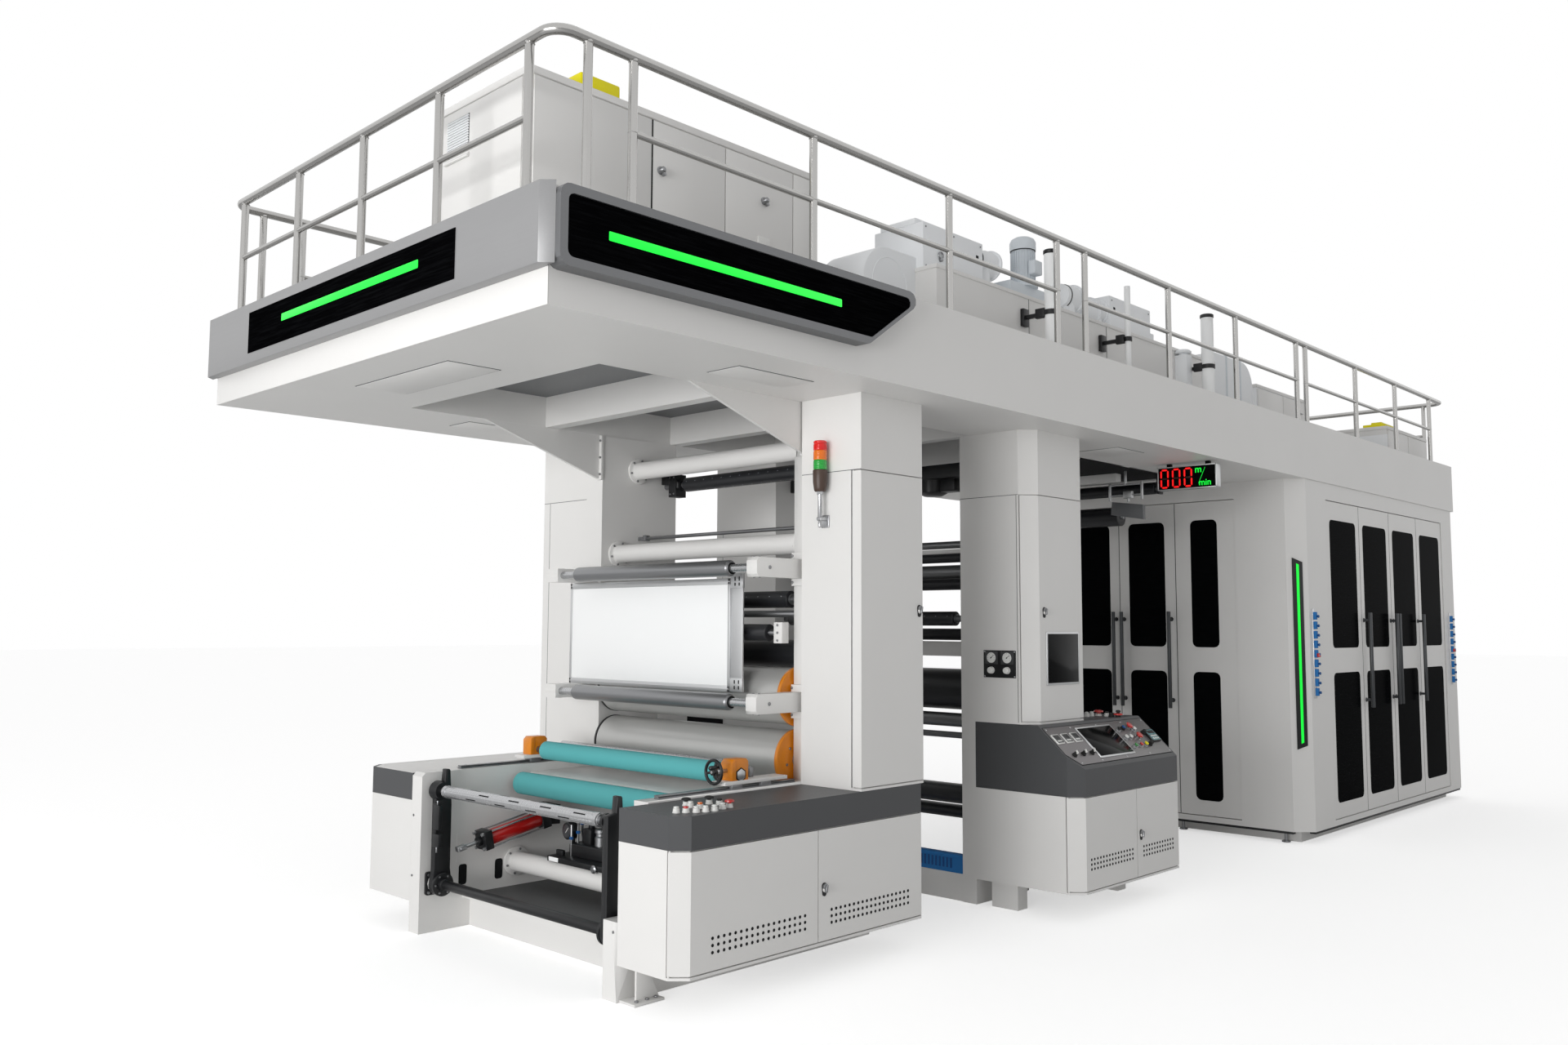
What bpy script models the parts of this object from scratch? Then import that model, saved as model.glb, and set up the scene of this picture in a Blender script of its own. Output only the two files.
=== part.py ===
# Flexographic printing press: unwind and roller stands in front, a drum house at the far end,
# and one long platform across both.
# Metres, +Z up. The machine runs along X, and its operator side faces -Y.
# Sizes are distances from the front face of the platform (a), from the operator side of the
# platform band (b) and from the floor (z). An empty at that corner carries every piece.
import math

import bmesh
import bpy
from mathutils import Matrix, Vector

OBJECT_NAME = "flexographic_press"

# Overall: the web passes between two side frames, and the platform spans both
LENGTH = 11.02
OPERATOR_PLATE = 0.7075
DRIVE_PLATE = 2.402
PLATFORM_WIDTH = DRIVE_PLATE + 0.748
SIGN_PROUD = 0.03
GAP = 0.0003

# Platform
SOFFIT = 2.825
BAND_INSET = 0.05
BAND_BOTTOM = SOFFIT + 0.144
BAND_TOP = SOFFIT + 0.4565
BAND_DEPTH = 0.055
BAND_CHAMFER = 0.044
DECK_BOTTOM = SOFFIT + 0.185
DECK_THICKNESS = 0.025
UPSTAND_TOP = SOFFIT + 0.458
UPSTAND_THICKNESS = 0.080
GIRDER_WIDTH = 0.69
FRONT_BOX_DEPTH = 0.76
CROSS_BEAM_DEPTH = 0.091
CROSS_BEAM_PITCH = 0.976
FIRST_BEAM_SPACE = 0.880
GUSSET_RUN = 0.833
GUSSET_DROP = 0.280

# Side frames
PLATE_THICKNESS = 0.101
FRAME_FRONT = 0.944
FRAME_REAR = 2.660
FRAME_TOP = 0.850
STAND_FRONT = 2.170
REAR_STAND_FRONT = 3.655
REAR_STAND_REAR = 4.220
DRIVE_STAND_EXTRA = 0.060
FOOT_LENGTH = 0.311
BASE_HEIGHT = 0.160
BASE_BEAM_WIDTH = 0.160

# Cabinets beside the front stands
CABINET_OUTER = 0.302
DRIVE_CABINET_OUTER = DRIVE_PLATE + 0.610
CABINET_BOTTOM = 0.162
CABINET_BAND_BOTTOM = 0.698
CABINET_TOP = 0.843
CABINET_CHAMFER = 0.0675
CABINET_SEAM = 1.809
SILL = 0.012

# Column covers
COLUMN_FRONT = 2.120
COLUMN_OUTER = 0.302
COLUMN_CHAMFER = 0.045
COLUMN_JOINT = SOFFIT - 0.390
REAR_COLUMN_CHAMFER = 0.085

# Doors
DOOR_THICKNESS = 0.010
DOOR_CLEARANCE = 0.006
WRAP = 0.060
PIVOT_RADIUS = 0.0045
LOCK_RADIUS = 0.014
LOCK_PROUD = 0.014

# Console under the rear operator column
CONSOLE_FRONT = 3.655
CONSOLE_REAR = 4.845
CONSOLE_OUTER = 0.010
CONSOLE_CHAMFER = 0.075
CONSOLE_BOTTOM = 0.149
CONSOLE_BAND_BOTTOM = 0.690
CONSOLE_BAND_EDGE = 0.845
CONSOLE_TOP = 1.080
CONSOLE_SLOPE_REAR = 0.270
CONSOLE_SEAM = 4.317

# Drum house
HOUSE_FRONT = 7.096
HOUSE_INSET = 0.062
HOUSE_BOTTOM = 0.087
HOUSE_CHAMFER = 0.121
HOUSE_PLINTH_INSET = 0.110
HOUSE_DOOR_BOTTOM = 0.130
HOUSE_DOOR_TOP = SOFFIT - 0.135
HOUSE_RECESS = 0.050
LEAF_THICKNESS = 0.032
GLASS_THICKNESS = 0.010
LEAF_GAP = 0.006
WINDOW_RADIUS = 0.045
LOWER_WINDOW = (0.255, 1.290)
UPPER_WINDOW = (1.490, SOFFIT - 0.290)
FRONT_DOORS = (0.590, PLATFORM_WIDTH - 0.500)
SIDE_DOORS = (7.630, 10.640)
FRONT_WINDOW_MARGINS = ((0.147, 0.132), (0.092, 0.087), (0.087, 0.092), (0.132, 0.147))
SIDE_WINDOW_MARGIN = 0.080
HANDLE_Z = (0.990, 1.780)
HANDLE_RADIUS = 0.014
HANDLE_PROUD = 0.055

# Sign on the operator side of the platform
SIGN_FRONT = 0.045
SIGN_TIP = 2.244
SIGN_LOW_REAR = 1.793
SIGN_BOTTOM = SOFFIT + 0.136
SIGN_TOP = SOFFIT + 0.447
SIGN_RADIUS = 0.045
SIGN_RIM = 0.035
SIGN_RECESS = 0.008

# Guard rail
RAIL_TOP = UPSTAND_TOP + 0.641
RAIL_MIDDLE = UPSTAND_TOP + 0.327
RAIL_RADIUS = 0.022
POST_RADIUS = 0.019
MIDDLE_RAIL_RADIUS = 0.014
RAIL_INSET = 0.092
RAIL_BEND = 0.090
SIDE_POSTS = (0.245, 0.470, 1.535, 2.585, 3.640, 3.955, 5.030, 6.070, 7.190, 7.375, 8.490, 9.510, 10.510)
SIDE_MIDDLE_RAILS = ((0.470, 3.640), (3.955, 7.190), (7.375, 10.510))
KERB_REACH = 0.132
FRONT_POSTS = (0.264, 0.930, 1.600, PLATFORM_WIDTH - 0.880, PLATFORM_WIDTH - 0.220)

# Rollers: distance from the front, height, radius
UPPER_GUIDE = (1.860, 1.947, 0.043)
LOWER_GUIDE = (1.860, 1.258, 0.043)
GUIDE_FACE = (0.960, DRIVE_PLATE - 0.117)
GUIDE_SHAFT_RADIUS = 0.022
GUIDE_BLOCK = (0.730, 0.800)
GUIDE_SEAT = (DRIVE_PLATE + 0.028, DRIVE_PLATE + 0.138)
NIP_ROLLER = (1.700, 0.925, 0.052)
PULL_ROLLER = (1.550, 0.750, 0.062)
UPPER_DRUM = (2.233, 1.278, 0.150)
LOWER_DRUM = (2.215, 0.952, 0.150)
DARK_DRUM = (2.420, 1.496, 0.077)
FRONT_IDLER = (2.270, 1.793, 0.046)
TOP_IDLER = (2.640, SOFFIT - 0.280, 0.045)
REAR_DRUM = (3.980, 1.250, 0.130)
REAR_IDLER = (3.760, 1.700, 0.045)
JOURNAL_RADIUS = 0.020
DISC_THICKNESS = 0.022
DISC_RADIUS = 0.158
ROUND_SIDES = 20

# Unwind
ARM_PIVOT = (1.035, 0.262)
ARM_WIDTH = 0.096
ARM_TOP = 0.870
ARM_THICKNESS = 0.040
ARM_BEARING = 0.028
BEARING_RADIUS = 0.052
AIR_SHAFT = (1.018, 0.757)
AIR_SHAFT_RADIUS = 0.030
LOW_SHAFT_RADIUS = 0.025
CHUCK_RADIUS = 0.045
CHUCK_THICKNESS = 0.018
PIPE_RADIUS = 0.055
PIPE_FLANGE_RADIUS = 0.080
PIPE_FLANGE_THICKNESS = 0.016
UNWIND_PIPE = (1.546, 0.310)
LOWER_PIPE = (2.252, 2.092)
UPPER_PIPE = (2.400, SOFFIT - 0.200)
CYLINDER_ROD_END = (1.100, 0.450)
CYLINDER_REAR = (1.640, 0.560)
CYLINDER_RADIUS = 0.042
CYLINDER_B = DRIVE_PLATE - 0.140
GUIDE_UNIT_B = 1.160

# Equipment on the deck; heights of outlets are from the top of the duct
DECK_FLOOR = DECK_BOTTOM + DECK_THICKNESS + GAP
DECK_CABINET = ((0.350, 2.115), (0.640, 1.370), SOFFIT + 1.195)
FAR_CABINET = ((8.100, 9.250), (0.800, 1.500), SOFFIT + 0.975)
REAR_CABINET = ((9.600, 10.750), (0.200, 1.200), SOFFIT + 0.645)
DUCT_A = (2.950, 6.500)
DUCT_B = (0.450, 1.500)
DUCT_TOP = SOFFIT + 0.870
DUCT_HOOD = (7.200, DUCT_TOP + 0.085, 0.200)
SCROLL_CENTRE = (2.720, DUCT_TOP - 0.135)
SCROLL_B = (0.600, 0.930)
SCROLL_REACH = (0.205, 0.285)
INLET_RADIUS = 0.130
FAN_CASES = (
    ((2.958, 3.552), (0.550, 0.910), 0.275), ((2.964, 3.300), (0.600, 0.860), 0.305),
    ((3.860, 4.315), (0.560, 0.900), 0.125), ((5.075, 5.670), (0.550, 1.100), 0.265),
    ((5.660, 5.740), (0.560, 1.000), 0.105),
)
FAN_OUTLETS = (
    (3.545, 3.752, 0.640, 0.195, 0.078), (4.560, 4.730, 0.640, 0.175, 0.082),
    (4.800, 4.970, 0.660, 0.135, 0.086), (4.962, 5.080, 0.650, 0.155, 0.076),
)
BLOWER_MOTOR = (4.100, 0.620, 0.084)
VENT_POST = ((5.840, 5.930), (0.360, 0.456), DUCT_TOP - 0.055)
CABLE_RISERS = ((3.830, 0.040), (4.770, 0.020), (5.950, 0.044))
RISER_B = 0.250
RISER_TOP = DUCT_TOP + 0.210
RISER_CLAMP_Z = DUCT_TOP - 0.150

# Signal tower and speed display
TOWER_PLACE = (0.538, SOFFIT - 0.645)
TOWER_RADIUS = 0.035
DISPLAY = ((5.700, 5.760), (0.093, 0.530), (SOFFIT - 0.189, SOFFIT - 0.027))
DISPLAY_LUGS = (0.150, 0.440)


def clear_scene():
    for item in list(bpy.data.objects):
        bpy.data.objects.remove(item, do_unlink=True)


def linear(channel):
    return channel / 12.92 if channel <= 0.04045 else ((channel + 0.055) / 1.055) ** 2.4


def material(name, colour, roughness, metallic=0.0):
    """A Principled material from an sRGB hex colour."""
    made = bpy.data.materials.get(name) or bpy.data.materials.new(name)
    made.use_nodes = True
    surface = made.node_tree.nodes["Principled BSDF"]
    channels = [linear(int(colour[i:i + 2], 16) / 255) for i in (0, 2, 4)]
    surface.inputs["Base Color"].default_value = (*channels, 1.0)
    surface.inputs["Roughness"].default_value = roughness
    surface.inputs["Metallic"].default_value = metallic
    return made


MATERIALS = {
    "light_grey_paint": ("E4E2E0", 0.45, 0.0),
    "dark_grey_paint": ("525355", 0.45, 0.0),
    "brushed_grey": ("969696", 0.35, 0.6),
    "black_gloss": ("0B0C0D", 0.12, 0.0),
    "black_paint": ("17181A", 0.40, 0.0),
    "black_rubber": ("202123", 0.60, 0.0),
    "steel": ("B9BABC", 0.22, 1.0),
    "roller_steel": ("8D8E90", 0.35, 0.8),
    "drum_chrome": ("B4B4B4", 0.25, 0.8),
    "teal_rubber": ("5AB0B2", 0.50, 0.0),
    "orange_paint": ("DB780F", 0.40, 0.0),
    "red_paint": ("B10A08", 0.35, 0.0),
    "blue_plastic": ("1C72B8", 0.50, 0.0),
    "white_panel": ("F4F5F5", 0.40, 0.0),
    "signal_plastic": ("C8171A", 0.30, 0.0),
}


def loose(mesh):
    """A mesh as an unnamed object in the scene, for modifiers and Booleans."""
    made = bpy.data.objects.new("loose", mesh)
    bpy.context.scene.collection.objects.link(made)
    return made


def from_bmesh(shape):
    mesh = bpy.data.meshes.new("shape")
    shape.to_mesh(mesh)
    shape.free()
    return loose(mesh)


def evaluated(item):
    """The object's mesh after its modifiers; the object itself is removed."""
    bpy.context.view_layer.update()
    graph = bpy.context.evaluated_depsgraph_get()
    mesh = bpy.data.meshes.new_from_object(item.evaluated_get(graph))
    mesh.transform(item.matrix_world)
    bpy.data.objects.remove(item, do_unlink=True)
    return mesh


def weld(mesh):
    shape = bmesh.new()
    shape.from_mesh(mesh)
    bmesh.ops.remove_doubles(shape, verts=shape.verts, dist=0.00001)
    shape.to_mesh(mesh)
    shape.free()
    return mesh


def block(a, b, z):
    """A box between three (low, high) pairs."""
    shape = bmesh.new()
    bmesh.ops.create_cube(shape, size=1.0)
    size = (a[1] - a[0], b[1] - b[0], z[1] - z[0])
    middle = ((a[0] + a[1]) / 2, (b[0] + b[1]) / 2, (z[0] + z[1]) / 2)
    bmesh.ops.scale(shape, vec=size, verts=shape.verts)
    bmesh.ops.translate(shape, vec=middle, verts=shape.verts)
    return from_bmesh(shape)


def rod(start, end, radius, sides=12):
    """A straight round bar between two points."""
    start, end = Vector(start), Vector(end)
    shape = bmesh.new()
    bmesh.ops.create_cone(
        shape, cap_ends=True, segments=sides, radius1=radius, radius2=radius, depth=(end - start).length,
    )
    turn = (end - start).to_track_quat("Z", "Y").to_matrix().to_4x4()
    shape.transform(Matrix.Translation((start + end) / 2) @ turn)
    return from_bmesh(shape)


AXIS_TURNS = {
    "X": Matrix(((0, 0, 1), (1, 0, 0), (0, 1, 0))).to_4x4(),
    "Y": Matrix(((1, 0, 0), (0, 0, -1), (0, 1, 0))).to_4x4(),
    "Z": Matrix.Identity(4),
}


def outline_plate(points, low, high, axis, holes=()):
    """A flat outline, with any holes, drawn across the axis and extruded along it."""
    curve = bpy.data.curves.new("outline", "CURVE")
    curve.dimensions = "2D"
    curve.fill_mode = "BOTH"
    curve.extrude = (high - low) / 2
    for ring in (points, *holes):
        spline = curve.splines.new("POLY")
        spline.points.add(len(ring) - 1)
        for point, (u, v) in zip(spline.points, ring):
            point.co = (u, v, 0.0, 1.0)
        spline.use_cyclic_u = True
    item = bpy.data.objects.new("outline", curve)
    bpy.context.scene.collection.objects.link(item)
    middle = (low + high) / 2
    shift = {"X": (middle, 0, 0), "Y": (0, middle, 0), "Z": (0, 0, middle)}[axis]
    item.matrix_world = Matrix.Translation(shift) @ AXIS_TURNS[axis]
    return loose(weld(evaluated(item)))


def turned(profile, place, axis="Y", sides=ROUND_SIDES):
    """A turned solid from (position, radius) pairs along its axis, low to high."""
    points = [(0.0, profile[0][0])] + [(radius, along) for along, radius in profile]
    points.append((0.0, profile[-1][0]))
    points.reverse()
    mesh = bpy.data.meshes.new("profile")
    mesh.from_pydata([(r, 0.0, h) for r, h in points], [(i, i + 1) for i in range(len(points) - 1)], [])
    item = loose(mesh)
    screw = item.modifiers.new("turn", "SCREW")
    screw.steps = sides
    screw.render_steps = sides
    screw.use_merge_vertices = True
    screw.merge_threshold = 0.00001
    screw.use_smooth_shade = False
    lay = {"X": Matrix.Rotation(math.pi / 2, 4, "Y"), "Y": Matrix.Rotation(-math.pi / 2, 4, "X"),
           "Z": Matrix.Identity(4)}[axis]
    item.matrix_world = Matrix.Translation(place) @ lay
    return loose(evaluated(item))


def boolean(base, tools, operation):
    """Join the tools to the base, or cut them from it."""
    group = bpy.data.collections.new("tools")
    bpy.context.scene.collection.children.link(group)
    for tool in tools:
        bpy.context.scene.collection.objects.unlink(tool)
        group.objects.link(tool)
    change = base.modifiers.new("boolean", "BOOLEAN")
    change.operation = operation
    change.operand_type = "COLLECTION"
    change.collection = group
    made = loose(evaluated(base))
    for tool in tools:
        bpy.data.objects.remove(tool, do_unlink=True)
    bpy.data.collections.remove(group)
    return made


def join(base, *tools):
    return boolean(base, tools, "UNION")


def cut(base, *tools):
    return boolean(base, tools, "DIFFERENCE")


def node(name, item, finish, origin=(0.0, 0.0, 0.0), smooth=False):
    """Name a finished piece, set its origin, and hang it on the machine's corner."""
    item.data.transform(Matrix.Translation(-Vector(origin)))
    item.name = name
    item.data.name = name
    item.parent = bpy.data.objects["machine_corner"]
    item.location = origin
    item.data.materials.clear()
    item.data.materials.append(material(finish, *MATERIALS[finish]))
    for face in item.data.polygons:
        face.use_smooth = False
    if smooth:
        item.data.shade_smooth()
        item.data.set_sharp_from_angle(angle=math.radians(35))
    bpy.context.scene.collection.objects.unlink(item)
    bpy.data.collections[OBJECT_NAME].objects.link(item)
    return item


def arc(centre, radius, start, end, steps=4):
    """Points on an arc, angles in degrees."""
    turn = [math.radians(start + (end - start) * i / steps) for i in range(steps + 1)]
    return [(centre[0] + radius * math.cos(t), centre[1] + radius * math.sin(t)) for t in turn]


def rounded_rectangle(u, v, radius, steps=4):
    corners = ((u[1], v[1], 0), (u[0], v[1], 90), (u[0], v[0], 180), (u[1], v[0], 270))
    points = []
    for cu, cv, angle in corners:
        inward = (-1 if cu == u[1] else 1, -1 if cv == v[1] else 1)
        centre = (cu + inward[0] * radius, cv + inward[1] * radius)
        points += arc(centre, radius, angle, angle + 90, steps)
    return points


def offset_line(points, distance):
    """An open line moved to its left by a distance, with mitred corners."""
    points = [Vector(p) for p in points]
    normals = []
    for first, second in zip(points, points[1:]):
        along = (second - first).normalized()
        normals.append(Vector((-along.y, along.x)))
    moved = [points[0] + normals[0] * distance]
    for before, after, point in zip(normals, normals[1:], points[1:-1]):
        middle = (before + after).normalized()
        moved.append(point + middle * distance / middle.dot(before))
    moved.append(points[-1] + normals[-1] * distance)
    return [tuple(p) for p in moved]


def lock(a, b, z):
    """A quarter-turn lock knob on a face that looks towards the operator."""
    return rod((a, b + 0.004, z), (a, b - LOCK_PROUD, z), LOCK_RADIUS, 10)


def wrapped_door(name, line, z, pivots, hinge_at_start, lock_place=None):
    """A sheet door bent along an outer line, on a pivot inside its hinge edge."""
    outer = list(line)
    sheet = outline_plate(outer + offset_line(outer, DOOR_THICKNESS)[::-1], z[0], z[1], "Z")
    hinge = outer[0] if hinge_at_start else outer[-1]
    nearest = outer[1] if hinge_at_start else outer[-2]
    along = (Vector(nearest) - Vector(hinge)).normalized()
    inward = Vector((-along.y, along.x)) if hinge_at_start else Vector((along.y, -along.x))
    pivot = Vector(hinge) + (along + inward) * DOOR_THICKNESS / 2
    pins = [
        rod((pivot.x, pivot.y, pivots[0] + GAP), (pivot.x, pivot.y, z[0] + 0.002), PIVOT_RADIUS, 8),
        rod((pivot.x, pivot.y, z[1] - 0.002), (pivot.x, pivot.y, pivots[1] - GAP), PIVOT_RADIUS, 8),
    ]
    if lock_place:
        pins.append(lock(*lock_place))
    return node(name, join(sheet, *pins), "light_grey_paint", (pivot.x, pivot.y, z[0]))


def tie_pipe(name, place):
    """A round tube with a bolting flange at each side frame."""
    inner = (OPERATOR_PLATE + PLATE_THICKNESS + GAP, DRIVE_PLATE - GAP)
    profile = [
        (inner[0], PIPE_FLANGE_RADIUS), (inner[0] + PIPE_FLANGE_THICKNESS, PIPE_FLANGE_RADIUS),
        (inner[0] + PIPE_FLANGE_THICKNESS, PIPE_RADIUS), (inner[1] - PIPE_FLANGE_THICKNESS, PIPE_RADIUS),
        (inner[1] - PIPE_FLANGE_THICKNESS, PIPE_FLANGE_RADIUS), (inner[1], PIPE_FLANGE_RADIUS),
    ]
    node(name, turned(profile, (place[0], 0, place[1])), "light_grey_paint", (place[0], 0, place[1]), True)


def roller(name, place, face, ends, finish, journal=JOURNAL_RADIUS, collar=None):
    """A roller on its journals, with an optional disc as (width, radius) at its operator end."""
    a, z, radius = place
    profile = [(ends[0], journal), (face[0], journal)]
    if collar:
        profile += [(face[0], collar[1]), (face[0] + collar[0], collar[1]), (face[0] + collar[0], radius)]
    else:
        profile += [(face[0], radius)]
    profile += [(face[1], radius), (face[1], journal), (ends[1], journal)]
    return node(name, turned(profile, (a, 0, z)), finish, (a, (face[0] + face[1]) / 2, z), True)


def side_plate_outline(top):
    """Front side frame: a low cheek, and a tall stand at its rear."""
    return [
        (FRAME_FRONT, 0.0), (FRAME_REAR, 0.0), (FRAME_REAR, top), (STAND_FRONT, top),
        (STAND_FRONT, FRAME_TOP), (FRAME_FRONT + 0.02, FRAME_TOP), (FRAME_FRONT, FRAME_TOP - 0.02),
    ]


def bearing(place, b):
    return rod((place[0], b[0], place[1]), (place[0], b[1], place[1]), BEARING_RADIUS, 12)


def operator_front_frame():
    inner = OPERATOR_PLATE + PLATE_THICKNESS
    plate = outline_plate(side_plate_outline(SOFFIT - GUSSET_DROP - GAP), OPERATOR_PLATE, inner, "Y")
    slots = [
        outline_plate(rounded_rectangle((a, a + 0.05), (0.36, 0.50), 0.015),
                      OPERATOR_PLATE - 0.01, inner + 0.01, "Y")
        for a in (1.18, 1.44)
    ]
    plate = cut(plate, *slots)
    arm_boss = bearing(ARM_PIVOT, (inner - 0.004, inner + ARM_BEARING))
    brackets = []
    for a, z, _ in (UPPER_GUIDE, LOWER_GUIDE):
        brackets.append(block((a - 0.045, STAND_FRONT - 0.016), GUIDE_BLOCK, (z - 0.048, z + 0.048)))
        brackets.append(block((STAND_FRONT - 0.020, STAND_FRONT + 0.004),
                              (OPERATOR_PLATE + 0.005, inner - 0.002), (z - 0.085, z + 0.085)))
    head = block((STAND_FRONT + 0.012, FRAME_REAR), (OPERATOR_PLATE, inner),
                 (SOFFIT - GUSSET_DROP - 0.01, SOFFIT - GAP))
    node("operator_front_frame", join(plate, arm_boss, head, *brackets), "light_grey_paint")


def drive_front_frame():
    plate = outline_plate(side_plate_outline(SOFFIT - GAP), DRIVE_PLATE, DRIVE_PLATE + PLATE_THICKNESS, "Y")
    slots = [
        outline_plate(rounded_rectangle((a, a + 0.05), (0.36, 0.50), 0.015),
                      DRIVE_PLATE - 0.01, DRIVE_PLATE + PLATE_THICKNESS + 0.01, "Y")
        for a in (1.18, 1.44)
    ]
    plate = cut(plate, *slots)
    column = outline_plate(
        [(COLUMN_FRONT, DRIVE_PLATE), (FRAME_REAR + DRIVE_STAND_EXTRA, DRIVE_PLATE),
         (FRAME_REAR + DRIVE_STAND_EXTRA, DRIVE_CABINET_OUTER - COLUMN_CHAMFER),
         (FRAME_REAR + DRIVE_STAND_EXTRA - COLUMN_CHAMFER, DRIVE_CABINET_OUTER),
         (COLUMN_FRONT, DRIVE_CABINET_OUTER)],
        CABINET_TOP + 0.008, SOFFIT - GAP, "Z")
    arm_boss = bearing(ARM_PIVOT, (DRIVE_PLATE - ARM_BEARING, DRIVE_PLATE + 0.004))
    seats = [block((a - 0.040, COLUMN_FRONT + 0.004), GUIDE_SEAT, (z - 0.040, z + 0.040))
             for a, z, _ in (UPPER_GUIDE, LOWER_GUIDE)]
    node("drive_front_frame", join(plate, column, arm_boss, *seats), "light_grey_paint")


def drive_rear_frame():
    """Boxed stand, with the floor beam that ties it to the operator side."""
    column = outline_plate(
        [(REAR_STAND_FRONT, DRIVE_PLATE), (REAR_STAND_REAR, DRIVE_PLATE),
         (REAR_STAND_REAR, DRIVE_CABINET_OUTER - COLUMN_CHAMFER),
         (REAR_STAND_REAR - COLUMN_CHAMFER, DRIVE_CABINET_OUTER), (REAR_STAND_FRONT, DRIVE_CABINET_OUTER)],
        0.0, SOFFIT - GAP, "Z")
    start = REAR_STAND_FRONT + 0.01
    beam = block((start, start + BASE_BEAM_WIDTH),
                 (OPERATOR_PLATE + PLATE_THICKNESS + GAP, DRIVE_PLATE + 0.004), (0.0, BASE_HEIGHT))
    node("drive_rear_frame", join(column, beam), "light_grey_paint")


def base_beams():
    across = (OPERATOR_PLATE + PLATE_THICKNESS + GAP, DRIVE_PLATE - GAP)
    start = FRAME_FRONT + FOOT_LENGTH
    front = join(
        block((start, start + BASE_BEAM_WIDTH), across, (0.0, BASE_HEIGHT)),
        block((start - 0.05, FRAME_REAR - 0.20), across, (BASE_HEIGHT - 0.004, BASE_HEIGHT + 0.012)),
        block((FRAME_REAR - 0.20 - BASE_BEAM_WIDTH, FRAME_REAR - 0.20), across, (0.0, BASE_HEIGHT)),
    )
    node("front_base_tray", front, "light_grey_paint")
    rear_start = REAR_STAND_FRONT + 0.01
    duct = block((rear_start + 0.005, rear_start + 0.065), (across[0] + 0.01, across[1] - 0.01),
                 (BASE_HEIGHT + GAP, BASE_HEIGHT + 0.105))
    node("cable_duct", duct, "blue_plastic")


def recess_tool(line, z):
    """The space a wrapped door and its clearance take out of the body behind it."""
    points = [Vector(p) for p in line]
    points[0] += (points[0] - points[1]).normalized() * DOOR_CLEARANCE
    points[-1] += (points[-1] - points[-2]).normalized() * DOOR_CLEARANCE
    inner = offset_line(points, DOOR_THICKNESS + DOOR_CLEARANCE)
    outer = offset_line(points, -0.050)
    return outline_plate(outer + inner[::-1], z[0], z[1], "Z")


def operator_cabinet():
    """Sheet body, the dark top band and two doors."""
    plate_face = OPERATOR_PLATE - GAP
    outer, chamfer = CABINET_OUTER, CABINET_CHAMFER
    corners = [(FRAME_FRONT, outer + chamfer), (FRAME_FRONT + chamfer, outer), (FRAME_REAR - chamfer, outer),
               (FRAME_REAR, outer + chamfer)]
    strip = 0.004
    half_seam = DOOR_CLEARANCE / 2
    front_line = [(FRAME_FRONT, outer + chamfer + strip), *corners[:2], (CABINET_SEAM - half_seam, outer)]
    rear_line = [(CABINET_SEAM + half_seam, outer), *corners[2:], (FRAME_REAR, outer + chamfer + strip)]
    footprint = [(FRAME_FRONT, plate_face), *corners, (FRAME_REAR, plate_face)]
    body = outline_plate(footprint, CABINET_BOTTOM, CABINET_BAND_BOTTOM - GAP, "Z")
    space = (CABINET_BOTTOM + SILL, CABINET_BAND_BOTTOM + 0.010)
    body = cut(body, recess_tool(front_line[:1] + corners + rear_line[-1:], space))
    node("operator_cabinet", body, "light_grey_paint")
    top = outline_plate(footprint, CABINET_BAND_BOTTOM, CABINET_TOP, "Z")
    node("operator_cabinet_top", top, "dark_grey_paint")
    levels = (CABINET_BOTTOM + SILL, CABINET_BAND_BOTTOM)
    door_z = (levels[0] + DOOR_CLEARANCE, levels[1] - DOOR_CLEARANCE)
    wrapped_door("operator_cabinet_front_door", front_line, door_z, levels, True)
    wrapped_door("operator_cabinet_rear_door", rear_line, door_z, levels, False,
                 (CABINET_SEAM + 0.04, outer, 0.417))


def drive_cabinet():
    near = DRIVE_PLATE + PLATE_THICKNESS + GAP
    far, chamfer = DRIVE_CABINET_OUTER, CABINET_CHAMFER
    footprint = [(FRAME_FRONT, near), (FRAME_REAR, near), (FRAME_REAR, far - chamfer),
                 (FRAME_REAR - chamfer, far), (FRAME_FRONT + chamfer, far), (FRAME_FRONT, far - chamfer)]
    body = outline_plate(footprint, CABINET_BOTTOM, CABINET_BAND_BOTTOM - GAP, "Z")
    seam = block((CABINET_SEAM - 0.003, CABINET_SEAM + 0.003), (far - 0.008, far + 0.01), (0.10, 0.80))
    node("drive_cabinet", cut(body, seam), "light_grey_paint")
    top = outline_plate(footprint, CABINET_BAND_BOTTOM, CABINET_TOP, "Z")
    node("drive_cabinet_top", top, "dark_grey_paint")


def operator_front_column():
    """Sheet cover of the front stand, with a door that wraps its front corner."""
    plate_face = OPERATOR_PLATE - GAP
    outer, chamfer = COLUMN_OUTER, COLUMN_CHAMFER
    bottom = CABINET_TOP + GAP
    line = [(COLUMN_FRONT, outer + WRAP), (COLUMN_FRONT, outer), (FRAME_REAR - chamfer, outer)]
    footprint = [(COLUMN_FRONT, plate_face), (COLUMN_FRONT, outer), (FRAME_REAR - chamfer, outer),
                 (FRAME_REAR, outer + chamfer), (FRAME_REAR, plate_face)]
    body = outline_plate(footprint, bottom, SOFFIT - GAP, "Z")
    space = (bottom + SILL, COLUMN_JOINT)
    node("operator_front_column", cut(body, recess_tool(line, space)), "light_grey_paint")
    wrapped_door("operator_front_column_door", line, (space[0] + DOOR_CLEARANCE, space[1] - DOOR_CLEARANCE),
                 space, True, (FRAME_REAR - chamfer - 0.030, outer, 1.732))


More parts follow.
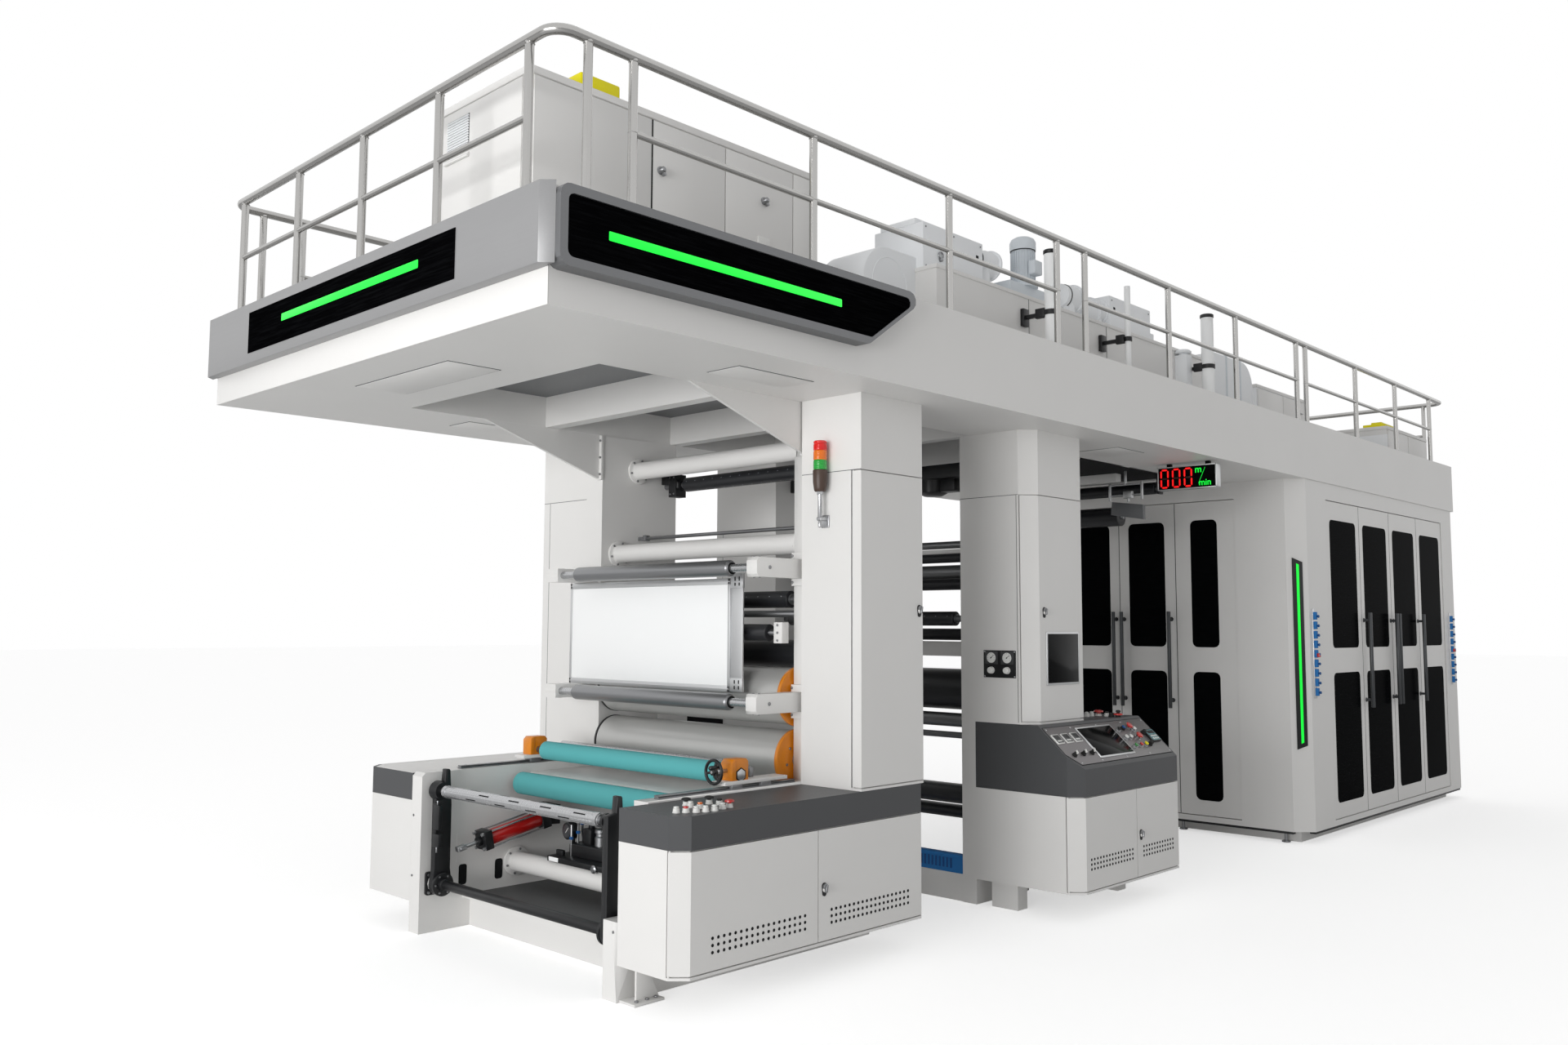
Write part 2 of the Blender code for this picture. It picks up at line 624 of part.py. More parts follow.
def operator_rear_stand():
    """Rear side plate and the cover above the console, with a door that wraps its rear corner."""
    outer, chamfer = COLUMN_OUTER, REAR_COLUMN_CHAMFER
    bottom = CONSOLE_TOP + GAP
    front, rear = REAR_STAND_FRONT, REAR_STAND_REAR
    line = [(front + DOOR_CLEARANCE, outer + chamfer - DOOR_CLEARANCE), (front + chamfer, outer),
            (rear, outer), (rear, outer + WRAP)]
    stand_back = OPERATOR_PLATE + PLATE_THICKNESS
    footprint = [(front, stand_back), (front, outer + chamfer), (front + chamfer, outer), (rear, outer),
                 (rear, stand_back)]
    body = outline_plate(footprint, bottom, SOFFIT - GAP, "Z")
    space = (bottom + SILL, COLUMN_JOINT)
    body = cut(body, recess_tool(line, space))
    leg = block((front + 0.0005, rear - 0.0005), (OPERATOR_PLATE, stand_back - 0.0005), (0.0, bottom + 0.010))
    node("operator_rear_stand", join(body, leg), "light_grey_paint")
    wrapped_door("operator_rear_column_door", line, (space[0] + DOOR_CLEARANCE, space[1] - DOOR_CLEARANCE),
                 space, False, (3.788, outer, 1.737))


def console():
    """Control console: sheet body, sloping dark desk and two doors."""
    plate_face = OPERATOR_PLATE - GAP
    outer, chamfer = CONSOLE_OUTER, CONSOLE_CHAMFER
    wrap = 0.020
    strip = 0.004
    corners = [(CONSOLE_FRONT, outer + chamfer), (CONSOLE_FRONT + chamfer, outer), (CONSOLE_REAR, outer)]
    half_seam = DOOR_CLEARANCE / 2
    front_line = [(CONSOLE_FRONT, outer + chamfer + strip), *corners[:2], (CONSOLE_SEAM - half_seam, outer)]
    rear_line = [(CONSOLE_SEAM + half_seam, outer), corners[2], (CONSOLE_REAR, outer + wrap)]
    footprint = [(CONSOLE_FRONT, plate_face), *corners, (CONSOLE_REAR, plate_face)]
    body = outline_plate(footprint, CONSOLE_BOTTOM, CONSOLE_BAND_BOTTOM - GAP, "Z")
    space = (CONSOLE_BOTTOM + SILL, CONSOLE_BAND_BOTTOM + 0.010)
    body = cut(body, recess_tool(front_line[:1] + corners + rear_line[-1:], space))
    rear_foot = block((CONSOLE_REAR - 0.25, CONSOLE_REAR - 0.15), (0.30, 0.62), (0.0, CONSOLE_BOTTOM + 0.005))
    front_foot = block((CONSOLE_FRONT + 0.03, CONSOLE_FRONT + 0.13), (0.44, 0.62),
                       (0.0, CONSOLE_BOTTOM + 0.005))
    node("console_cabinet", join(body, rear_foot, front_foot), "light_grey_paint")
    desk = outline_plate(footprint, CONSOLE_BAND_BOTTOM, CONSOLE_TOP, "Z")
    slope = outline_plate(
        [(outer - 0.05, CONSOLE_BAND_EDGE - 0.05 * desk_slope()), (CONSOLE_SLOPE_REAR, CONSOLE_TOP),
         (CONSOLE_SLOPE_REAR, CONSOLE_TOP + 0.1), (outer - 0.05, CONSOLE_TOP + 0.1)],
        CONSOLE_FRONT - 0.1, CONSOLE_REAR + 0.1, "X")
    node("console_desk", cut(desk, slope), "dark_grey_paint")
    levels = (CONSOLE_BOTTOM + SILL, CONSOLE_BAND_BOTTOM)
    door_z = (levels[0] + DOOR_CLEARANCE, levels[1] - DOOR_CLEARANCE)
    wrapped_door("console_front_door", front_line, door_z, levels, True)
    wrapped_door("console_rear_door", rear_line, door_z, levels, False, (CONSOLE_SEAM + 0.045, outer, 0.411))


def desk_slope():
    return (CONSOLE_TOP - CONSOLE_BAND_EDGE) / (CONSOLE_SLOPE_REAR - CONSOLE_OUTER)


def girder(name, outer, inward, gusset_b, gusset_rear):
    """Box girder with its upstand, and the gusset that meets the front stand."""
    inner = outer + inward * GIRDER_WIDTH
    edge = outer + inward * UPSTAND_THICKNESS
    start = BAND_DEPTH + GAP
    section = [(outer, SOFFIT), (inner, SOFFIT), (inner, DECK_BOTTOM), (edge, DECK_BOTTOM),
               (edge, UPSTAND_TOP), (outer, UPSTAND_TOP)]
    beam = outline_plate(section, start, LENGTH, "X")
    rear = gusset_rear - GAP
    gusset = outline_plate(
        [(rear - GUSSET_RUN, SOFFIT + 0.005), (rear - GUSSET_RUN, SOFFIT), (rear, SOFFIT - GUSSET_DROP),
         (rear, SOFFIT + 0.005)],
        gusset_b[0], gusset_b[1], "Y")
    node(name, join(beam, gusset), "light_grey_paint")


def platform():
    """Two side girders, and between them the deck with its end kerbs, front box and cross beams."""
    operator, drive = BAND_INSET, PLATFORM_WIDTH - BAND_INSET
    girder("operator_girder", operator, 1, (OPERATOR_PLATE + 0.01, OPERATOR_PLATE + 0.03), STAND_FRONT)
    girder("drive_girder", drive, -1, (DRIVE_PLATE + 0.01, DRIVE_PLATE + 0.03), COLUMN_FRONT)
    inner = (operator + GIRDER_WIDTH + GAP, drive - GIRDER_WIDTH - GAP)
    box_rear = BAND_DEPTH + GAP + FRONT_BOX_DEPTH
    start, low, top = BAND_DEPTH + GAP, DECK_BOTTOM + GAP, DECK_BOTTOM + DECK_THICKNESS
    deck = outline_plate(
        [(start, low), (LENGTH, low), (LENGTH, UPSTAND_TOP), (LENGTH - KERB_REACH, UPSTAND_TOP),
         (LENGTH - KERB_REACH, top), (KERB_REACH, top), (KERB_REACH, UPSTAND_TOP), (start, UPSTAND_TOP)],
        operator + UPSTAND_THICKNESS + GAP, drive - UPSTAND_THICKNESS - GAP, "Y")
    beams = [block((start, box_rear), inner, (SOFFIT, DECK_BOTTOM + 0.005))]
    place = box_rear + FIRST_BEAM_SPACE
    while place + CROSS_BEAM_DEPTH < HOUSE_FRONT:
        beams.append(block((place, place + CROSS_BEAM_DEPTH), inner, (SOFFIT, DECK_BOTTOM + 0.005)))
        place += CROSS_BEAM_PITCH
    node("platform_deck", join(deck, *beams), "light_grey_paint")


def front_band():
    """Brushed band across the front, wrapped round both corners."""
    wide, chamfer = PLATFORM_WIDTH, BAND_CHAMFER
    lip = BAND_INSET
    reach = SIGN_FRONT - GAP
    edge = max(chamfer - reach, 0.0)
    outer = [(reach, edge), (0.0, chamfer), (0.0, wide - chamfer), (reach, wide - edge)]
    inner = [(reach, wide - lip), (BAND_DEPTH, wide - lip), (BAND_DEPTH, lip), (reach, lip)]
    band = outline_plate(outer + inner, BAND_BOTTOM, BAND_TOP, "Z")
    apron = block((BAND_INSET, BAND_DEPTH), (BAND_INSET, wide - BAND_INSET), (SOFFIT, BAND_BOTTOM + 0.004))
    node("front_band", join(band, apron), "brushed_grey")


def operator_sign():
    """Raised rim round a recessed panel, with a slanted rear end."""
    rim_face = -SIGN_PROUD
    back = BAND_INSET - GAP
    rise = SIGN_TOP - SIGN_BOTTOM
    lean = (SIGN_TIP - SIGN_LOW_REAR) / rise

    def sign_outline(margin, radius):
        low, high = SIGN_BOTTOM + margin, SIGN_TOP - margin
        front = SIGN_FRONT + margin
        rear_low = SIGN_LOW_REAR - margin * 0.9 + lean * margin
        rear_high = SIGN_TIP - margin * 0.9 - lean * margin
        return soften([(front, low), (rear_low, low), (rear_high, high), (front, high)], radius)

    body = outline_plate(sign_outline(0.0, SIGN_RADIUS), rim_face, back, "Y")
    recess = outline_plate(sign_outline(SIGN_RIM, SIGN_RADIUS * 0.6),
                           rim_face - 0.01, rim_face + SIGN_RECESS, "Y")
    node("operator_sign", cut(body, recess), "dark_grey_paint")


def soften(points, radius, steps=4):
    """Round each corner of a convex outline by a tangent arc."""
    made = []
    count = len(points)
    for i, point in enumerate(points):
        point = Vector(point)
        back = (Vector(points[i - 1]) - point).normalized()
        ahead = (Vector(points[(i + 1) % count]) - point).normalized()
        half = back.angle(ahead) / 2
        reach = radius / math.tan(half)
        centre = point + (back + ahead).normalized() * radius / math.sin(half)
        first, last = point + back * reach - centre, point + ahead * reach - centre
        sweep = first.angle_signed(last)
        for step in range(steps + 1):
            turn = Matrix.Rotation(-sweep * step / steps, 2)
            made.append(tuple(centre + turn @ first))
    return made


def guard_rail():
    """A top rail bent round the whole deck, on posts that straight middle rails join."""
    near, far = RAIL_INSET, PLATFORM_WIDTH - RAIL_INSET
    front, rear = RAIL_INSET, LENGTH - RAIL_INSET
    loop = rounded_rectangle((front, rear), (near, far), RAIL_BEND, 3)
    top_rail = closed_tube([(a, b, RAIL_TOP) for a, b in loop], RAIL_RADIUS)
    posts = [(a, b) for a in SIDE_POSTS for b in (near, far)]
    posts += [(a, b) for b in FRONT_POSTS for a in (front, rear)]
    bars = [rod((a, b, UPSTAND_TOP + GAP), (a, b, RAIL_TOP - 0.004), POST_RADIUS, 8) for a, b in posts]
    for b in (near, far):
        for low, high in SIDE_MIDDLE_RAILS:
            bars.append(rod((low, b, RAIL_MIDDLE), (high, b, RAIL_MIDDLE), MIDDLE_RAIL_RADIUS, 8))
    for a in (front, rear):
        ends = (FRONT_POSTS[0], FRONT_POSTS[-1])
        bars.append(rod((a, ends[0], RAIL_MIDDLE), (a, ends[1], RAIL_MIDDLE), MIDDLE_RAIL_RADIUS, 8))
    node("guard_rail", join(top_rail, *bars), "steel", smooth=True)


def closed_tube(path, radius):
    """A closed round rail through the points."""
    curve = bpy.data.curves.new("tube", "CURVE")
    curve.dimensions = "3D"
    curve.bevel_depth = radius
    curve.bevel_resolution = 1
    spline = curve.splines.new("POLY")
    spline.points.add(len(path) - 1)
    for point, place in zip(spline.points, path):
        point.co = (*place, 1.0)
    spline.use_cyclic_u = True
    item = bpy.data.objects.new("tube", curve)
    bpy.context.scene.collection.objects.link(item)
    return loose(weld(evaluated(item)))


def leaf_edges(span, count=4):
    width = (span[1] - span[0]) / count
    half = LEAF_GAP / 2
    return [(span[0] + i * width + half, span[0] + (i + 1) * width - half) for i in range(count)]


def drum_house():
    """Solid enclosure with door recesses, on a set-back plinth."""
    front, rear = HOUSE_FRONT, LENGTH - HOUSE_INSET
    near, far = HOUSE_INSET, PLATFORM_WIDTH - HOUSE_INSET
    chamfer = HOUSE_CHAMFER
    footprint = [(front, near + chamfer), (front + chamfer, near), (rear, near), (rear, far),
                 (front + chamfer, far), (front, far - chamfer)]
    body = outline_plate(footprint, HOUSE_BOTTOM, SOFFIT - GAP, "Z")
    inset = HOUSE_PLINTH_INSET
    plinth = block((front + inset, rear - inset), (near + inset, far - inset), (0.0, HOUSE_BOTTOM + 0.004))
    body = join(body, plinth)
    z = (HOUSE_DOOR_BOTTOM, HOUSE_DOOR_TOP)
    recesses = [
        block((front - 0.1, front + HOUSE_RECESS), FRONT_DOORS, z),
        block(SIDE_DOORS, (near - 0.1, near + HOUSE_RECESS), z),
    ]
    recesses += plain_leaves(SIDE_DOORS, far, "Y", z)
    recesses += plain_leaves(FRONT_DOORS, rear, "X", z)
    node("drum_house", cut(body, *recesses), "light_grey_paint")


def plain_leaves(span, face, axis, z):
    """Shallow windows and seams on a side that is plain."""
    depth = (face - 0.012, face + 0.1)
    spots = [((low + SIDE_WINDOW_MARGIN, high - SIDE_WINDOW_MARGIN), window)
             for low, high in leaf_edges(span) for window in (LOWER_WINDOW, UPPER_WINDOW)]
    spots += [((low - LEAF_GAP, low), z) for low, _ in leaf_edges(span)[1:]]
    if axis == "X":
        return [block(depth, along, height) for along, height in spots]
    return [block(along, depth, height) for along, height in spots]


def house_doors():
    face_front, face_side = HOUSE_FRONT, HOUSE_INSET
    z = (HOUSE_DOOR_BOTTOM + LEAF_GAP, HOUSE_DOOR_TOP - LEAF_GAP)
    depth = (HOUSE_RECESS - GAP - GLASS_THICKNESS, HOUSE_RECESS - GAP)
    margin = 0.004
    node("house_front_glass",
         block((face_front + depth[0], face_front + depth[1]),
               (FRONT_DOORS[0] + margin, FRONT_DOORS[1] - margin), z), "black_gloss")
    node("house_side_glass",
         block((SIDE_DOORS[0] + margin, SIDE_DOORS[1] - margin),
               (face_side + depth[0], face_side + depth[1]), z), "black_gloss")
    back = depth[0] - GAP
    side_windows = [(low + SIDE_WINDOW_MARGIN, high - SIDE_WINDOW_MARGIN)
                    for low, high in leaf_edges(SIDE_DOORS)]
    front_windows = [(low + near, high - far)
                     for (low, high), (near, far) in zip(leaf_edges(FRONT_DOORS), FRONT_WINDOW_MARGINS)]
    for side, span, spans, axis, face in (("front", FRONT_DOORS, front_windows, "X", face_front),
                                          ("side", SIDE_DOORS, side_windows, "Y", face_side)):
        leaves = leaf_edges(span)
        for first, label in ((0, "first"), (2, "second")):
            pair = slice(first, first + 2)
            made = folding_pair(leaves[pair], spans[pair], z, axis, face + back, first == 0)
            node(f"house_{side}_{label}_folding_door", made, "light_grey_paint")


def folding_pair(pair, spans, z, axis, back, is_first):
    """Two leaves hinged to each other, with a pull handle at the meeting stile and one at the fold."""
    outline = [(pair[0][0], z[0]), (pair[1][1], z[0]), (pair[1][1], z[1]), (pair[0][0], z[1])]
    windows = [rounded_rectangle(span, window, WINDOW_RADIUS, 3)
               for span in spans for window in (LOWER_WINDOW, UPPER_WINDOW)]
    face = back - LEAF_THICKNESS
    sheet = outline_plate(outline, face, back, axis, windows)
    seam = (pair[0][1], pair[1][0])
    groove = (face - 0.010, face + 0.008)
    height = (z[0] - 0.1, z[1] + 0.1)
    sheet = cut(sheet, block(groove, seam, height) if axis == "X" else block(seam, groove, height))
    meeting = pair[1][1] - 0.035 if is_first else pair[0][0] + 0.035
    fold = (seam[0] + seam[1]) / 2 + (0.045 if is_first else -0.045)
    grips = handle(meeting, face, axis) + handle(fold, face, axis)
    return join(sheet, *grips)


def handle(place, face, axis):
    """A round pull bar on two stand-offs."""
    front = face - HANDLE_PROUD

    def spot(depth, height):
        return (depth, place, height) if axis == "X" else (place, depth, height)

    bars = [rod(spot(front, HANDLE_Z[0]), spot(front, HANDLE_Z[1]), HANDLE_RADIUS, 8)]
    for height in (HANDLE_Z[0] + 0.06, HANDLE_Z[1] - 0.06):
        bars.append(rod(spot(face + 0.005, height), spot(front, height), HANDLE_RADIUS * 0.7, 8))
    return bars


def arm_outline():
    """Swing arm: round foot at the pivot, and a slim horn behind the shaft."""
    a, z = ARM_PIVOT
    half = ARM_WIDTH / 2
    return arc((a, z), half + 0.012, 180, 360, 6) + [
        (a + half, z + 0.08), (a + half, ARM_TOP - 0.19), (a + half - 0.012, ARM_TOP),
        (a + half - 0.040, ARM_TOP),
        (a + half - 0.046, ARM_TOP - 0.075), (a - half, ARM_TOP - 0.085), (a - half, z + 0.08)]


def unwind():
    inner = (OPERATOR_PLATE + PLATE_THICKNESS, DRIVE_PLATE)
    a, z = ARM_PIVOT
    clear = ARM_BEARING + 0.006
    arms_b = ((inner[0] + clear, inner[0] + clear + ARM_THICKNESS),
              (inner[1] - clear - ARM_THICKNESS, inner[1] - clear))
    arms = [outline_plate(arm_outline(), low, high, "Y") for low, high in arms_b]
    reach = ARM_BEARING + GAP
    shaft = rod((a, inner[0] + reach, z), (a, inner[1] - reach, z), LOW_SHAFT_RADIUS, 16)
    shaft_a, shaft_z = AIR_SHAFT
    chuck_ends = ((arms_b[0][1] - 0.004, arms_b[0][1] + CHUCK_THICKNESS),
                  (arms_b[1][0] - CHUCK_THICKNESS, arms_b[1][0] + 0.004))
    chucks = [rod((shaft_a, low, shaft_z), (shaft_a, high, shaft_z), CHUCK_RADIUS, 16)
              for low, high in chuck_ends]
    node("unwind_arms", join(arms[0], arms[1], shaft, *chucks), "black_paint", (a, PLATFORM_WIDTH / 2, z))
    ends = (arms_b[0][1] + CHUCK_THICKNESS + GAP, arms_b[1][0] - CHUCK_THICKNESS - GAP)
    face = (ends[0] + 0.03, ends[1] - 0.03)
    roller("air_shaft", (shaft_a, shaft_z, AIR_SHAFT_RADIUS), face, ends, "steel", 0.018)
    unwind_cylinder()
    unwind_unit()


def unwind_cylinder():
    """Red cylinder that swings the arms, on a bracket at the drive side frame."""
    start, end = Vector(CYLINDER_ROD_END), Vector(CYLINDER_REAR)
    along = (end - start).normalized()

    def spot(distance):
        place = start + along * distance
        return (place.x, CYLINDER_B, place.y)

    length = (end - start).length
    body = rod(spot(0.17), spot(length - 0.02), CYLINDER_RADIUS, 16)
    parts = [rod(spot(0.0), spot(0.19), 0.010, 10), rod(spot(0.14), spot(0.185), CYLINDER_RADIUS + 0.010, 12),
             rod(spot(length - 0.04), spot(length), CYLINDER_RADIUS + 0.010, 12)]
    parts.append(block((end.x - 0.005, end.x + 0.075), (CYLINDER_B - 0.03, DRIVE_PLATE - GAP),
                       (end.y - 0.035, end.y + 0.05)))
    node("arm_cylinder", join(body, *parts), "red_paint")


def unwind_unit():
    """Web guide supply unit on a small shelf above the tie pipe."""
    a, z = UNWIND_PIPE
    shelf_z = z + PIPE_RADIUS + GAP
    b = GUIDE_UNIT_B
    shelf = block((a - 0.05, a + 0.32), (b, b + 0.56), (shelf_z, shelf_z + 0.030))
    tank = block((a + 0.02, a + 0.28), (b + 0.04, b + 0.46), (shelf_z + 0.026, shelf_z + 0.10))
    motor = rod((a + 0.16, b + 0.40, shelf_z + 0.09), (a + 0.16, b + 0.40, shelf_z + 0.30), 0.062, 14)
    gauge = rod((a + 0.02, b + 0.24, shelf_z + 0.16), (a + 0.07, b + 0.24, shelf_z + 0.16), 0.045, 14)
    stem = rod((a + 0.06, b + 0.24, shelf_z + 0.09), (a + 0.06, b + 0.24, shelf_z + 0.17), 0.012, 8)
    filter_cup = rod((a + 0.07, b + 0.08, shelf_z + 0.09), (a + 0.07, b + 0.08, shelf_z + 0.19), 0.032, 12)
    node("web_guide_unit", join(shelf, tank, motor, gauge, stem, filter_cup), "black_paint")


def nip_station():
    """Teal rollers, their orange blocks on slide plates, and the nip handwheel."""
    inner = (OPERATOR_PLATE + PLATE_THICKNESS + GAP, DRIVE_PLATE - GAP)
    a, z, _ = NIP_ROLLER
    rail_z = (FRAME_TOP + GAP, FRAME_TOP + 0.018)
    for side, low in (("operator", OPERATOR_PLATE), ("drive", DRIVE_PLATE)):
        high = low + PLATE_THICKNESS
        rail = block((FRAME_FRONT + 0.06, STAND_FRONT - 0.06), (low + 0.035, high - 0.035), rail_z)
        plate = block((a - 0.10, a + 0.32), (low + 0.005, high - 0.005),
                      (rail_z[1] - 0.002, rail_z[1] + 0.014))
        housing = block((a - 0.055, a + 0.055), (low + 0.015, high - 0.015),
                        (rail_z[1] + 0.010, z + 0.075))
        node(f"{side}_nip_block", join(rail, plate, housing), "orange_paint")
    roller("nip_roller", NIP_ROLLER, (inner[0] + 0.06, inner[1] - 0.06),
           (OPERATOR_PLATE + PLATE_THICKNESS - 0.015 + GAP, DRIVE_PLATE + 0.015 - GAP), "teal_rubber")
    roller("pull_roller", PULL_ROLLER, (inner[0] + 0.04, inner[1] - 0.04), inner, "teal_rubber")
    wheel_a = a - 0.055 - 0.095
    hub_b = OPERATOR_PLATE + PLATE_THICKNESS / 2
    wheel = turned([(0.0, 0.060), (0.012, 0.064), (0.024, 0.060)], (wheel_a, hub_b, z + 0.02), "X", 20)
    spindle = rod((wheel_a + 0.01, hub_b, z + 0.02), (a - 0.055 - GAP, hub_b, z + 0.02), 0.010, 10)
    knob = rod((wheel_a + 0.005, hub_b, z + 0.065), (wheel_a - 0.050, hub_b, z + 0.065), 0.009, 8)
    node("nip_handwheel", join(wheel, spindle, knob), "black_paint", (wheel_a, hub_b, z + 0.02))


def guide_rollers():
    """Two idlers before the stand, on blocks bolted to both stands."""
    ends = (GUIDE_BLOCK[1] + GAP, GUIDE_SEAT[0] - GAP)
    for name, place in (("upper", UPPER_GUIDE), ("lower", LOWER_GUIDE)):
        roller(f"{name}_guide_roller", place, GUIDE_FACE, ends, "roller_steel", GUIDE_SHAFT_RADIUS)


def web_rollers():
    inner = (OPERATOR_PLATE + PLATE_THICKNESS + GAP, DRIVE_PLATE - GAP)
    face = (inner[0] + 0.05, inner[1] - 0.05)
    roller("upper_drum", UPPER_DRUM, (inner[0] + 0.012, inner[1] - 0.05), inner, "drum_chrome", 0.04,
           (DISC_THICKNESS, DISC_RADIUS))
    roller("lower_drum", LOWER_DRUM, (inner[0] + 0.012, inner[1] - 0.05), inner, "drum_chrome", 0.04,
           (DISC_THICKNESS, DISC_RADIUS))
    roller("dark_drum", DARK_DRUM, (inner[0] + 0.10, inner[1] - 0.06), inner, "black_rubber", 0.03)
    wide = (inner[0] + 0.11, inner[1] - 0.06)
    roller("front_idler", FRONT_IDLER, wide, inner, "black_rubber")
    roller("top_idler", TOP_IDLER, (inner[0] + 0.10, inner[1] - 0.20), inner, "black_rubber")
    roller("rear_drum", REAR_DRUM, face, inner, "black_rubber", 0.04)
    roller("rear_idler", REAR_IDLER, wide, inner, "black_rubber")


def inspection_panel():
    """White backing panel for the web, in an aluminium frame on the drive stand."""
    a = 2.020
    z = (1.330, 1.870)
    frame = block((a, a + 0.030), (1.135, DRIVE_PLATE + 0.16), (z[0] - 0.03, z[1] + 0.03))
    bracket = block((a + 0.002, a + 0.010), (1.045, 1.140), (1.315, 1.925))
    seats = [block((a + 0.025, COLUMN_FRONT - GAP), (DRIVE_PLATE + 0.03, DRIVE_PLATE + 0.10), (h, h + 0.06))
             for h in (z[0] + 0.03, z[1] - 0.09)]
    node("inspection_panel", join(frame, bracket, *seats), "white_panel")


def top_equipment():
    """Electrical cabinet, blower with its duct, and two housings farther back, all on the deck."""
    for name, (a, b, top) in (("electrical_cabinet", DECK_CABINET), ("far_cabinet", FAR_CABINET),
                              ("rear_cabinet", REAR_CABINET)):
        node(name, block(a, b, (DECK_FLOOR, top)), "light_grey_paint")
    fan_duct()


def fan_duct():
    """Duct with a rounded end, and all that stands on it or is clamped to it."""
    hood_rear, hood_top, hood_radius = DUCT_HOOD
    side = [(DUCT_A[0], DECK_FLOOR), (hood_rear, DECK_FLOOR)]
    side += arc((hood_rear - hood_radius, hood_top - hood_radius), hood_radius, 0, 90, 6)
    side += [(DUCT_A[1], hood_top), (DUCT_A[1], DUCT_TOP), (DUCT_A[0], DUCT_TOP)]
    duct = outline_plate(side, *DUCT_B, "Y")
    sunk = DUCT_TOP - 0.006
    parts = [block(a, b, (sunk, DUCT_TOP + rise)) for a, b, rise in FAN_CASES]
    for start, end, b, rise, radius in FAN_OUTLETS:
        middle, z = (start + end) / 2, DUCT_TOP + rise
        parts.append(rod((start, b, z), (end, b, z), radius, 12))
        parts.append(rod((end - 0.014, b, z), (end, b, z), radius + 0.020, 12))
        parts.append(rod((middle, b, sunk), (middle, b, z), radius * 0.8, 10))
    post_a, post_b, post_top = VENT_POST
    middle = ((post_a[0] + post_a[1]) / 2, (post_b[0] + post_b[1]) / 2)
    parts += [block(post_a, post_b, (DECK_FLOOR, post_top)),
              rod((*middle, post_top - 0.008), (*middle, post_top + 0.040), 0.060, 12)]
    parts += blower_scroll() + blower_motor() + cable_risers()
    node("fan_duct", join(duct, *parts), "light_grey_paint")


def blower_scroll():
    """Scroll on a foot, and the ring of its inlet."""
    a, z = SCROLL_CENTRE
    near, far = SCROLL_B
    growth = SCROLL_REACH[1] - SCROLL_REACH[0]
    spiral = []
    for step in range(19):
        turn = math.radians(90 + 15 * step)
        reach = SCROLL_REACH[0] + growth * step / 18
        spiral.append((a + reach * math.cos(turn), z + reach * math.sin(turn)))
    spiral.append((a + SCROLL_REACH[1], z + SCROLL_REACH[0]))
    return [outline_plate(spiral, near, far, "Y"),
            block((a - 0.080, a + 0.080), (near + 0.040, far - 0.040), (DECK_FLOOR, z - 0.140)),
            rod((a, near - 0.020, z), (a, near + 0.010, z), INLET_RADIUS, 16)]


def blower_motor():
    """Upright motor with its terminal box."""
    a, b, radius = BLOWER_MOTOR
    case = turned([(DUCT_TOP + 0.117, radius), (DUCT_TOP + 0.420, radius), (DUCT_TOP + 0.453, radius * 0.7)],
                  (a, b, 0), "Z", 16)
    return [case, block((a - 0.045, a + 0.045), (b - 0.118, b), (DUCT_TOP + 0.195, DUCT_TOP + 0.285))]


def cable_risers():
    """Capped tubes close to the rail, each held to the duct by a clamp."""
    made = []
    for a, radius in CABLE_RISERS:
        low, high = RISER_CLAMP_Z - 0.015, RISER_CLAMP_Z + 0.015
        pad = (DUCT_B[0] - 0.025, DUCT_B[0] + 0.006)
        made += [rod((a, RISER_B, DECK_FLOOR), (a, RISER_B, RISER_TOP), radius, 12),
                 rod((a, RISER_B, RISER_TOP - 0.004), (a, RISER_B, RISER_TOP + 0.025), radius * 1.1, 12),
                 rod((a, RISER_B, low), (a, RISER_B, high), radius + 0.007, 12),
                 block((a - 0.014, a + 0.014), (RISER_B, pad[1]), (low + 0.004, high - 0.004)),
                 block((a - 0.030, a + 0.030), pad, (low - 0.040, high + 0.040))]
    return made


def fittings():
    """Signal tower on the front stand, and the speed display that hangs from the platform."""
    a = COLUMN_FRONT - GAP
    b, seat_z = TOWER_PLACE
    tower_a = a - 0.045
    lamp = rod((tower_a, b, seat_z + 0.165), (tower_a, b, seat_z + 0.410), TOWER_RADIUS, 16)
    base = rod((tower_a, b, seat_z + 0.150), (tower_a, b, seat_z + 0.262), TOWER_RADIUS + 0.002, 12)
    pole = rod((tower_a, b, seat_z + 0.010), (tower_a, b, seat_z + 0.160), 0.009, 10)
    seat = block((tower_a - 0.005, a), (b - 0.012, b + 0.012), (seat_z, seat_z + 0.035))
    node("signal_tower", join(lamp, base, pole, seat), "signal_plastic")
    screen_a, screen_b, screen_z = DISPLAY
    screen = block(screen_a, screen_b, screen_z)
    lugs = [block((screen_a[0] + 0.015, screen_a[1] - 0.015), (spot, spot + 0.030),
                  (screen_z[1] - 0.008, SOFFIT - GAP)) for spot in DISPLAY_LUGS]
    node("speed_display", join(screen, *lugs), "black_gloss")


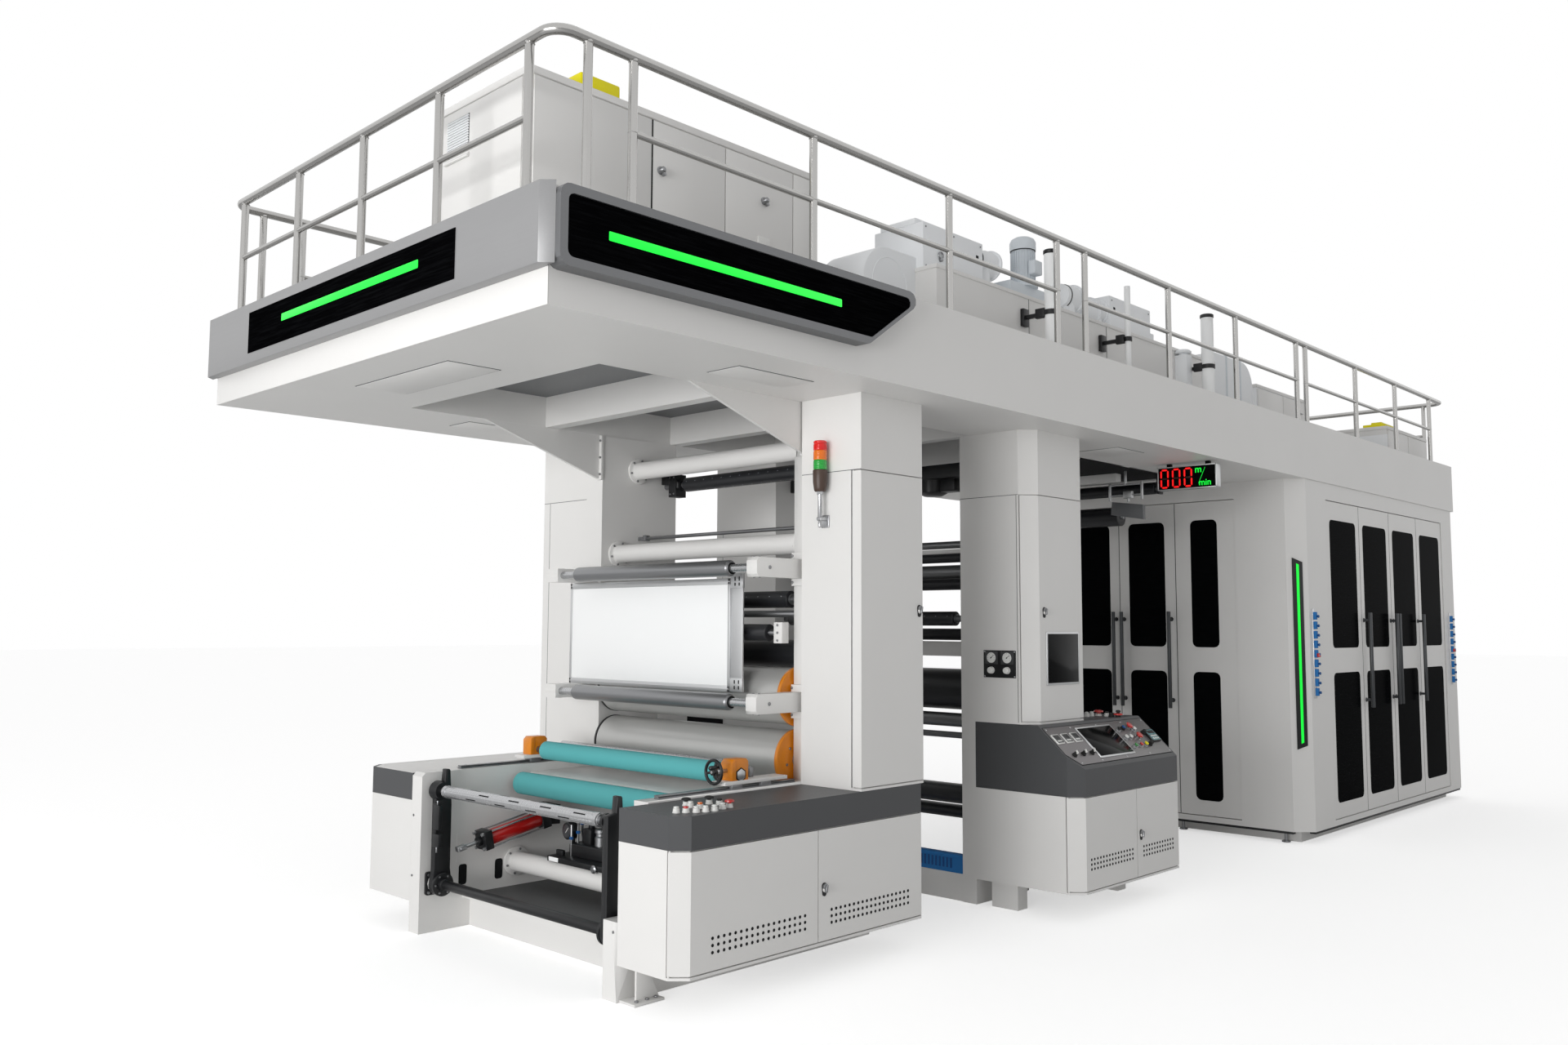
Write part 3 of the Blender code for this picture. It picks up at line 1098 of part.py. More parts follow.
def build():
    clear_scene()
    parts = bpy.data.collections.new(OBJECT_NAME)
    bpy.context.scene.collection.children.link(parts)
    corner = bpy.data.objects.new("machine_corner", None)
    corner.location = (-LENGTH / 2, -(PLATFORM_WIDTH + SIGN_PROUD) / 2 + SIGN_PROUD, 0.0)
    parts.objects.link(corner)
    operator_front_frame()
    drive_front_frame()
    drive_rear_frame()
    base_beams()
    for name, place in (("unwind_tie_pipe", UNWIND_PIPE), ("lower_tie_pipe", LOWER_PIPE),
                        ("upper_tie_pipe", UPPER_PIPE)):
        tie_pipe(name, place)
    operator_cabinet()
    drive_cabinet()
    operator_front_column()
    operator_rear_stand()
    console()
    platform()
    front_band()
    operator_sign()
    guard_rail()
    drum_house()
    house_doors()
    unwind()
    nip_station()
    guide_rollers()
    web_rollers()
    inspection_panel()
    top_equipment()
    fittings()


build()
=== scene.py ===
"""Finishes, fittings and stage for the flexographic printing press."""

import math

import bpy
from bpy.props import FloatProperty, FloatVectorProperty, IntProperty, PointerProperty
from mathutils import Matrix, Vector


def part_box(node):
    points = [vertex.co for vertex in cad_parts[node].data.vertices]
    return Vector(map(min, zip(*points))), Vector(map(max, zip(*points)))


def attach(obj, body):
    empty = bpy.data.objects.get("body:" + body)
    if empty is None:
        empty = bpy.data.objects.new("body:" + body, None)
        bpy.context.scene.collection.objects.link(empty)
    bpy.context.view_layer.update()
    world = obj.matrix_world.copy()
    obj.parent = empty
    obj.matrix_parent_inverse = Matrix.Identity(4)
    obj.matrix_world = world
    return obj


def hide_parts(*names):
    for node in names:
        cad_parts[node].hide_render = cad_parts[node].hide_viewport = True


bl_info = {
    "name": "Flexographic press dressing",
    "version": (1, 0, 0),
    "blender": (4, 5, 0),
    "location": "3D View > Sidebar > Press",
    "description": "Dresses the solids of a flexographic printing press with fittings and finishes",
    "category": "Object",
}

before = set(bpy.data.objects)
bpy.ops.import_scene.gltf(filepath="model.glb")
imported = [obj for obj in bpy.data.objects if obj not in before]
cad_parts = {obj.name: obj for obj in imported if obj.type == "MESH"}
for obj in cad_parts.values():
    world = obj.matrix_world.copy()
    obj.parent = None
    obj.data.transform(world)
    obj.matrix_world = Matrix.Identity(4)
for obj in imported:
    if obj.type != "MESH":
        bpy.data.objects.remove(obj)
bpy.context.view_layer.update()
# The machine's corner: front face of the platform band, its operator side, and the floor.
CORNER = Vector((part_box("front_band")[0].x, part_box("front_band")[0].y, 0.0))
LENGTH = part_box("operator_girder")[1].x - CORNER.x
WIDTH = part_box("front_band")[1].y - CORNER.y


def linear(channel):
    return channel / 12.92 if channel <= 0.04045 else ((channel + 0.055) / 1.055) ** 2.4


def rgb(hex_colour):
    """An sRGB hex colour as linear red, green and blue."""
    return tuple(linear(int(hex_colour[i:i + 2], 16) / 255) for i in (0, 2, 4))


def colour_property(name, description, hex_colour):
    return FloatVectorProperty(name=name, description=description, subtype="COLOR", size=3, min=0.0, max=1.0,
                               default=rgb(hex_colour))


def length_property(name, description, default):
    return FloatProperty(name=name, description=description, default=default, min=0.0, unit="LENGTH")


class PressColours(bpy.types.PropertyGroup):
    """Colours of the paints, rubbers and lamps"""
    body_paint: colour_property("Body paint", "Powder coat of stands, cabinets and platform", "E5E4E2")
    band_paint: colour_property("Band paint", "Dark powder coat of cabinet tops and desk", "4A4B4D")
    brushed: colour_property("Front band", "Brushed steel round the platform's front", "9A9A9B")
    glass: colour_property("Tinted glass", "Panes of the drum house doors", "070809")
    lamp: colour_property("Light strips", "Green of the light strips", "00F03C")
    nip_rubber: colour_property("Nip rubber", "Rubber sleeve of the nip rollers", "89ABAC")
    safety: colour_property("Blocks", "Enamel of nip blocks and drum discs", "E0850C")


class PressSizes(bpy.types.PropertyGroup):
    """Sizes of the fittings"""
    rail_radius: length_property("Top rail radius", "Radius of the guard rail's top tube", 0.022)
    post_radius: length_property("Post radius", "Radius of the guard rail's posts", 0.019)
    middle_radius: length_property("Middle rail radius", "Radius of the guard rail's middle tube", 0.014)
    button_radius: length_property("Button radius", "Radius of a push button's bezel", 0.015)
    vent_radius: length_property("Vent hole radius", "Radius of a hole in the door vents", 0.0075)


class PressStage(bpy.types.PropertyGroup):
    """Lamps and lens"""
    key_power: FloatProperty(name="Front softbox", description="Power of the softbox in front", default=820.0,
                             min=0.0, unit="POWER")
    fill_strength: FloatProperty(name="Fill", description="Brightness of the surroundings", default=0.50,
                                 min=0.0)
    floor_lift: FloatProperty(name="Floor lift",
                              description="Brightness that only the camera sees on the floor", default=0.50,
                              min=0.0)
    lens: FloatProperty(name="Lens", description="Focal length on a 36 mm sensor, in millimetres",
                        default=28.105, min=1.0)
    tube_sides: IntProperty(name="Tube sides", description="Faces round a rail", default=20, min=8)


def at(a, b, z):
    """A place in the machine's own measures as a point in the frame."""
    return CORNER + Vector((a, b, z))


# Modelling helpers


def deselect():
    if bpy.context.object and bpy.context.object.mode != "OBJECT":
        bpy.ops.object.mode_set(mode="OBJECT")
    bpy.ops.object.select_all(action="DESELECT")


def settle():
    """Move the object's place, turn and scale into its mesh."""
    bpy.ops.object.transform_apply(location=True, rotation=True, scale=True)
    return bpy.context.object


def rounded(item, width, segments=2, angle=35):
    """Round the hard edges of a shape with a bevel that is applied."""
    if width > 0:
        deselect()
        item.select_set(True)
        bpy.context.view_layer.objects.active = item
        bpy.ops.object.modifier_add(type="BEVEL")
        bevel = item.modifiers[-1]
        bevel.width = width
        bevel.segments = segments
        bevel.limit_method = "ANGLE"
        bevel.angle_limit = math.radians(angle)
        bevel.harden_normals = False
        bpy.ops.object.modifier_apply(modifier=bevel.name)
    return item


def box(a, b, z, bevel=0.002, segments=2):
    """A block between three (low, high) pairs, with rounded edges."""
    deselect()
    middle = at((a[0] + a[1]) / 2, (b[0] + b[1]) / 2, (z[0] + z[1]) / 2)
    size = (a[1] - a[0], b[1] - b[0], z[1] - z[0])
    bpy.ops.mesh.primitive_cube_add(size=1.0, location=middle, scale=size)
    return rounded(settle(), bevel, segments)


def bar(start, end, radius, sides=20, bevel=0.001):
    """A round bar between two points, with softened ends."""
    deselect()
    start, end = at(*start), at(*end)
    turn = (end - start).to_track_quat("Z", "Y").to_euler()
    bpy.ops.mesh.primitive_cylinder_add(vertices=sides, radius=radius, depth=(end - start).length,
                                        location=(start + end) / 2, rotation=turn)
    return rounded(settle(), bevel, 2, 60)


AXIS_TURN = {"X": (0.0, math.pi / 2, 0.0), "Y": (-math.pi / 2, 0.0, 0.0), "Z": (0.0, 0.0, 0.0)}
AXIS_UNIT = {"X": Vector((1, 0, 0)), "Y": Vector((0, 1, 0)), "Z": Vector((0, 0, 1))}


def turned(profile, place, axis="Y", sides=32):
    """A turned shape: a disc is drawn out along the axis through (distance, radius) pairs."""
    deselect()
    unit = AXIS_UNIT[axis]
    centre = at(*place)
    first = profile[0]
    bpy.ops.mesh.primitive_circle_add(vertices=sides, radius=first[1], fill_type="NGON",
                                      location=centre + unit * first[0], rotation=AXIS_TURN[axis])
    item = settle()
    bpy.ops.object.mode_set(mode="EDIT")
    bpy.ops.mesh.select_all(action="SELECT")
    along, radius = first
    for next_along, next_radius in profile[1:]:
        bpy.ops.mesh.extrude_region_move(TRANSFORM_OT_translate={"value": unit * (next_along - along)})
        ratio = next_radius / radius
        if abs(ratio - 1) > 1e-6:
            scale = [1.0 if unit[i] else ratio for i in range(3)]
            bpy.ops.transform.resize(value=scale, center_override=centre + unit * next_along)
        along, radius = next_along, next_radius
    bpy.ops.mesh.select_all(action="SELECT")
    bpy.ops.mesh.normals_make_consistent(inside=False)
    bpy.ops.object.mode_set(mode="OBJECT")
    return item


def plate(points, low, high, axis, bevel=0.0015):
    """A flat outline across an axis, drawn out along it."""
    deselect()
    spot = {"X": lambda u, v, w: at(w, u, v), "Y": lambda u, v, w: at(u, w, v), "Z": lambda u, v,
            w: at(u, v, w)}
    bpy.ops.mesh.primitive_circle_add(vertices=len(points), radius=1.0, fill_type="NGON")
    item = bpy.context.object
    for vertex, (u, v) in zip(item.data.vertices, points):
        vertex.co = spot[axis](u, v, low)
    bpy.ops.object.mode_set(mode="EDIT")
    bpy.ops.mesh.select_all(action="SELECT")
    bpy.ops.mesh.extrude_region_move(TRANSFORM_OT_translate={"value": AXIS_UNIT[axis] * (high - low)})
    bpy.ops.mesh.select_all(action="SELECT")
    bpy.ops.mesh.normals_make_consistent(inside=False)
    bpy.ops.object.mode_set(mode="OBJECT")
    item.location = (0, 0, 0)
    return rounded(item, bevel)


def tube(points, radius, closed=False, sides=20):
    """A round tube along a line of points."""
    deselect()
    bpy.ops.curve.primitive_bezier_curve_add(location=(0, 0, 0))
    item = bpy.context.object
    item.data.splines.clear()
    spline = item.data.splines.new("POLY")
    spline.points.add(len(points) - 1)
    for point, place in zip(spline.points, points):
        point.co = (*at(*place), 1.0)
    spline.use_cyclic_u = closed
    item.data.dimensions = "3D"
    item.data.bevel_depth = radius
    item.data.bevel_resolution = max(sides // 4 - 1, 1)
    item.data.use_fill_caps = not closed
    bpy.ops.object.convert(target="MESH")
    return bpy.context.object


def bent(points, radius, steps=6):
    """A line of points with its inner corners turned into arcs."""
    points = [Vector(p) for p in points]
    made = [points[0]]
    for before, corner, after in zip(points, points[1:], points[2:]):
        back, ahead = (before - corner).normalized(), (after - corner).normalized()
        half = back.angle(ahead) / 2
        reach = radius / math.tan(half)
        centre = corner + (back + ahead).normalized() * radius / math.sin(half)
        first, last = corner + back * reach - centre, corner + ahead * reach - centre
        for step in range(steps + 1):
            made.append(centre + first.slerp(last, step / steps) * radius)
    made.append(points[-1])
    return made


def copies(item, offsets):
    """The item and a copy of it at each offset, each with its own mesh."""
    made = [item]
    for offset in offsets:
        twin = item.copy()
        twin.data = item.data.copy()
        twin.data.transform(Matrix.Translation(offset))
        bpy.context.scene.collection.objects.link(twin)
        made.append(twin)
    return made


def turn_about(items, place, axis, degrees):
    """Turn shapes about a line through a place."""
    centre = at(*place)
    turn = Matrix.Rotation(math.radians(degrees), 4, axis)
    move = Matrix.Translation(centre) @ turn @ Matrix.Translation(-centre)
    for item in items:
        item.data.transform(move)
    return items


def repeated(first, places):
    """Copies of a shape that was made at the first place, at all of the places."""
    start = Vector(places[0])
    return copies(first, [Vector(place) - start for place in places[1:]])


def bolts(places, axis, radius=0.008, height=0.006):
    """Hexagon bolt heads; the axis is the side they look to, such as -Y."""
    out = AXIS_UNIT[axis[-1]] * (-height if axis[0] == "-" else height)
    start = Vector(places[0])
    return repeated(bar(start, start + out, radius, 6, radius * 0.15), places)


def ring_of(place, axis, radius, count, first=0.0):
    """Places on a circle round an axis."""
    made = []
    for i in range(count):
        turn = math.radians(first + 360 * i / count)
        u, v = radius * math.cos(turn), radius * math.sin(turn)
        offset = {"X": (0, u, v), "Y": (u, 0, v), "Z": (u, v, 0)}[axis]
        made.append(tuple(Vector(place) + Vector(offset)))
    return made


def hoop(place, axis, radius, thickness, sides=32, ring_sides=12):
    """A round ring such as a handwheel rim or a gasket."""
    deselect()
    bpy.ops.mesh.primitive_torus_add(major_radius=radius, minor_radius=thickness, major_segments=sides,
                                     minor_segments=ring_sides, location=at(*place), rotation=AXIS_TURN[axis])
    return settle()


def outline_arc(centre, radius, start, end, steps=6):
    turns = [math.radians(start + (end - start) * i / steps) for i in range(steps + 1)]
    return [(centre[0] + radius * math.cos(t), centre[1] + radius * math.sin(t)) for t in turns]


def round_outline(u, v, radius, steps=5):
    """A rectangle between two (low, high) pairs with round corners."""
    points = []
    for cu, cv, angle in ((u[1] - radius, v[1] - radius, 0), (u[0] + radius, v[1] - radius, 90),
                          (u[0] + radius, v[0] + radius, 180), (u[1] - radius, v[0] + radius, 270)):
        points += outline_arc((cu, cv), radius, angle, angle + 90, steps)
    return points


def soft_corners(points, radius, steps=5):
    """An outline with each corner turned into an arc."""
    count = len(points)
    made = []
    for i, point in enumerate(points):
        line = [(*points[i - 1], 0.0), (*point, 0.0), (*points[(i + 1) % count], 0.0)]
        made += [(p.x, p.y) for p in bent(line, radius, steps)[1:-1]]
    return made


def piece(name, shapes, finish, body="root", stands_for=(), smooth=40):
    """Join loose shapes into one finished piece that rides on a body."""
    shapes = list(shapes)
    deselect()
    for shape in shapes:
        shape.select_set(True)
    bpy.context.view_layer.objects.active = shapes[0]
    if len(shapes) > 1:
        bpy.ops.object.join()
    made = bpy.context.object
    made.name = name
    made.data.name = name
    made.data.materials.clear()
    made.data.materials.append(FINISHES[finish]())
    bpy.ops.object.shade_smooth_by_angle(angle=math.radians(smooth))
    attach(made, body)
    if stands_for:
        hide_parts(*stands_for)
    return made


# Finishes


def fresh(name):
    """A new material with its tree and surface shader."""
    made = bpy.data.materials.new(name)
    made.use_nodes = True
    return made, made.node_tree, made.node_tree.nodes["Principled BSDF"]


def add(tree, kind, inputs=None, **settings):
    """Add a node with its settings; an input is a value or another node's output."""
    made = tree.nodes.new(kind)
    for key, value in settings.items():
        setattr(made, key, value)
    for key, value in (inputs or {}).items():
        if isinstance(value, bpy.types.NodeSocket):
            tree.links.new(value, made.inputs[key])
        else:
            made.inputs[key].default_value = value
    return made


def shade(colour, factor):
    return (*[min(channel * factor, 1.0) for channel in colour], 1.0)


def coated(name, colour, roughness=0.42, grain=0.006, depth=0.00012, variation=0.03, specular=0.45):
    """Powder coat: a fine pebbled skin, drawn coarser than its real 1 mm so that it shows."""
    made, tree, surface = fresh(name)
    place = add(tree, "ShaderNodeTexCoord").outputs["Object"]
    cloud = add(tree, "ShaderNodeTexNoise", {"Vector": place, "Scale": 1.7, "Detail": 3.0})
    tint = add(tree, "ShaderNodeMix", {"Factor": cloud.outputs["Fac"], "A": shade(colour, 1 - variation),
                                       "B": shade(colour, 1 + variation)}, data_type="RGBA")
    pebble = add(tree, "ShaderNodeTexNoise", {"Vector": place, "Scale": 1 / grain, "Detail": 2.0})
    bump = add(tree, "ShaderNodeBump", {"Height": pebble.outputs["Fac"], "Strength": 0.35, "Distance": depth})
    rough = add(tree, "ShaderNodeMapRange", {"Value": pebble.outputs["Fac"], "To Min": roughness - 0.06,
                                             "To Max": roughness + 0.06})
    tree.links.new(tint.outputs["Result"], surface.inputs["Base Color"])
    tree.links.new(bump.outputs["Normal"], surface.inputs["Normal"])
    tree.links.new(rough.outputs["Result"], surface.inputs["Roughness"])
    surface.inputs["Specular IOR Level"].default_value = specular
    return made


def grained_metal(name, colour, roughness, along="X", line=0.004, depth=0.00005, metallic=1.0, contrast=0.12):
    """Metal with brush or grinding lines that run along one axis."""
    made, tree, surface = fresh(name)
    place = add(tree, "ShaderNodeTexCoord").outputs["Object"]
    stretch = {"X": (0.03, 1, 1), "Y": (1, 0.03, 1), "Z": (1, 1, 0.03), "round Y": (0.03, 1, 0.03)}[along]
    lines = add(tree, "ShaderNodeMapping", {"Vector": place, "Scale": stretch})
    brush = add(tree, "ShaderNodeTexNoise",
                {"Vector": lines.outputs["Vector"], "Scale": 1 / line, "Detail": 3.0})
    tint = add(tree, "ShaderNodeMix", {"Factor": brush.outputs["Fac"], "A": shade(colour, 1 - contrast),
                                       "B": shade(colour, 1 + contrast)}, data_type="RGBA")
    rough = add(tree, "ShaderNodeMapRange", {"Value": brush.outputs["Fac"],
                                             "To Min": max(roughness - 0.08, 0.03),
                                             "To Max": roughness + 0.08})
    bump = add(tree, "ShaderNodeBump", {"Height": brush.outputs["Fac"], "Strength": 0.4, "Distance": depth})
    tree.links.new(tint.outputs["Result"], surface.inputs["Base Color"])
    tree.links.new(rough.outputs["Result"], surface.inputs["Roughness"])
    tree.links.new(bump.outputs["Normal"], surface.inputs["Normal"])
    surface.inputs["Metallic"].default_value = metallic
    return made


def moulded(name, colour, roughness=0.5, grain=0.004, depth=0.0001, specular=0.4, coat=0.0):
    """Moulded plastic or cast rubber with a faint skin texture."""
    made, tree, surface = fresh(name)
    place = add(tree, "ShaderNodeTexCoord").outputs["Object"]
    skin = add(tree, "ShaderNodeTexNoise", {"Vector": place, "Scale": 1 / grain, "Detail": 2.0})
    tint = add(tree, "ShaderNodeMix", {"Factor": skin.outputs["Fac"], "A": shade(colour, 0.93),
                                       "B": shade(colour, 1.07)}, data_type="RGBA")
    bump = add(tree, "ShaderNodeBump", {"Height": skin.outputs["Fac"], "Strength": 0.3, "Distance": depth})
    tree.links.new(tint.outputs["Result"], surface.inputs["Base Color"])
    tree.links.new(bump.outputs["Normal"], surface.inputs["Normal"])
    surface.inputs["Roughness"].default_value = roughness
    surface.inputs["Specular IOR Level"].default_value = specular
    surface.inputs["Coat Weight"].default_value = coat
    return made


def tinted(name, colour, reflection_streak_size=0.03, specular=0.002, roughness=0.20):
    """Dark tinted sheet with faint level streaks of painted reflection in its colour."""
    made, tree, surface = fresh(name)
    place = add(tree, "ShaderNodeTexCoord").outputs["Object"]
    lines = add(tree, "ShaderNodeMapping", {"Vector": place, "Scale": (0.25, 0.25, 6.0)})
    reflection_streaks = add(tree, "ShaderNodeTexNoise", {"Vector": lines.outputs["Vector"], "Scale": 1 / reflection_streak_size,
                                               "Detail": 4.0, "Roughness": 0.6})
    ramp = add(tree, "ShaderNodeMapRange", {"Value": reflection_streaks.outputs["Fac"], "From Min": 0.45,
                                            "From Max": 0.75, "To Min": 0.0, "To Max": 1.0})
    # The streaks mixed into the base colour are painted reflection.
    tint = add(tree, "ShaderNodeMix", {"Factor": ramp.outputs["Result"], "A": shade(colour, 1.0),
                                       "B": (0.005, 0.0053, 0.006, 1.0)}, data_type="RGBA")
    tree.links.new(tint.outputs["Result"], surface.inputs["Base Color"])
    surface.inputs["Roughness"].default_value = roughness
    surface.inputs["Specular IOR Level"].default_value = specular
    return made


def glowing(name, colour, strength=1.0):
    """A lit diffuser: its own light, with a fine dot pattern from the row of diodes behind it."""
    made, tree, surface = fresh(name)
    place = add(tree, "ShaderNodeTexCoord").outputs["Object"]
    dots = add(tree, "ShaderNodeTexNoise", {"Vector": place, "Scale": 60.0, "Detail": 1.0})
    level = add(tree, "ShaderNodeMapRange", {"Value": dots.outputs["Fac"], "To Min": strength * 0.9,
                                             "To Max": strength * 1.1})
    surface.inputs["Base Color"].default_value = shade(colour, 0.4)
    surface.inputs["Emission Color"].default_value = shade(colour, 1.0)
    tree.links.new(level.outputs["Result"], surface.inputs["Emission Strength"])
    surface.inputs["Roughness"].default_value = 0.4
    return made


def colours():
    return bpy.context.scene.press_colours


# Each finish is named for what the real one is or for the painted shade it stands for; the comment says what
# it gives the eye.
FINISH_MAKERS = {
    # Pebbled light grey powder coat on sheet steel: satin, no clear reflections.
    "body_powder_coat": lambda n: coated(n, colours().body_paint),
    # The same coat in a darker grey.
    "band_powder_coat": lambda n: coated(n, colours().band_paint, 0.45),
    # Brushed stainless band with a level grain.
    "brushed_band": lambda n: grained_metal(n, colours().brushed, 0.42, "Y", 0.006, 0.00005, 0.55, 0.05),
    "brushed_sign_rim": lambda n: grained_metal(n, rgb("77787A"), 0.40, "X", 0.006, 0.00005, 0.6, 0.06),
    # Tinted acrylic and glass: nearly black, glossy, faint streaks of painted reflection.
    "tinted_glass": lambda n: tinted(n, colours().glass),
    "sign_acrylic": lambda n: tinted(n, rgb("050506"), 0.05, 0.0, 0.4),
    "screen_glass": lambda n: tinted(n, rgb("0A0B0C"), 0.08, 0.06, 0.12),
    # Light strips behind a diffuser.
    "green_light": lambda n: glowing(n, colours().lamp, 1.0),
    "red_digit_light": lambda n: glowing(n, rgb("F01010"), 1.0),
    "digit_off": lambda n: moulded(n, rgb("2A0A0A"), 0.4),
    # Polished stainless tube: mirror-like with faint lengthwise polishing lines.
    "polished_stainless": lambda n: grained_metal(n, rgb("B4B3B1"), 0.20, "X", 0.003, 0.00002, 1.0, 0.05),
    # Ground and hard-chromed steel.
    "ground_steel": lambda n: grained_metal(n, rgb("8E8F91"), 0.34, "X", 0.002, 0.00003, 0.9, 0.15),
    "dark_knurl_steel": lambda n: grained_metal(n, rgb("8A8B8D"), 0.32, "X", 0.003, 0.0001, 0.75, 0.20),
    "chromed_drum": lambda n: grained_metal(n, rgb("BCBCBA"), 0.36, "X", 0.004, 0.00002, 0.35, 0.04),
    "aluminium_extrusion": lambda n: grained_metal(n, rgb("C9CACB"), 0.38, "Z", 0.003, 0.00002, 0.8, 0.05),
    "polished_upright": lambda n: grained_metal(n, rgb("B4B3B1"), 0.20, "Z", 0.003, 0.00002, 1.0, 0.05),
    "bright_shaft": lambda n: grained_metal(n, rgb("B9BABC"), 0.28, "round Y", 0.003, 0.00002, 0.9, 0.06),
    "desk_plate_steel": lambda n: grained_metal(n, rgb("7E7B7C"), 0.38, "X", 0.003, 0.00003, 0.5, 0.06),
    "dark_handle": lambda n: grained_metal(n, rgb("46484A"), 0.36, "Z", 0.003, 0.00002, 0.6, 0.08),
    "copper_cap": lambda n: grained_metal(n, rgb("B98269"), 0.30, "Y", 0.003, 0.00002, 0.9, 0.08),
    # Black enamel on the arms, brackets and motors.
    "black_enamel": lambda n: coated(n, rgb("161719"), 0.38, 0.004, 0.0001, 0.10, 0.4),
    # Rubber sleeves.
    "black_rubber": lambda n: moulded(n, rgb("1D1E20"), 0.42, 0.003, 0.0001, 0.45),
    "dark_sleeve": lambda n: moulded(n, rgb("232427"), 0.36, 0.003, 0.0001, 0.5),
    "worn_mark": lambda n: moulded(n, rgb("8A8C90"), 0.5, 0.003, 0.0001, 0.4),
    "teal_rubber": lambda n: grained_metal(n, colours().nip_rubber, 0.48, "Y", 0.006, 0.00008, 0.0, 0.06),
    # Hard enamels.
    "orange_enamel": lambda n: moulded(n, colours().safety, 0.34, 0.010, 0.00005, 0.5, 0.15),
    "red_enamel": lambda n: moulded(n, rgb("B40E0B"), 0.28, 0.010, 0.00005, 0.5, 0.3),
    "blue_plastic": lambda n: moulded(n, rgb("2A78BC"), 0.5),
    "blue_fitting": lambda n: moulded(n, rgb("17508C"), 0.4),
    "yellow_plastic": lambda n: moulded(n, rgb("F4E800"), 0.45),
    # Dark grey over the drip tray's top: painted shade.
    "tray_painted_shade": lambda n: coated(n, rgb("5A5B5C"), 0.5),
    "white_sheet": lambda n: coated(n, rgb("FAFBFB"), 0.35, 0.004, 0.00005, 0.01),
    # Near black: dark joints and gaps, and painted shade in holes, slots and openings.
    "dark_recess": lambda n: moulded(n, rgb("101113"), 0.7, 0.004, 0.0001, 0.2),
    "seam_shadow": lambda n: moulded(n, rgb("58595B"), 0.7, 0.004, 0.0001, 0.2),
    # Mid grey of the camera shroud; the same grey also serves as painted shade under the deck.
    "shroud_grey": lambda n: coated(n, rgb("6E7072"), 0.40, 0.004, 0.0001, 0.05),
    "display_black": lambda n: tinted(n, rgb("050506"), 0.05, 0.03, 0.30),
    "meter_face": lambda n: moulded(n, rgb("3C3D3F"), 0.3, 0.004, 0.00005, 0.5),
    "brown_plastic": lambda n: moulded(n, rgb("4A3A32"), 0.4),
    "red_lens": lambda n: moulded(n, rgb("E01712"), 0.15, 0.006, 0.0001, 0.5, 0.4),
    "amber_lens": lambda n: moulded(n, rgb("E8730C"), 0.15, 0.006, 0.0001, 0.5, 0.4),
    "green_lens": lambda n: moulded(n, rgb("1FA43A"), 0.15, 0.006, 0.0001, 0.5, 0.4),
    "red_button": lambda n: moulded(n, rgb("C4201A"), 0.3, 0.006, 0.0001, 0.5, 0.3),
    "green_button": lambda n: moulded(n, rgb("2C8A3C"), 0.3, 0.006, 0.0001, 0.5, 0.3),
    "white_button": lambda n: moulded(n, rgb("E9E9E6"), 0.3, 0.006, 0.0001, 0.5, 0.3),
    "teal_display": lambda n: tinted(n, rgb("5E9AA0"), 0.05, 0.3, 0.12),
    "dial_face": lambda n: moulded(n, rgb("E4E5E2"), 0.35, 0.006, 0.00005, 0.5),
    "fan_paint": lambda n: coated(n, rgb("F4F6F8"), 0.5, 0.008, 0.0002, 0.04),
    "motor_paint": lambda n: coated(n, rgb("D9DFE4"), 0.5, 0.008, 0.0002, 0.06),
}


def finish_maker(name):
    def make():
        return bpy.data.materials.get(name) or FINISH_MAKERS[name](name)
    return make


FINISHES = {name: finish_maker(name) for name in FINISH_MAKERS}

NODE_FINISHES = {
    "brushed_band": ("front_band",),
    "band_powder_coat": ("operator_cabinet_top", "drive_cabinet_top", "console_desk"),
    "brushed_sign_rim": ("operator_sign",),
    "tinted_glass": ("house_front_glass", "house_side_glass"),
    "screen_glass": ("speed_display",),
    "black_enamel": ("unwind_arms", "web_guide_unit", "nip_handwheel"),
    "black_rubber": ("dark_drum", "front_idler", "top_idler", "rear_drum", "rear_idler"),
    "polished_stainless": ("guard_rail", "air_shaft"),
    "dark_knurl_steel": ("upper_guide_roller", "lower_guide_roller"),
    "chromed_drum": ("upper_drum", "lower_drum"),
    "teal_rubber": ("nip_roller", "pull_roller"),
    "orange_enamel": ("operator_nip_block", "drive_nip_block"),
    "red_enamel": ("arm_cylinder",),
    "blue_plastic": ("cable_duct",),
    "white_sheet": ("inspection_panel",),
    "red_lens": ("signal_tower",),
    "fan_paint": ("fan_duct", "far_cabinet", "rear_cabinet"),
}


# Operators


class PRESS_OT_finish_frame(bpy.types.Operator):
    """Give every solid of the press its paint, metal, rubber or glass"""
    bl_idname = "press.finish_frame"
    bl_label = "Finish the solids"

    def execute(self, context):
        chosen = {node: finish for finish, nodes in NODE_FINISHES.items() for node in nodes}
        for name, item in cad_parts.items():
            item.data.materials.clear()
            item.data.materials.append(FINISHES[chosen.get(name, "body_powder_coat")]())
        return {"FINISHED"}


# Spans of the notch that is cut from the front edge of the operator side frame.
FRAME_NOTCH = ((0.900, 1.110), (0.690, 0.830), (0.345, 0.900))


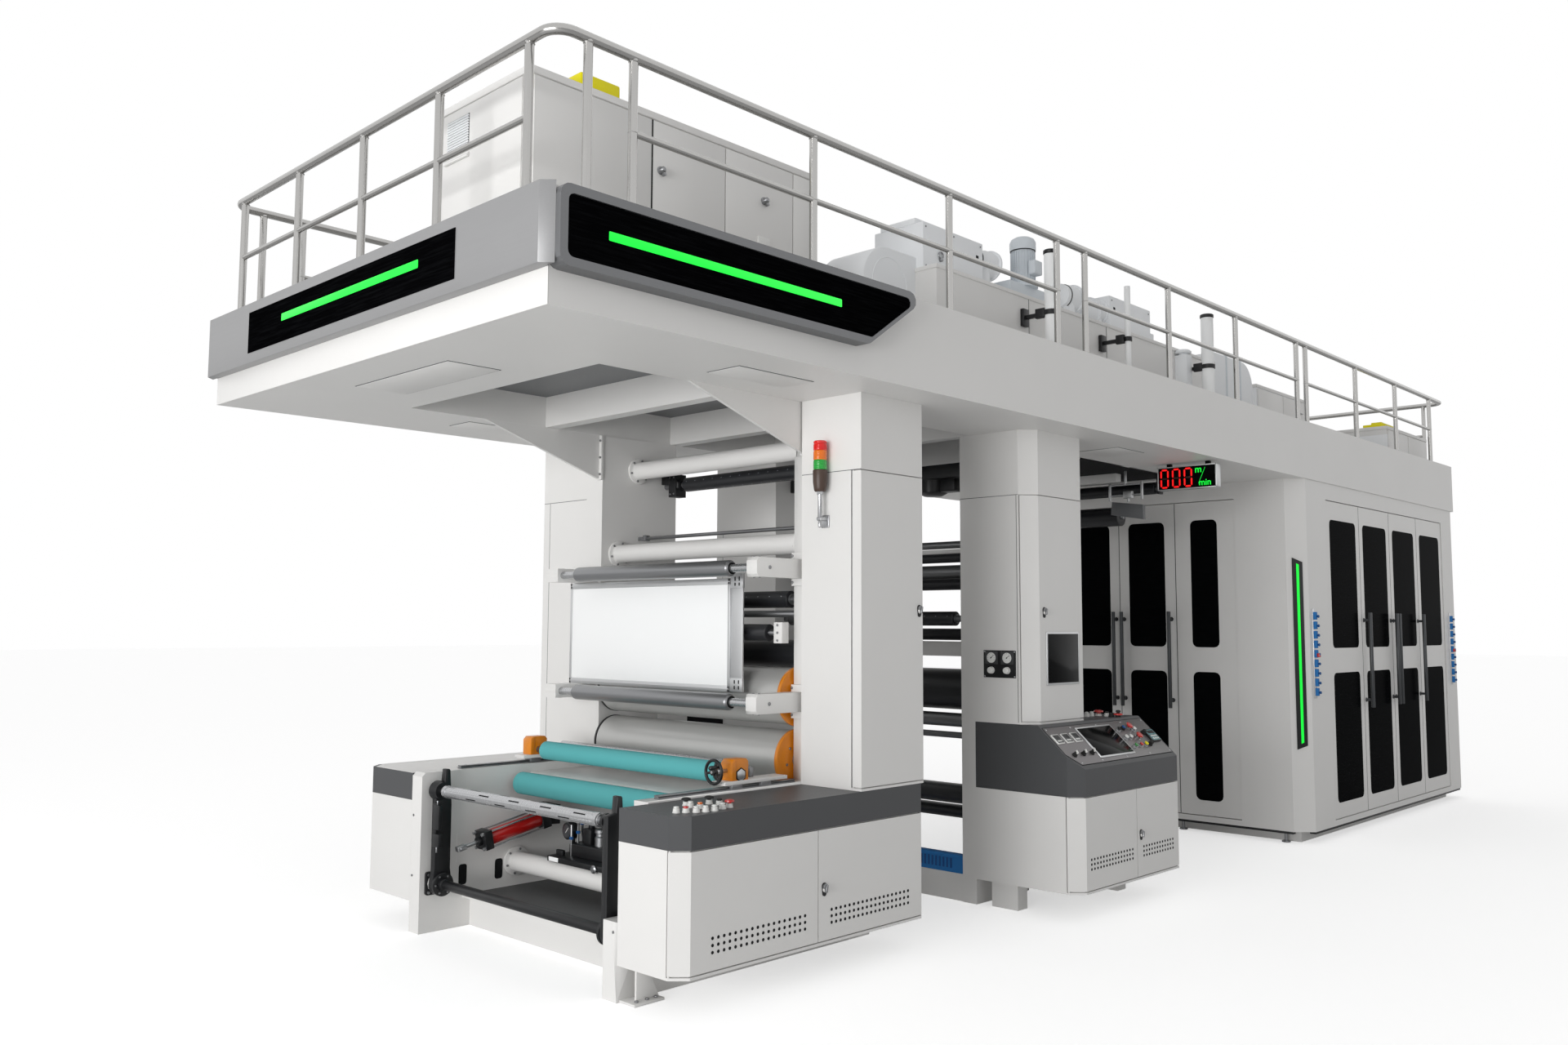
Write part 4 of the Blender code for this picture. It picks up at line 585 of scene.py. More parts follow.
class PRESS_OT_front_frame(bpy.types.Operator):
    """Operator side frame with the open notch in its front that the near unwind arm stands in"""
    bl_idname = "press.front_frame"
    bl_label = "Operator side frame"

    def execute(self, context):
        deselect()
        plate_item = bpy.data.objects.new("operator_frame_plate",
                                          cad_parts["operator_front_frame"].data.copy())
        context.scene.collection.objects.link(plate_item)
        plate_item.select_set(True)
        context.view_layer.objects.active = plate_item
        bpy.ops.object.mode_set(mode="EDIT")
        bpy.ops.mesh.select_all(action="SELECT")
        bpy.ops.mesh.remove_doubles(threshold=0.00001)
        bpy.ops.object.mode_set(mode="OBJECT")
        cutter = box(*FRAME_NOTCH, 0.0)
        deselect()
        plate_item.select_set(True)
        context.view_layer.objects.active = plate_item
        bpy.ops.object.modifier_add(type="BOOLEAN")
        notch = plate_item.modifiers[-1]
        notch.operation = "DIFFERENCE"
        notch.solver = "EXACT"
        notch.object = cutter
        bpy.ops.object.modifier_apply(modifier=notch.name)
        bpy.data.objects.remove(cutter)
        piece("operator_frame_plate", [plate_item], "body_powder_coat",
              stands_for=["operator_front_frame"])
        return {"FINISHED"}


class PRESS_OT_sign_panels(bpy.types.Operator):
    """Black acrylic panels of the sign and of the front band, each with one green light line"""
    bl_idname = "press.sign_panels"
    bl_label = "Sign panels"

    def execute(self, context):
        # The sign's rear edge leans from its foot to its top, given as distance and height.
        (foot, bottom), (tip, top), margin = (1.793, 2.961), (2.244, 3.272), 0.037
        lean = (tip - foot) / (top - bottom)
        low, high = bottom + margin, top - margin
        rear_low, rear_high = foot + margin * (lean - 0.9), tip - margin * (lean + 0.9)
        outline = soft_corners([(0.082, low), (rear_low, low), (rear_high, high), (0.082, high)], 0.024)
        piece("sign_panel", [plate(outline, -0.0265, -0.0215, "Y", 0.001)], "sign_acrylic")
        piece("sign_light_line",
              [plate(round_outline((0.27, 1.60), (3.098, 3.134), 0.004, 2), -0.0275, -0.0262, "Y", 0.0003)],
              "green_light")
        piece("front_panel", [box((-0.0035, 0.0), (0.617, 2.588), (3.020, 3.230), 0.001)], "sign_acrylic")
        piece("front_light_line",
              [plate(round_outline((0.900, 2.200), (3.122, 3.158), 0.004, 2), -0.0045, -0.0033, "X", 0.0003)],
              "green_light")
        return {"FINISHED"}


class PRESS_OT_front_band(bpy.types.Operator):
    """Brushed band with bevelled ends, and the light painted apron under it"""
    bl_idname = "press.front_band"
    bl_label = "Front band"

    def execute(self, context):
        reach, chamfer, lip, depth = 0.0447, 0.044, 0.050, 0.055
        outline = [(reach, 0.0), (0.0, chamfer), (0.0, WIDTH - chamfer), (reach, WIDTH), (reach, WIDTH - lip),
                   (depth, WIDTH - lip), (depth, lip), (reach, lip)]
        piece("front_band_brushed", [plate(outline, 2.969, 3.2815, "Z", 0.0012)], "brushed_band",
              stands_for=["front_band"])
        apron = box((0.0500, 0.0550), (lip, WIDTH - lip), (2.8250, 2.9695), 0.001)
        piece("front_apron", [apron], "body_powder_coat", stands_for=["front_band"])
        return {"FINISHED"}


SIDE_POSTS = (0.245, 0.470, 1.535, 2.585, 3.640, 3.955, 5.030, 6.070, 7.190, 7.375, 8.490, 9.510, 10.510)
SIDE_MIDDLE_RAILS = ((0.470, 3.640), (3.955, 7.190), (7.375, 10.510))
END_POSTS = (0.264, 0.930, 1.600, 2.270, 2.930)
RAIL_INSET = 0.092


class PRESS_OT_guard_rail(bpy.types.Operator):
    """Guard rail of polished tube: bent top rail, posts with weld beads and straight middle rails"""
    bl_idname = "press.guard_rail"
    bl_label = "Guard rail"

    def execute(self, context):
        sizes, sides = context.scene.press_sizes, context.scene.press_stage.tube_sides
        near, far, front, rear = RAIL_INSET, WIDTH - RAIL_INSET, RAIL_INSET, LENGTH - RAIL_INSET
        top, middle, foot = 3.924, 3.610, 3.2836
        loop = [(a, b, top) for a, b in round_outline((front, rear), (near, far), 0.090, 8)]
        piece("guard_rail_top", [tube(loop, sizes.rail_radius, True, sides)], "polished_stainless",
              stands_for=["guard_rail"], smooth=50)
        spots = [(a, b) for a in SIDE_POSTS for b in (near, far)] + [(a, b) for b in END_POSTS
                                                                     for a in (front, rear)]
        spots = [(a, b, foot) for a, b in spots]
        post = bar(spots[0], (*spots[0][:2], top - 0.006), sizes.post_radius, sides, 0.0)
        beads = []
        for height, reach in ((foot + 0.004, 0.0045), (top - sizes.rail_radius + 0.001, 0.0035)):
            place = (*spots[0][:2], height)
            beads.append(hoop(place, "Z", sizes.post_radius - 0.0005, reach, 20, 6))
        made = repeated(post, spots)
        for bead in beads:
            made += repeated(bead, spots)
        piece("guard_rail_posts", made, "polished_upright", stands_for=["guard_rail"], smooth=50)
        rails = [bar((low, b, middle), (high, b, middle), sizes.middle_radius, sides, 0.0)
                 for b in (near, far) for low, high in SIDE_MIDDLE_RAILS]
        rails += [bar((a, END_POSTS[0], middle), (a, END_POSTS[-1], middle), sizes.middle_radius, sides, 0.0)
                  for a in (front, rear)]
        for a in SIDE_POSTS[1:]:
            for b in (near, far):
                rails.append(hoop((a, b, middle), "Z", sizes.post_radius - 0.001, 0.0025, 20, 6))
        piece("guard_rail_middle", rails, "polished_stainless", stands_for=["guard_rail"], smooth=50)
        return {"FINISHED"}


# Inner faces of the side frames, where the journals end.
OPERATOR_FACE, DRIVE_FACE = 0.8088, 2.4017
# Distance from the front of both guide rollers, and their heights.
GUIDE_PLACE = 1.860
GUIDE_HEIGHTS = (1.947, 1.258)
# Node, distance from the front, height, radius, face and journal radius.
DARK_ROLLERS = (
    ("dark_drum", 2.420, 1.496, 0.077, (0.9088, 2.3417), 0.030),
    ("front_idler", 2.270, 1.793, 0.046, (0.9188, 2.3417), 0.020),
    ("top_idler", 2.640, 2.545, 0.045, (0.9088, 2.2017), 0.020),
    ("rear_drum", 3.980, 1.250, 0.130, (0.8588, 2.3517), 0.040),
    ("rear_idler", 3.760, 1.700, 0.045, (0.9188, 2.3417), 0.020),
)
# Rollers thinner than this carry the pale marks.
MARKED_RADIUS = 0.050


def sleeve(a, z, radius, face, chamfer=0.003, sides=48, drop=None):
    """A round bar across the machine with chamfered ends, a chamfer long and a drop deep."""
    low, high = face
    end = radius - (chamfer if drop is None else drop)
    return turned([(low, end), (low + chamfer, radius), (high - chamfer, radius), (high, end)],
                  (a, 0, z), "Y", sides)


def roller(name, a, z, radius, face, ends, journal):
    """A dark turned roller: its sleeve, and journals with a shoulder at each end."""
    piece(f"{name}_sleeve", [sleeve(a, z, radius, face)], "dark_sleeve", name, stands_for=[name])
    shoulder = min(journal * 1.5, radius * 0.8)
    shaft = turned([(ends[0], journal), (face[0] - 0.012, journal), (face[0] - 0.012, shoulder),
                    (face[0] + 0.002, shoulder), (face[1] - 0.002, shoulder), (face[1] + 0.012, shoulder),
                    (face[1] + 0.012, journal), (ends[1], journal)], (a, 0, z), "Y", 24)
    piece(f"{name}_shaft", [shaft], "ground_steel", name, stands_for=[name])


class PRESS_OT_rollers(bpy.types.Operator):
    """Drums, idlers and guide rollers with their journals, discs and bolts"""
    bl_idname = "press.rollers"
    bl_label = "Rollers"

    def execute(self, context):
        inner = (OPERATOR_FACE, DRIVE_FACE)
        for name, a, z in (("upper_drum", 2.233, 1.278), ("lower_drum", 2.215, 0.952)):
            self.drum(name, a, z, inner)
        for name, a, z, radius, face, journal in DARK_ROLLERS:
            roller(name, a, z, radius, face, inner, journal)
        for name, z in zip(("upper_guide_roller", "lower_guide_roller"), GUIDE_HEIGHTS):
            self.guide(name, GUIDE_PLACE, z)
        for name, a, z, radius, face, _ in DARK_ROLLERS:
            if radius < MARKED_RADIUS:
                self.dashes(name, a, z, radius, face)
        return {"FINISHED"}

    def drum(self, name, a, z, inner):
        """A chromed drum with an orange dished disc at the operator end."""
        low, high = 0.8428, 2.3517
        face = sleeve(a, z, 0.150, (low, high), 0.003, 72)
        piece(f"{name}_sleeve", [face], "chromed_drum", name, stands_for=[name])
        disc = turned([(0.8210, 0.060), (0.8210, 0.110), (0.8250, 0.118), (0.8215, 0.148), (0.8225, 0.156),
                       (0.8245, 0.158), (0.8400, 0.158), (0.8425, 0.156)], (a, 0, z), "Y", 72)
        piece(f"{name}_disc", [disc], "orange_enamel", name, stands_for=[name])
        ring = ring_of((a, 0.8212, z), "Y", 0.085, 6, 15)
        piece(f"{name}_disc_bolts", bolts(ring, "-Y", 0.008, 0.004), "ground_steel", name, stands_for=[name])
        black = turned([(high, 0.146), (high + 0.004, 0.152), (high + 0.016, 0.152), (high + 0.020, 0.146)],
                       (a, 0, z), "Y", 60)
        piece(f"{name}_end_ring", [black], "black_enamel", name, stands_for=[name])
        shaft = turned([(inner[0], 0.040), (0.8225, 0.040), (0.8225, 0.052), (low + 0.002, 0.052),
                        (high - 0.002, 0.052), (high + 0.024, 0.052), (high + 0.024, 0.040),
                        (inner[1], 0.040)], (a, 0, z), "Y", 32)
        piece(f"{name}_shaft", [shaft], "ground_steel", name, stands_for=[name])

    def guide(self, name, a, z):
        """A dark ground roller with a spherical end collar on a bright shaft."""
        low, high = 0.960, 2.285
        face = turned([(low, 0.034), (low + 0.006, 0.0405), (low + 0.014, 0.043), (high - 0.014, 0.043),
                       (high - 0.006, 0.0405), (high, 0.034)], (a, 0, z), "Y", 48)
        piece(f"{name}_sleeve", [face], "dark_knurl_steel", name, stands_for=[name])
        collar = turned([(low - 0.004, 0.027), (low - 0.004, 0.033), (low + 0.003, 0.033),
                         (high - 0.003, 0.033), (high + 0.004, 0.033), (high + 0.004, 0.027)], (a, 0, z), "Y",
                        32)
        shaft = turned([(0.8003, 0.020), (0.802, 0.022), (2.428, 0.022), (2.4297, 0.020)], (a, 0, z), "Y", 28)
        piece(f"{name}_shaft", [shaft, collar], "bright_shaft", name, stands_for=[name])
        joint = turned([(low - 0.0040, 0.0318), (low - 0.0046, 0.0318), (low - 0.0046, 0.0270)], (a, 0, z),
                       "Y", 28)
        piece(f"{name}_joint", [joint], "dark_recess", name, stands_for=[name])

    def dashes(self, name, a, z, radius, face):
        """Pale chequer marks in a row along a sleeve, as wear leaves on knurled rubber."""
        count = 16
        pitch = (face[1] - face[0] - 0.08) / (count - 1)
        places = [(a, face[0] + 0.04 + i * pitch, z) for i in range(count)]
        marks = []
        for turn in range(0, 360, 90):
            mark = box((a - radius - 0.0004, a - radius + 0.002),
                       (places[0][1] - 0.004, places[0][1] + 0.004), (z - 0.0025, z + 0.0025), 0.0003, 1)
            marks += turn_about(repeated(mark, places), (a, 0, z), "Y", turn + 20)
        piece(f"{name}_marks", marks, "worn_mark", name, stands_for=[name])


# Node, distance from the front and height.
TIE_PIPES = (
    ("unwind_tie_pipe", 1.546, 0.310),
    ("lower_tie_pipe", 2.252, 2.092),
    ("upper_tie_pipe", 2.400, 2.625),
)


class PRESS_OT_stand_fittings(bpy.types.Operator):
    """Brackets, tie pipes, backing panel, hanger, gusset bolts and inner roller of the front stands"""
    bl_idname = "press.stand_fittings"
    bl_label = "Stand fittings"

    def execute(self, context):
        self.guide_brackets()
        self.tie_pipes()
        self.backing_panel()
        self.hanger()
        self.gusset_bolts()
        self.inner_roller()
        return {"FINISHED"}

    def guide_brackets(self):
        caps, heads = [], []
        for z in GUIDE_HEIGHTS:
            caps.append(plate([(1.812, z - 0.030), (1.824, z - 0.0505), (2.150, z - 0.0505),
                               (2.150, z + 0.0505), (1.824, z + 0.0505), (1.812, z + 0.030)], 0.7275, 0.8025,
                              "Y", 0.002))
            caps.append(box((2.1475, 2.1760), (0.7100, 0.8070), (z - 0.0875, z + 0.0875), 0.002))
            heads += bolts([(1.905, 0.7275, z)], "-Y", 0.011, 0.004)
            heads += bolts([(2.1475, 0.7185, z + 0.070), (2.1475, 0.7185, z - 0.070),
                            (2.1475, 0.799, z + 0.070), (2.1475, 0.799, z - 0.070)], "-X", 0.008, 0.007)
            heads += bolts([(1.850, 0.745, z + 0.0505), (1.850, 0.785, z + 0.0505)], "+Z", 0.006, 0.005)
            heads += bolts([(1.850, 0.745, z - 0.0505), (1.850, 0.785, z - 0.0505)], "-Z", 0.006, 0.005)
        piece("guide_bracket_covers", caps, "body_powder_coat")
        piece("guide_bracket_bolts", heads, "ground_steel")
        ends = []
        for z in GUIDE_HEIGHTS:
            ends.append(turned([(2.4290, 0.030), (2.4300, 0.0415), (2.5400, 0.0415), (2.5420, 0.038)],
                               (GUIDE_PLACE, 0, z), "Y", 32))
        piece("guide_seat_sleeves", ends, "body_powder_coat")

    def tie_pipes(self):
        """Rounded flanges with their bolts over each tie pipe's plain ones, and weld beads."""
        flanges, heads = [], []
        for _, a, z in TIE_PIPES:
            for low, side in ((2.3845, "-Y"), (0.8090, "+Y")):
                high = low + 0.0165
                flanges.append(sleeve(a, z, 0.081, (low, high), 0.002, 40, 0.003))
                face = low if side == "-Y" else high
                flanges.append(hoop((a, face, z), "Y", 0.0555, 0.004, 32, 8))
                heads += bolts(ring_of((a, face, z), "Y", 0.068, 6, 15), side, 0.007, 0.006)
        piece("tie_pipe_flanges", flanges, "body_powder_coat")
        piece("tie_pipe_bolts", heads, "ground_steel")
        for name, a, z in TIE_PIPES:
            face = sleeve(a, z, 0.0553, (0.815, 2.396), 0.003, 40, 0.0033)
            piece(f"{name}_tube", [face], "body_powder_coat", "root", stands_for=[name])
        rod_a, rod_z = 2.420, 2.195
        piece("cross_rod", [bar((rod_a, 0.812, rod_z), (rod_a, 2.330, rod_z), 0.011, 20, 0.002),
                            box((rod_a - 0.02, rod_a + 0.02), (2.322, 2.346), (rod_z - 0.016, rod_z + 0.020),
                                0.003)], "dark_knurl_steel")
        piece("cross_rod_seat",
              [box((rod_a - 0.012, rod_a + 0.012), (2.340, 2.4015), (rod_z - 0.012, rod_z + 0.012), 0.002)],
              "dark_knurl_steel")

    def backing_panel(self):
        """White sheet in an aluminium frame, hung by slotted end plates."""
        a = 2.020
        sheet = box((a - 0.0022, a + 0.004), (1.152, 2.548), (1.330, 1.870), 0.001)
        piece("backing_sheet", [sheet], "white_sheet")
        frame_bars = []
        for low in (1.296, 1.870):
            frame_bars.append(box((a - 0.007, a + 0.034), (1.1345, 2.564), (low, low + 0.034), 0.0025))
            frame_bars.append(box((a - 0.0085, a - 0.005), (1.140, 2.560), (low + 0.014, low + 0.020),
                                  0.0008))
        for low in (1.1345, 2.546):
            frame_bars.append(box((a - 0.007, a + 0.034), (low, low + 0.018), (1.296, 1.904), 0.0025))
        piece("backing_frame", frame_bars, "aluminium_extrusion")
        strip = box((a + 0.0005, a + 0.0115), (1.043, 1.1350), (1.312, 1.928), 0.0015)
        ends = [box((a - 0.004, a + 0.013), (1.041, 1.1345), low, 0.002)
                for low in ((1.300, 1.372), (1.850, 1.930))]
        piece("backing_end_strip", [strip] + ends, "aluminium_extrusion")
        # Near-black plates in the slots of the end strip: painted shade.
        slots = []
        for height in ((1.888, 1.912), (1.862, 1.880), (1.342, 1.362), (1.312, 1.332)):
            for b in (1.062, 1.094):
                slots.append(plate(round_outline((b, b + 0.009), height, 0.004, 3), a - 0.0046, a - 0.0035,
                                   "X", 0.0))
        piece("backing_slots", slots, "dark_recess")

    def hanger(self):
        """Black hanger block at the drive end of the top idler."""
        a, z = 2.640, 2.545
        body = plate([(a - 0.045, z - 0.075), (a + 0.045, z - 0.075), (a + 0.045, z + 0.070),
                      (a - 0.045, z + 0.070)], 2.262, 2.330, "Y", 0.003)
        arm = box((a - 0.045, a + 0.045), (2.325, 2.4012), (z + 0.010, z + 0.070), 0.003)
        boss = turned([(2.236, 0.024), (2.240, 0.034), (2.256, 0.034), (2.262, 0.040)], (a, 0, z), "Y", 6)
        piece("idler_hanger", [body, arm, boss], "black_enamel")
        heads = bolts([(a - 0.045, 2.278, z - 0.055), (a - 0.045, 2.314, z - 0.055),
                       (a - 0.045, 2.278, z + 0.050), (a - 0.045, 2.314, z + 0.050)], "-X", 0.006, 0.005)
        piece("idler_hanger_bolts", heads, "ground_steel")

    def gusset_bolts(self):
        flanges = [box((2.150, 2.1698), (0.690, 0.7505), (2.547, 2.823), 0.002),
                   box((2.100, 2.1198), (2.392, 2.4445), (2.547, 2.823), 0.002)]
        piece("gusset_flanges", flanges, "body_powder_coat")
        heads = []
        for a, b in ((2.150, 0.7020), (2.150, 0.7430), (2.100, 2.4010), (2.100, 2.4370)):
            heads += bolts([(a, b, z) for z in (2.580, 2.685, 2.790)], "-X", 0.0085, 0.006)
        piece("gusset_bolts", heads, "ground_steel")

    def inner_roller(self):
        """A dark roller behind the backing panel with its block and pipe, the beam behind the drums, and a
        near-black sheet of painted shade on that beam.
        """
        a, z = 2.105, 1.614
        piece("inner_roller_sleeve", [sleeve(a, z, 0.045, (0.920, 2.340), 0.004, 36)], "dark_sleeve")
        shafts = [bar((a, 0.868, z), (a, 2.4013, z), 0.015, 20, 0.001),
                  bar((2.215, 0.8092, 1.714), (2.215, 2.4013, 1.714), 0.018, 20, 0.001)]
        piece("inner_roller_shafts", shafts, "ground_steel")
        block = box((a - 0.026, a + 0.026), (0.8092, 0.8700), (z - 0.055, z + 0.055), 0.003)
        piece("inner_roller_block", [block], "body_powder_coat")
        heads = bolts([(a - 0.026, 0.840, z + rise) for rise in (-0.040, 0.0, 0.040)], "-X", 0.007, 0.005)
        piece("inner_roller_bolts", heads, "ground_steel")
        beam = box((2.585, 2.605), (0.8092, 2.4013), (1.040, 1.190), 0.003)
        piece("drum_rear_beam", [beam], "body_powder_coat")
        # The near-black sheet on the beam is painted shade of the slit between the drums.
        cover = box((2.570, 2.586), (1.790, 2.100), (1.060, 1.170), 0.002)
        piece("drum_gap_shade", [cover], "dark_recess")


class PRESS_OT_unwind(bpy.types.Operator):
    """Swing arms with their bearings and chucks, the air shaft, and the red cylinder"""
    bl_idname = "press.unwind"
    bl_label = "Unwind"

    def execute(self, context):
        self.arms()
        self.air_shaft()
        self.cylinder()
        return {"FINISHED"}

    def arms(self):
        a, z = 1.035, 0.262
        half = 0.048
        outline = outline_arc((a, z), half + 0.012, 180, 360, 12) + [
            (a + half, z + 0.08), (a + half, 0.680), (a + half - 0.012, 0.862), (a + half - 0.018, 0.870),
            (a + half - 0.040, 0.870), (a + half - 0.046, 0.795), (a - half, 0.785), (a - half, z + 0.08)]
        blades = [plate(outline, low, low + 0.040, "Y", 0.004) for low in (0.8425, 2.3277)]
        hubs = []
        for face, out in ((0.8825, 1), (2.3277, -1)):
            profile = [(face - 0.002 * out, 0.062), (face + 0.014 * out, 0.062), (face + 0.017 * out, 0.058),
                       (face + 0.017 * out, 0.036), (face + 0.040 * out, 0.034), (face + 0.043 * out, 0.030)]
            hubs.append(turned(profile, (a, 0, z), "Y", 40))
        low_shaft = bar((a, 0.838, z), (a, 2.372, z), 0.0255, 28, 0.002)
        piece("unwind_arm_blades", blades + hubs + [low_shaft], "black_enamel", "unwind_arms",
              stands_for=["unwind_arms"])
        heads = bolts(ring_of((a, 0.8995, z), "Y", 0.048, 6), "+Y", 0.006, 0.004)
        heads += bolts(ring_of((a, 2.3107, z), "Y", 0.048, 6), "-Y", 0.006, 0.004)
        piece("unwind_hub_bolts", heads, "ground_steel", "unwind_arms", stands_for=["unwind_arms"])
        flanges = []
        bolt_places = []
        for face, out in ((0.8087, 1), (2.4018, -1)):
            low, high = sorted((face, face + out * 0.016))
            flanges.append(plate(round_outline((a - 0.062, a + 0.062), (z - 0.062, z + 0.062), 0.014), low,
                                 high, "Y", 0.002))
            flanges.append(turned([(face, 0.050), (face + out * 0.024, 0.048), (face + out * 0.028, 0.040)],
                                  (a, 0, z), "Y", 32))
            side = "+Y" if out > 0 else "-Y"
            spots = [(a + i * 0.046, face + out * 0.016, z + j * 0.046) for i in (-1, 1) for j in (-1, 1)]
            bolt_places += bolts(spots, side, 0.009, 0.006)
        piece("arm_bearing_flanges", flanges, "black_enamel")
        piece("arm_bearing_bolts", bolt_places, "ground_steel")
        a, z = 1.018, 0.757
        chucks = [turned([(2.3777, 0.040), (2.3697, 0.052), (2.3357, 0.052), (2.3267, 0.047),
                          (2.3097, 0.045)], (a, 0, z), "Y", 40),
                  turned([(0.8815, 0.036), (0.8985, 0.036), (0.9005, 0.033)], (a, 0, z), "Y", 40)]
        piece("air_shaft_chucks", chucks, "black_enamel", "unwind_arms", stands_for=["unwind_arms"])
        brake = [box((0.966, 0.988), (2.262, 2.318), (0.560, 0.690), 0.004),
                 box((0.968, 0.990), (2.292, 2.330), (0.520, 0.700), 0.003),
                 box((0.960, 0.990), (2.250, 2.316), (0.470, 0.540), 0.005)]
        piece("unwind_brake_box", brake, "black_enamel", "unwind_arms")
        stem = [bar((0.975, 2.290, 0.440), (0.975, 2.290, 0.475), 0.005, 12, 0.001),
                bar((0.975, 2.290, 0.690), (0.975, 2.290, 0.712), 0.005, 12, 0.001)]
        piece("unwind_brake_fittings", stem, "ground_steel", "unwind_arms")

    def air_shaft(self):
        """Shaft with long inflating strips between its flats."""
        a, z = 1.018, 0.757
        body = sleeve(a, z, 0.0300, (0.932, 2.279), 0.004, 48)
        collars = [sleeve(a, z, 0.0335, (low, low + 0.028), 0.002, 40, 0.0055) for low in (0.934, 2.249)]
        ends = [bar((a, 0.9008, z), (a, 0.936, z), 0.018, 24, 0.001),
                bar((a, 2.275, z), (a, 2.3095, z), 0.018, 24, 0.001)]
        piece("air_shaft_body", [body] + collars + ends, "bright_shaft", "air_shaft",
              stands_for=["air_shaft"])
        strips, slots = [], []
        for turn in range(0, 360, 60):
            strip = box((a - 0.0309, a - 0.027), (0.970, 2.240), (z - 0.0070, z + 0.0070), 0.0006, 1)
            strips += turn_about([strip], (a, 0, z), "Y", turn + 35)
            first = 1.020 + (0.120 if turn % 120 else 0.0)
            # Near-black strips in the slots: painted shade.
            slot = box((a - 0.0313, a - 0.027), (first, first + 0.090), (z - 0.0035, z + 0.0035), 0.0003, 1)
            row = repeated(slot, [(a, first + i * 0.270, z) for i in range(4)])
            slots += turn_about(row, (a, 0, z), "Y", turn + 35)
        piece("air_shaft_strips", strips, "bright_shaft", "air_shaft", stands_for=["air_shaft"])
        piece("air_shaft_slots", slots, "dark_recess", "air_shaft", ["air_shaft"])

    def cylinder(self):
        """Barrel between two square heads with tie rods, a bright piston rod and a clevis."""
        start, end = Vector((1.100, 2.262, 0.450)), Vector((1.640, 2.262, 0.560))
        along = (end - start).normalized()
        across = Vector((0, 1, 0))
        upward = along.cross(across)
        length = (end - start).length
        pitch = -math.degrees(math.atan2(along.z, along.x))

        def spot(distance, side=0.0, rise=0.0):
            return tuple(start + along * distance + across * side - upward * rise)

        piece("arm_cylinder_barrel", [bar(spot(0.170), spot(length - 0.030), 0.0425, 40, 0.001)],
              "red_enamel", stands_for=["arm_cylinder"])
        heads = []
        for low, high in ((0.128, 0.178), (length - 0.045, length + 0.010)):
            block = box((start.x + low, start.x + high), (start.y - 0.052, start.y + 0.052),
                        (start.z - 0.052, start.z + 0.052), 0.005)
            heads += turn_about([block], start, "Y", pitch)
        heads.append(bar(spot(0.105), spot(0.130), 0.026, 24, 0.003))
        bracket = plate([(1.630, 0.520), (1.730, 0.515), (1.730, 0.625), (1.630, 0.620)], 2.232, 2.4012, "Y",
                        0.004)
        piece("arm_cylinder_heads", heads + [bracket], "black_enamel", stands_for=["arm_cylinder"])
        rods = [bar(spot(0.176, i * 0.043, j * 0.043), spot(length - 0.044, i * 0.043, j * 0.043), 0.005, 12,
                    0.0) for i in (-1, 1) for j in (-1, 1)]
        rods += [bar(spot(0.114, i * 0.040, j * 0.040), spot(0.130, i * 0.040, j * 0.040), 0.010, 6, 0.001)
                 for i in (-1, 1) for j in (-1, 1)]
        rods.append(bar(spot(0.030), spot(0.110), 0.011, 24, 0.001))
        clevis = box((start.x - 0.020, start.x + 0.034), (start.y - 0.018, start.y + 0.018),
                     (start.z - 0.014, start.z + 0.014), 0.004)
        rods += turn_about([clevis], start, "Y", pitch)
        rods.append(bar((start.x, start.y - 0.026, start.z), (start.x, start.y + 0.026, start.z), 0.008, 16,
                        0.001))
        piece("arm_cylinder_rods", rods, "bright_shaft", stands_for=["arm_cylinder"])


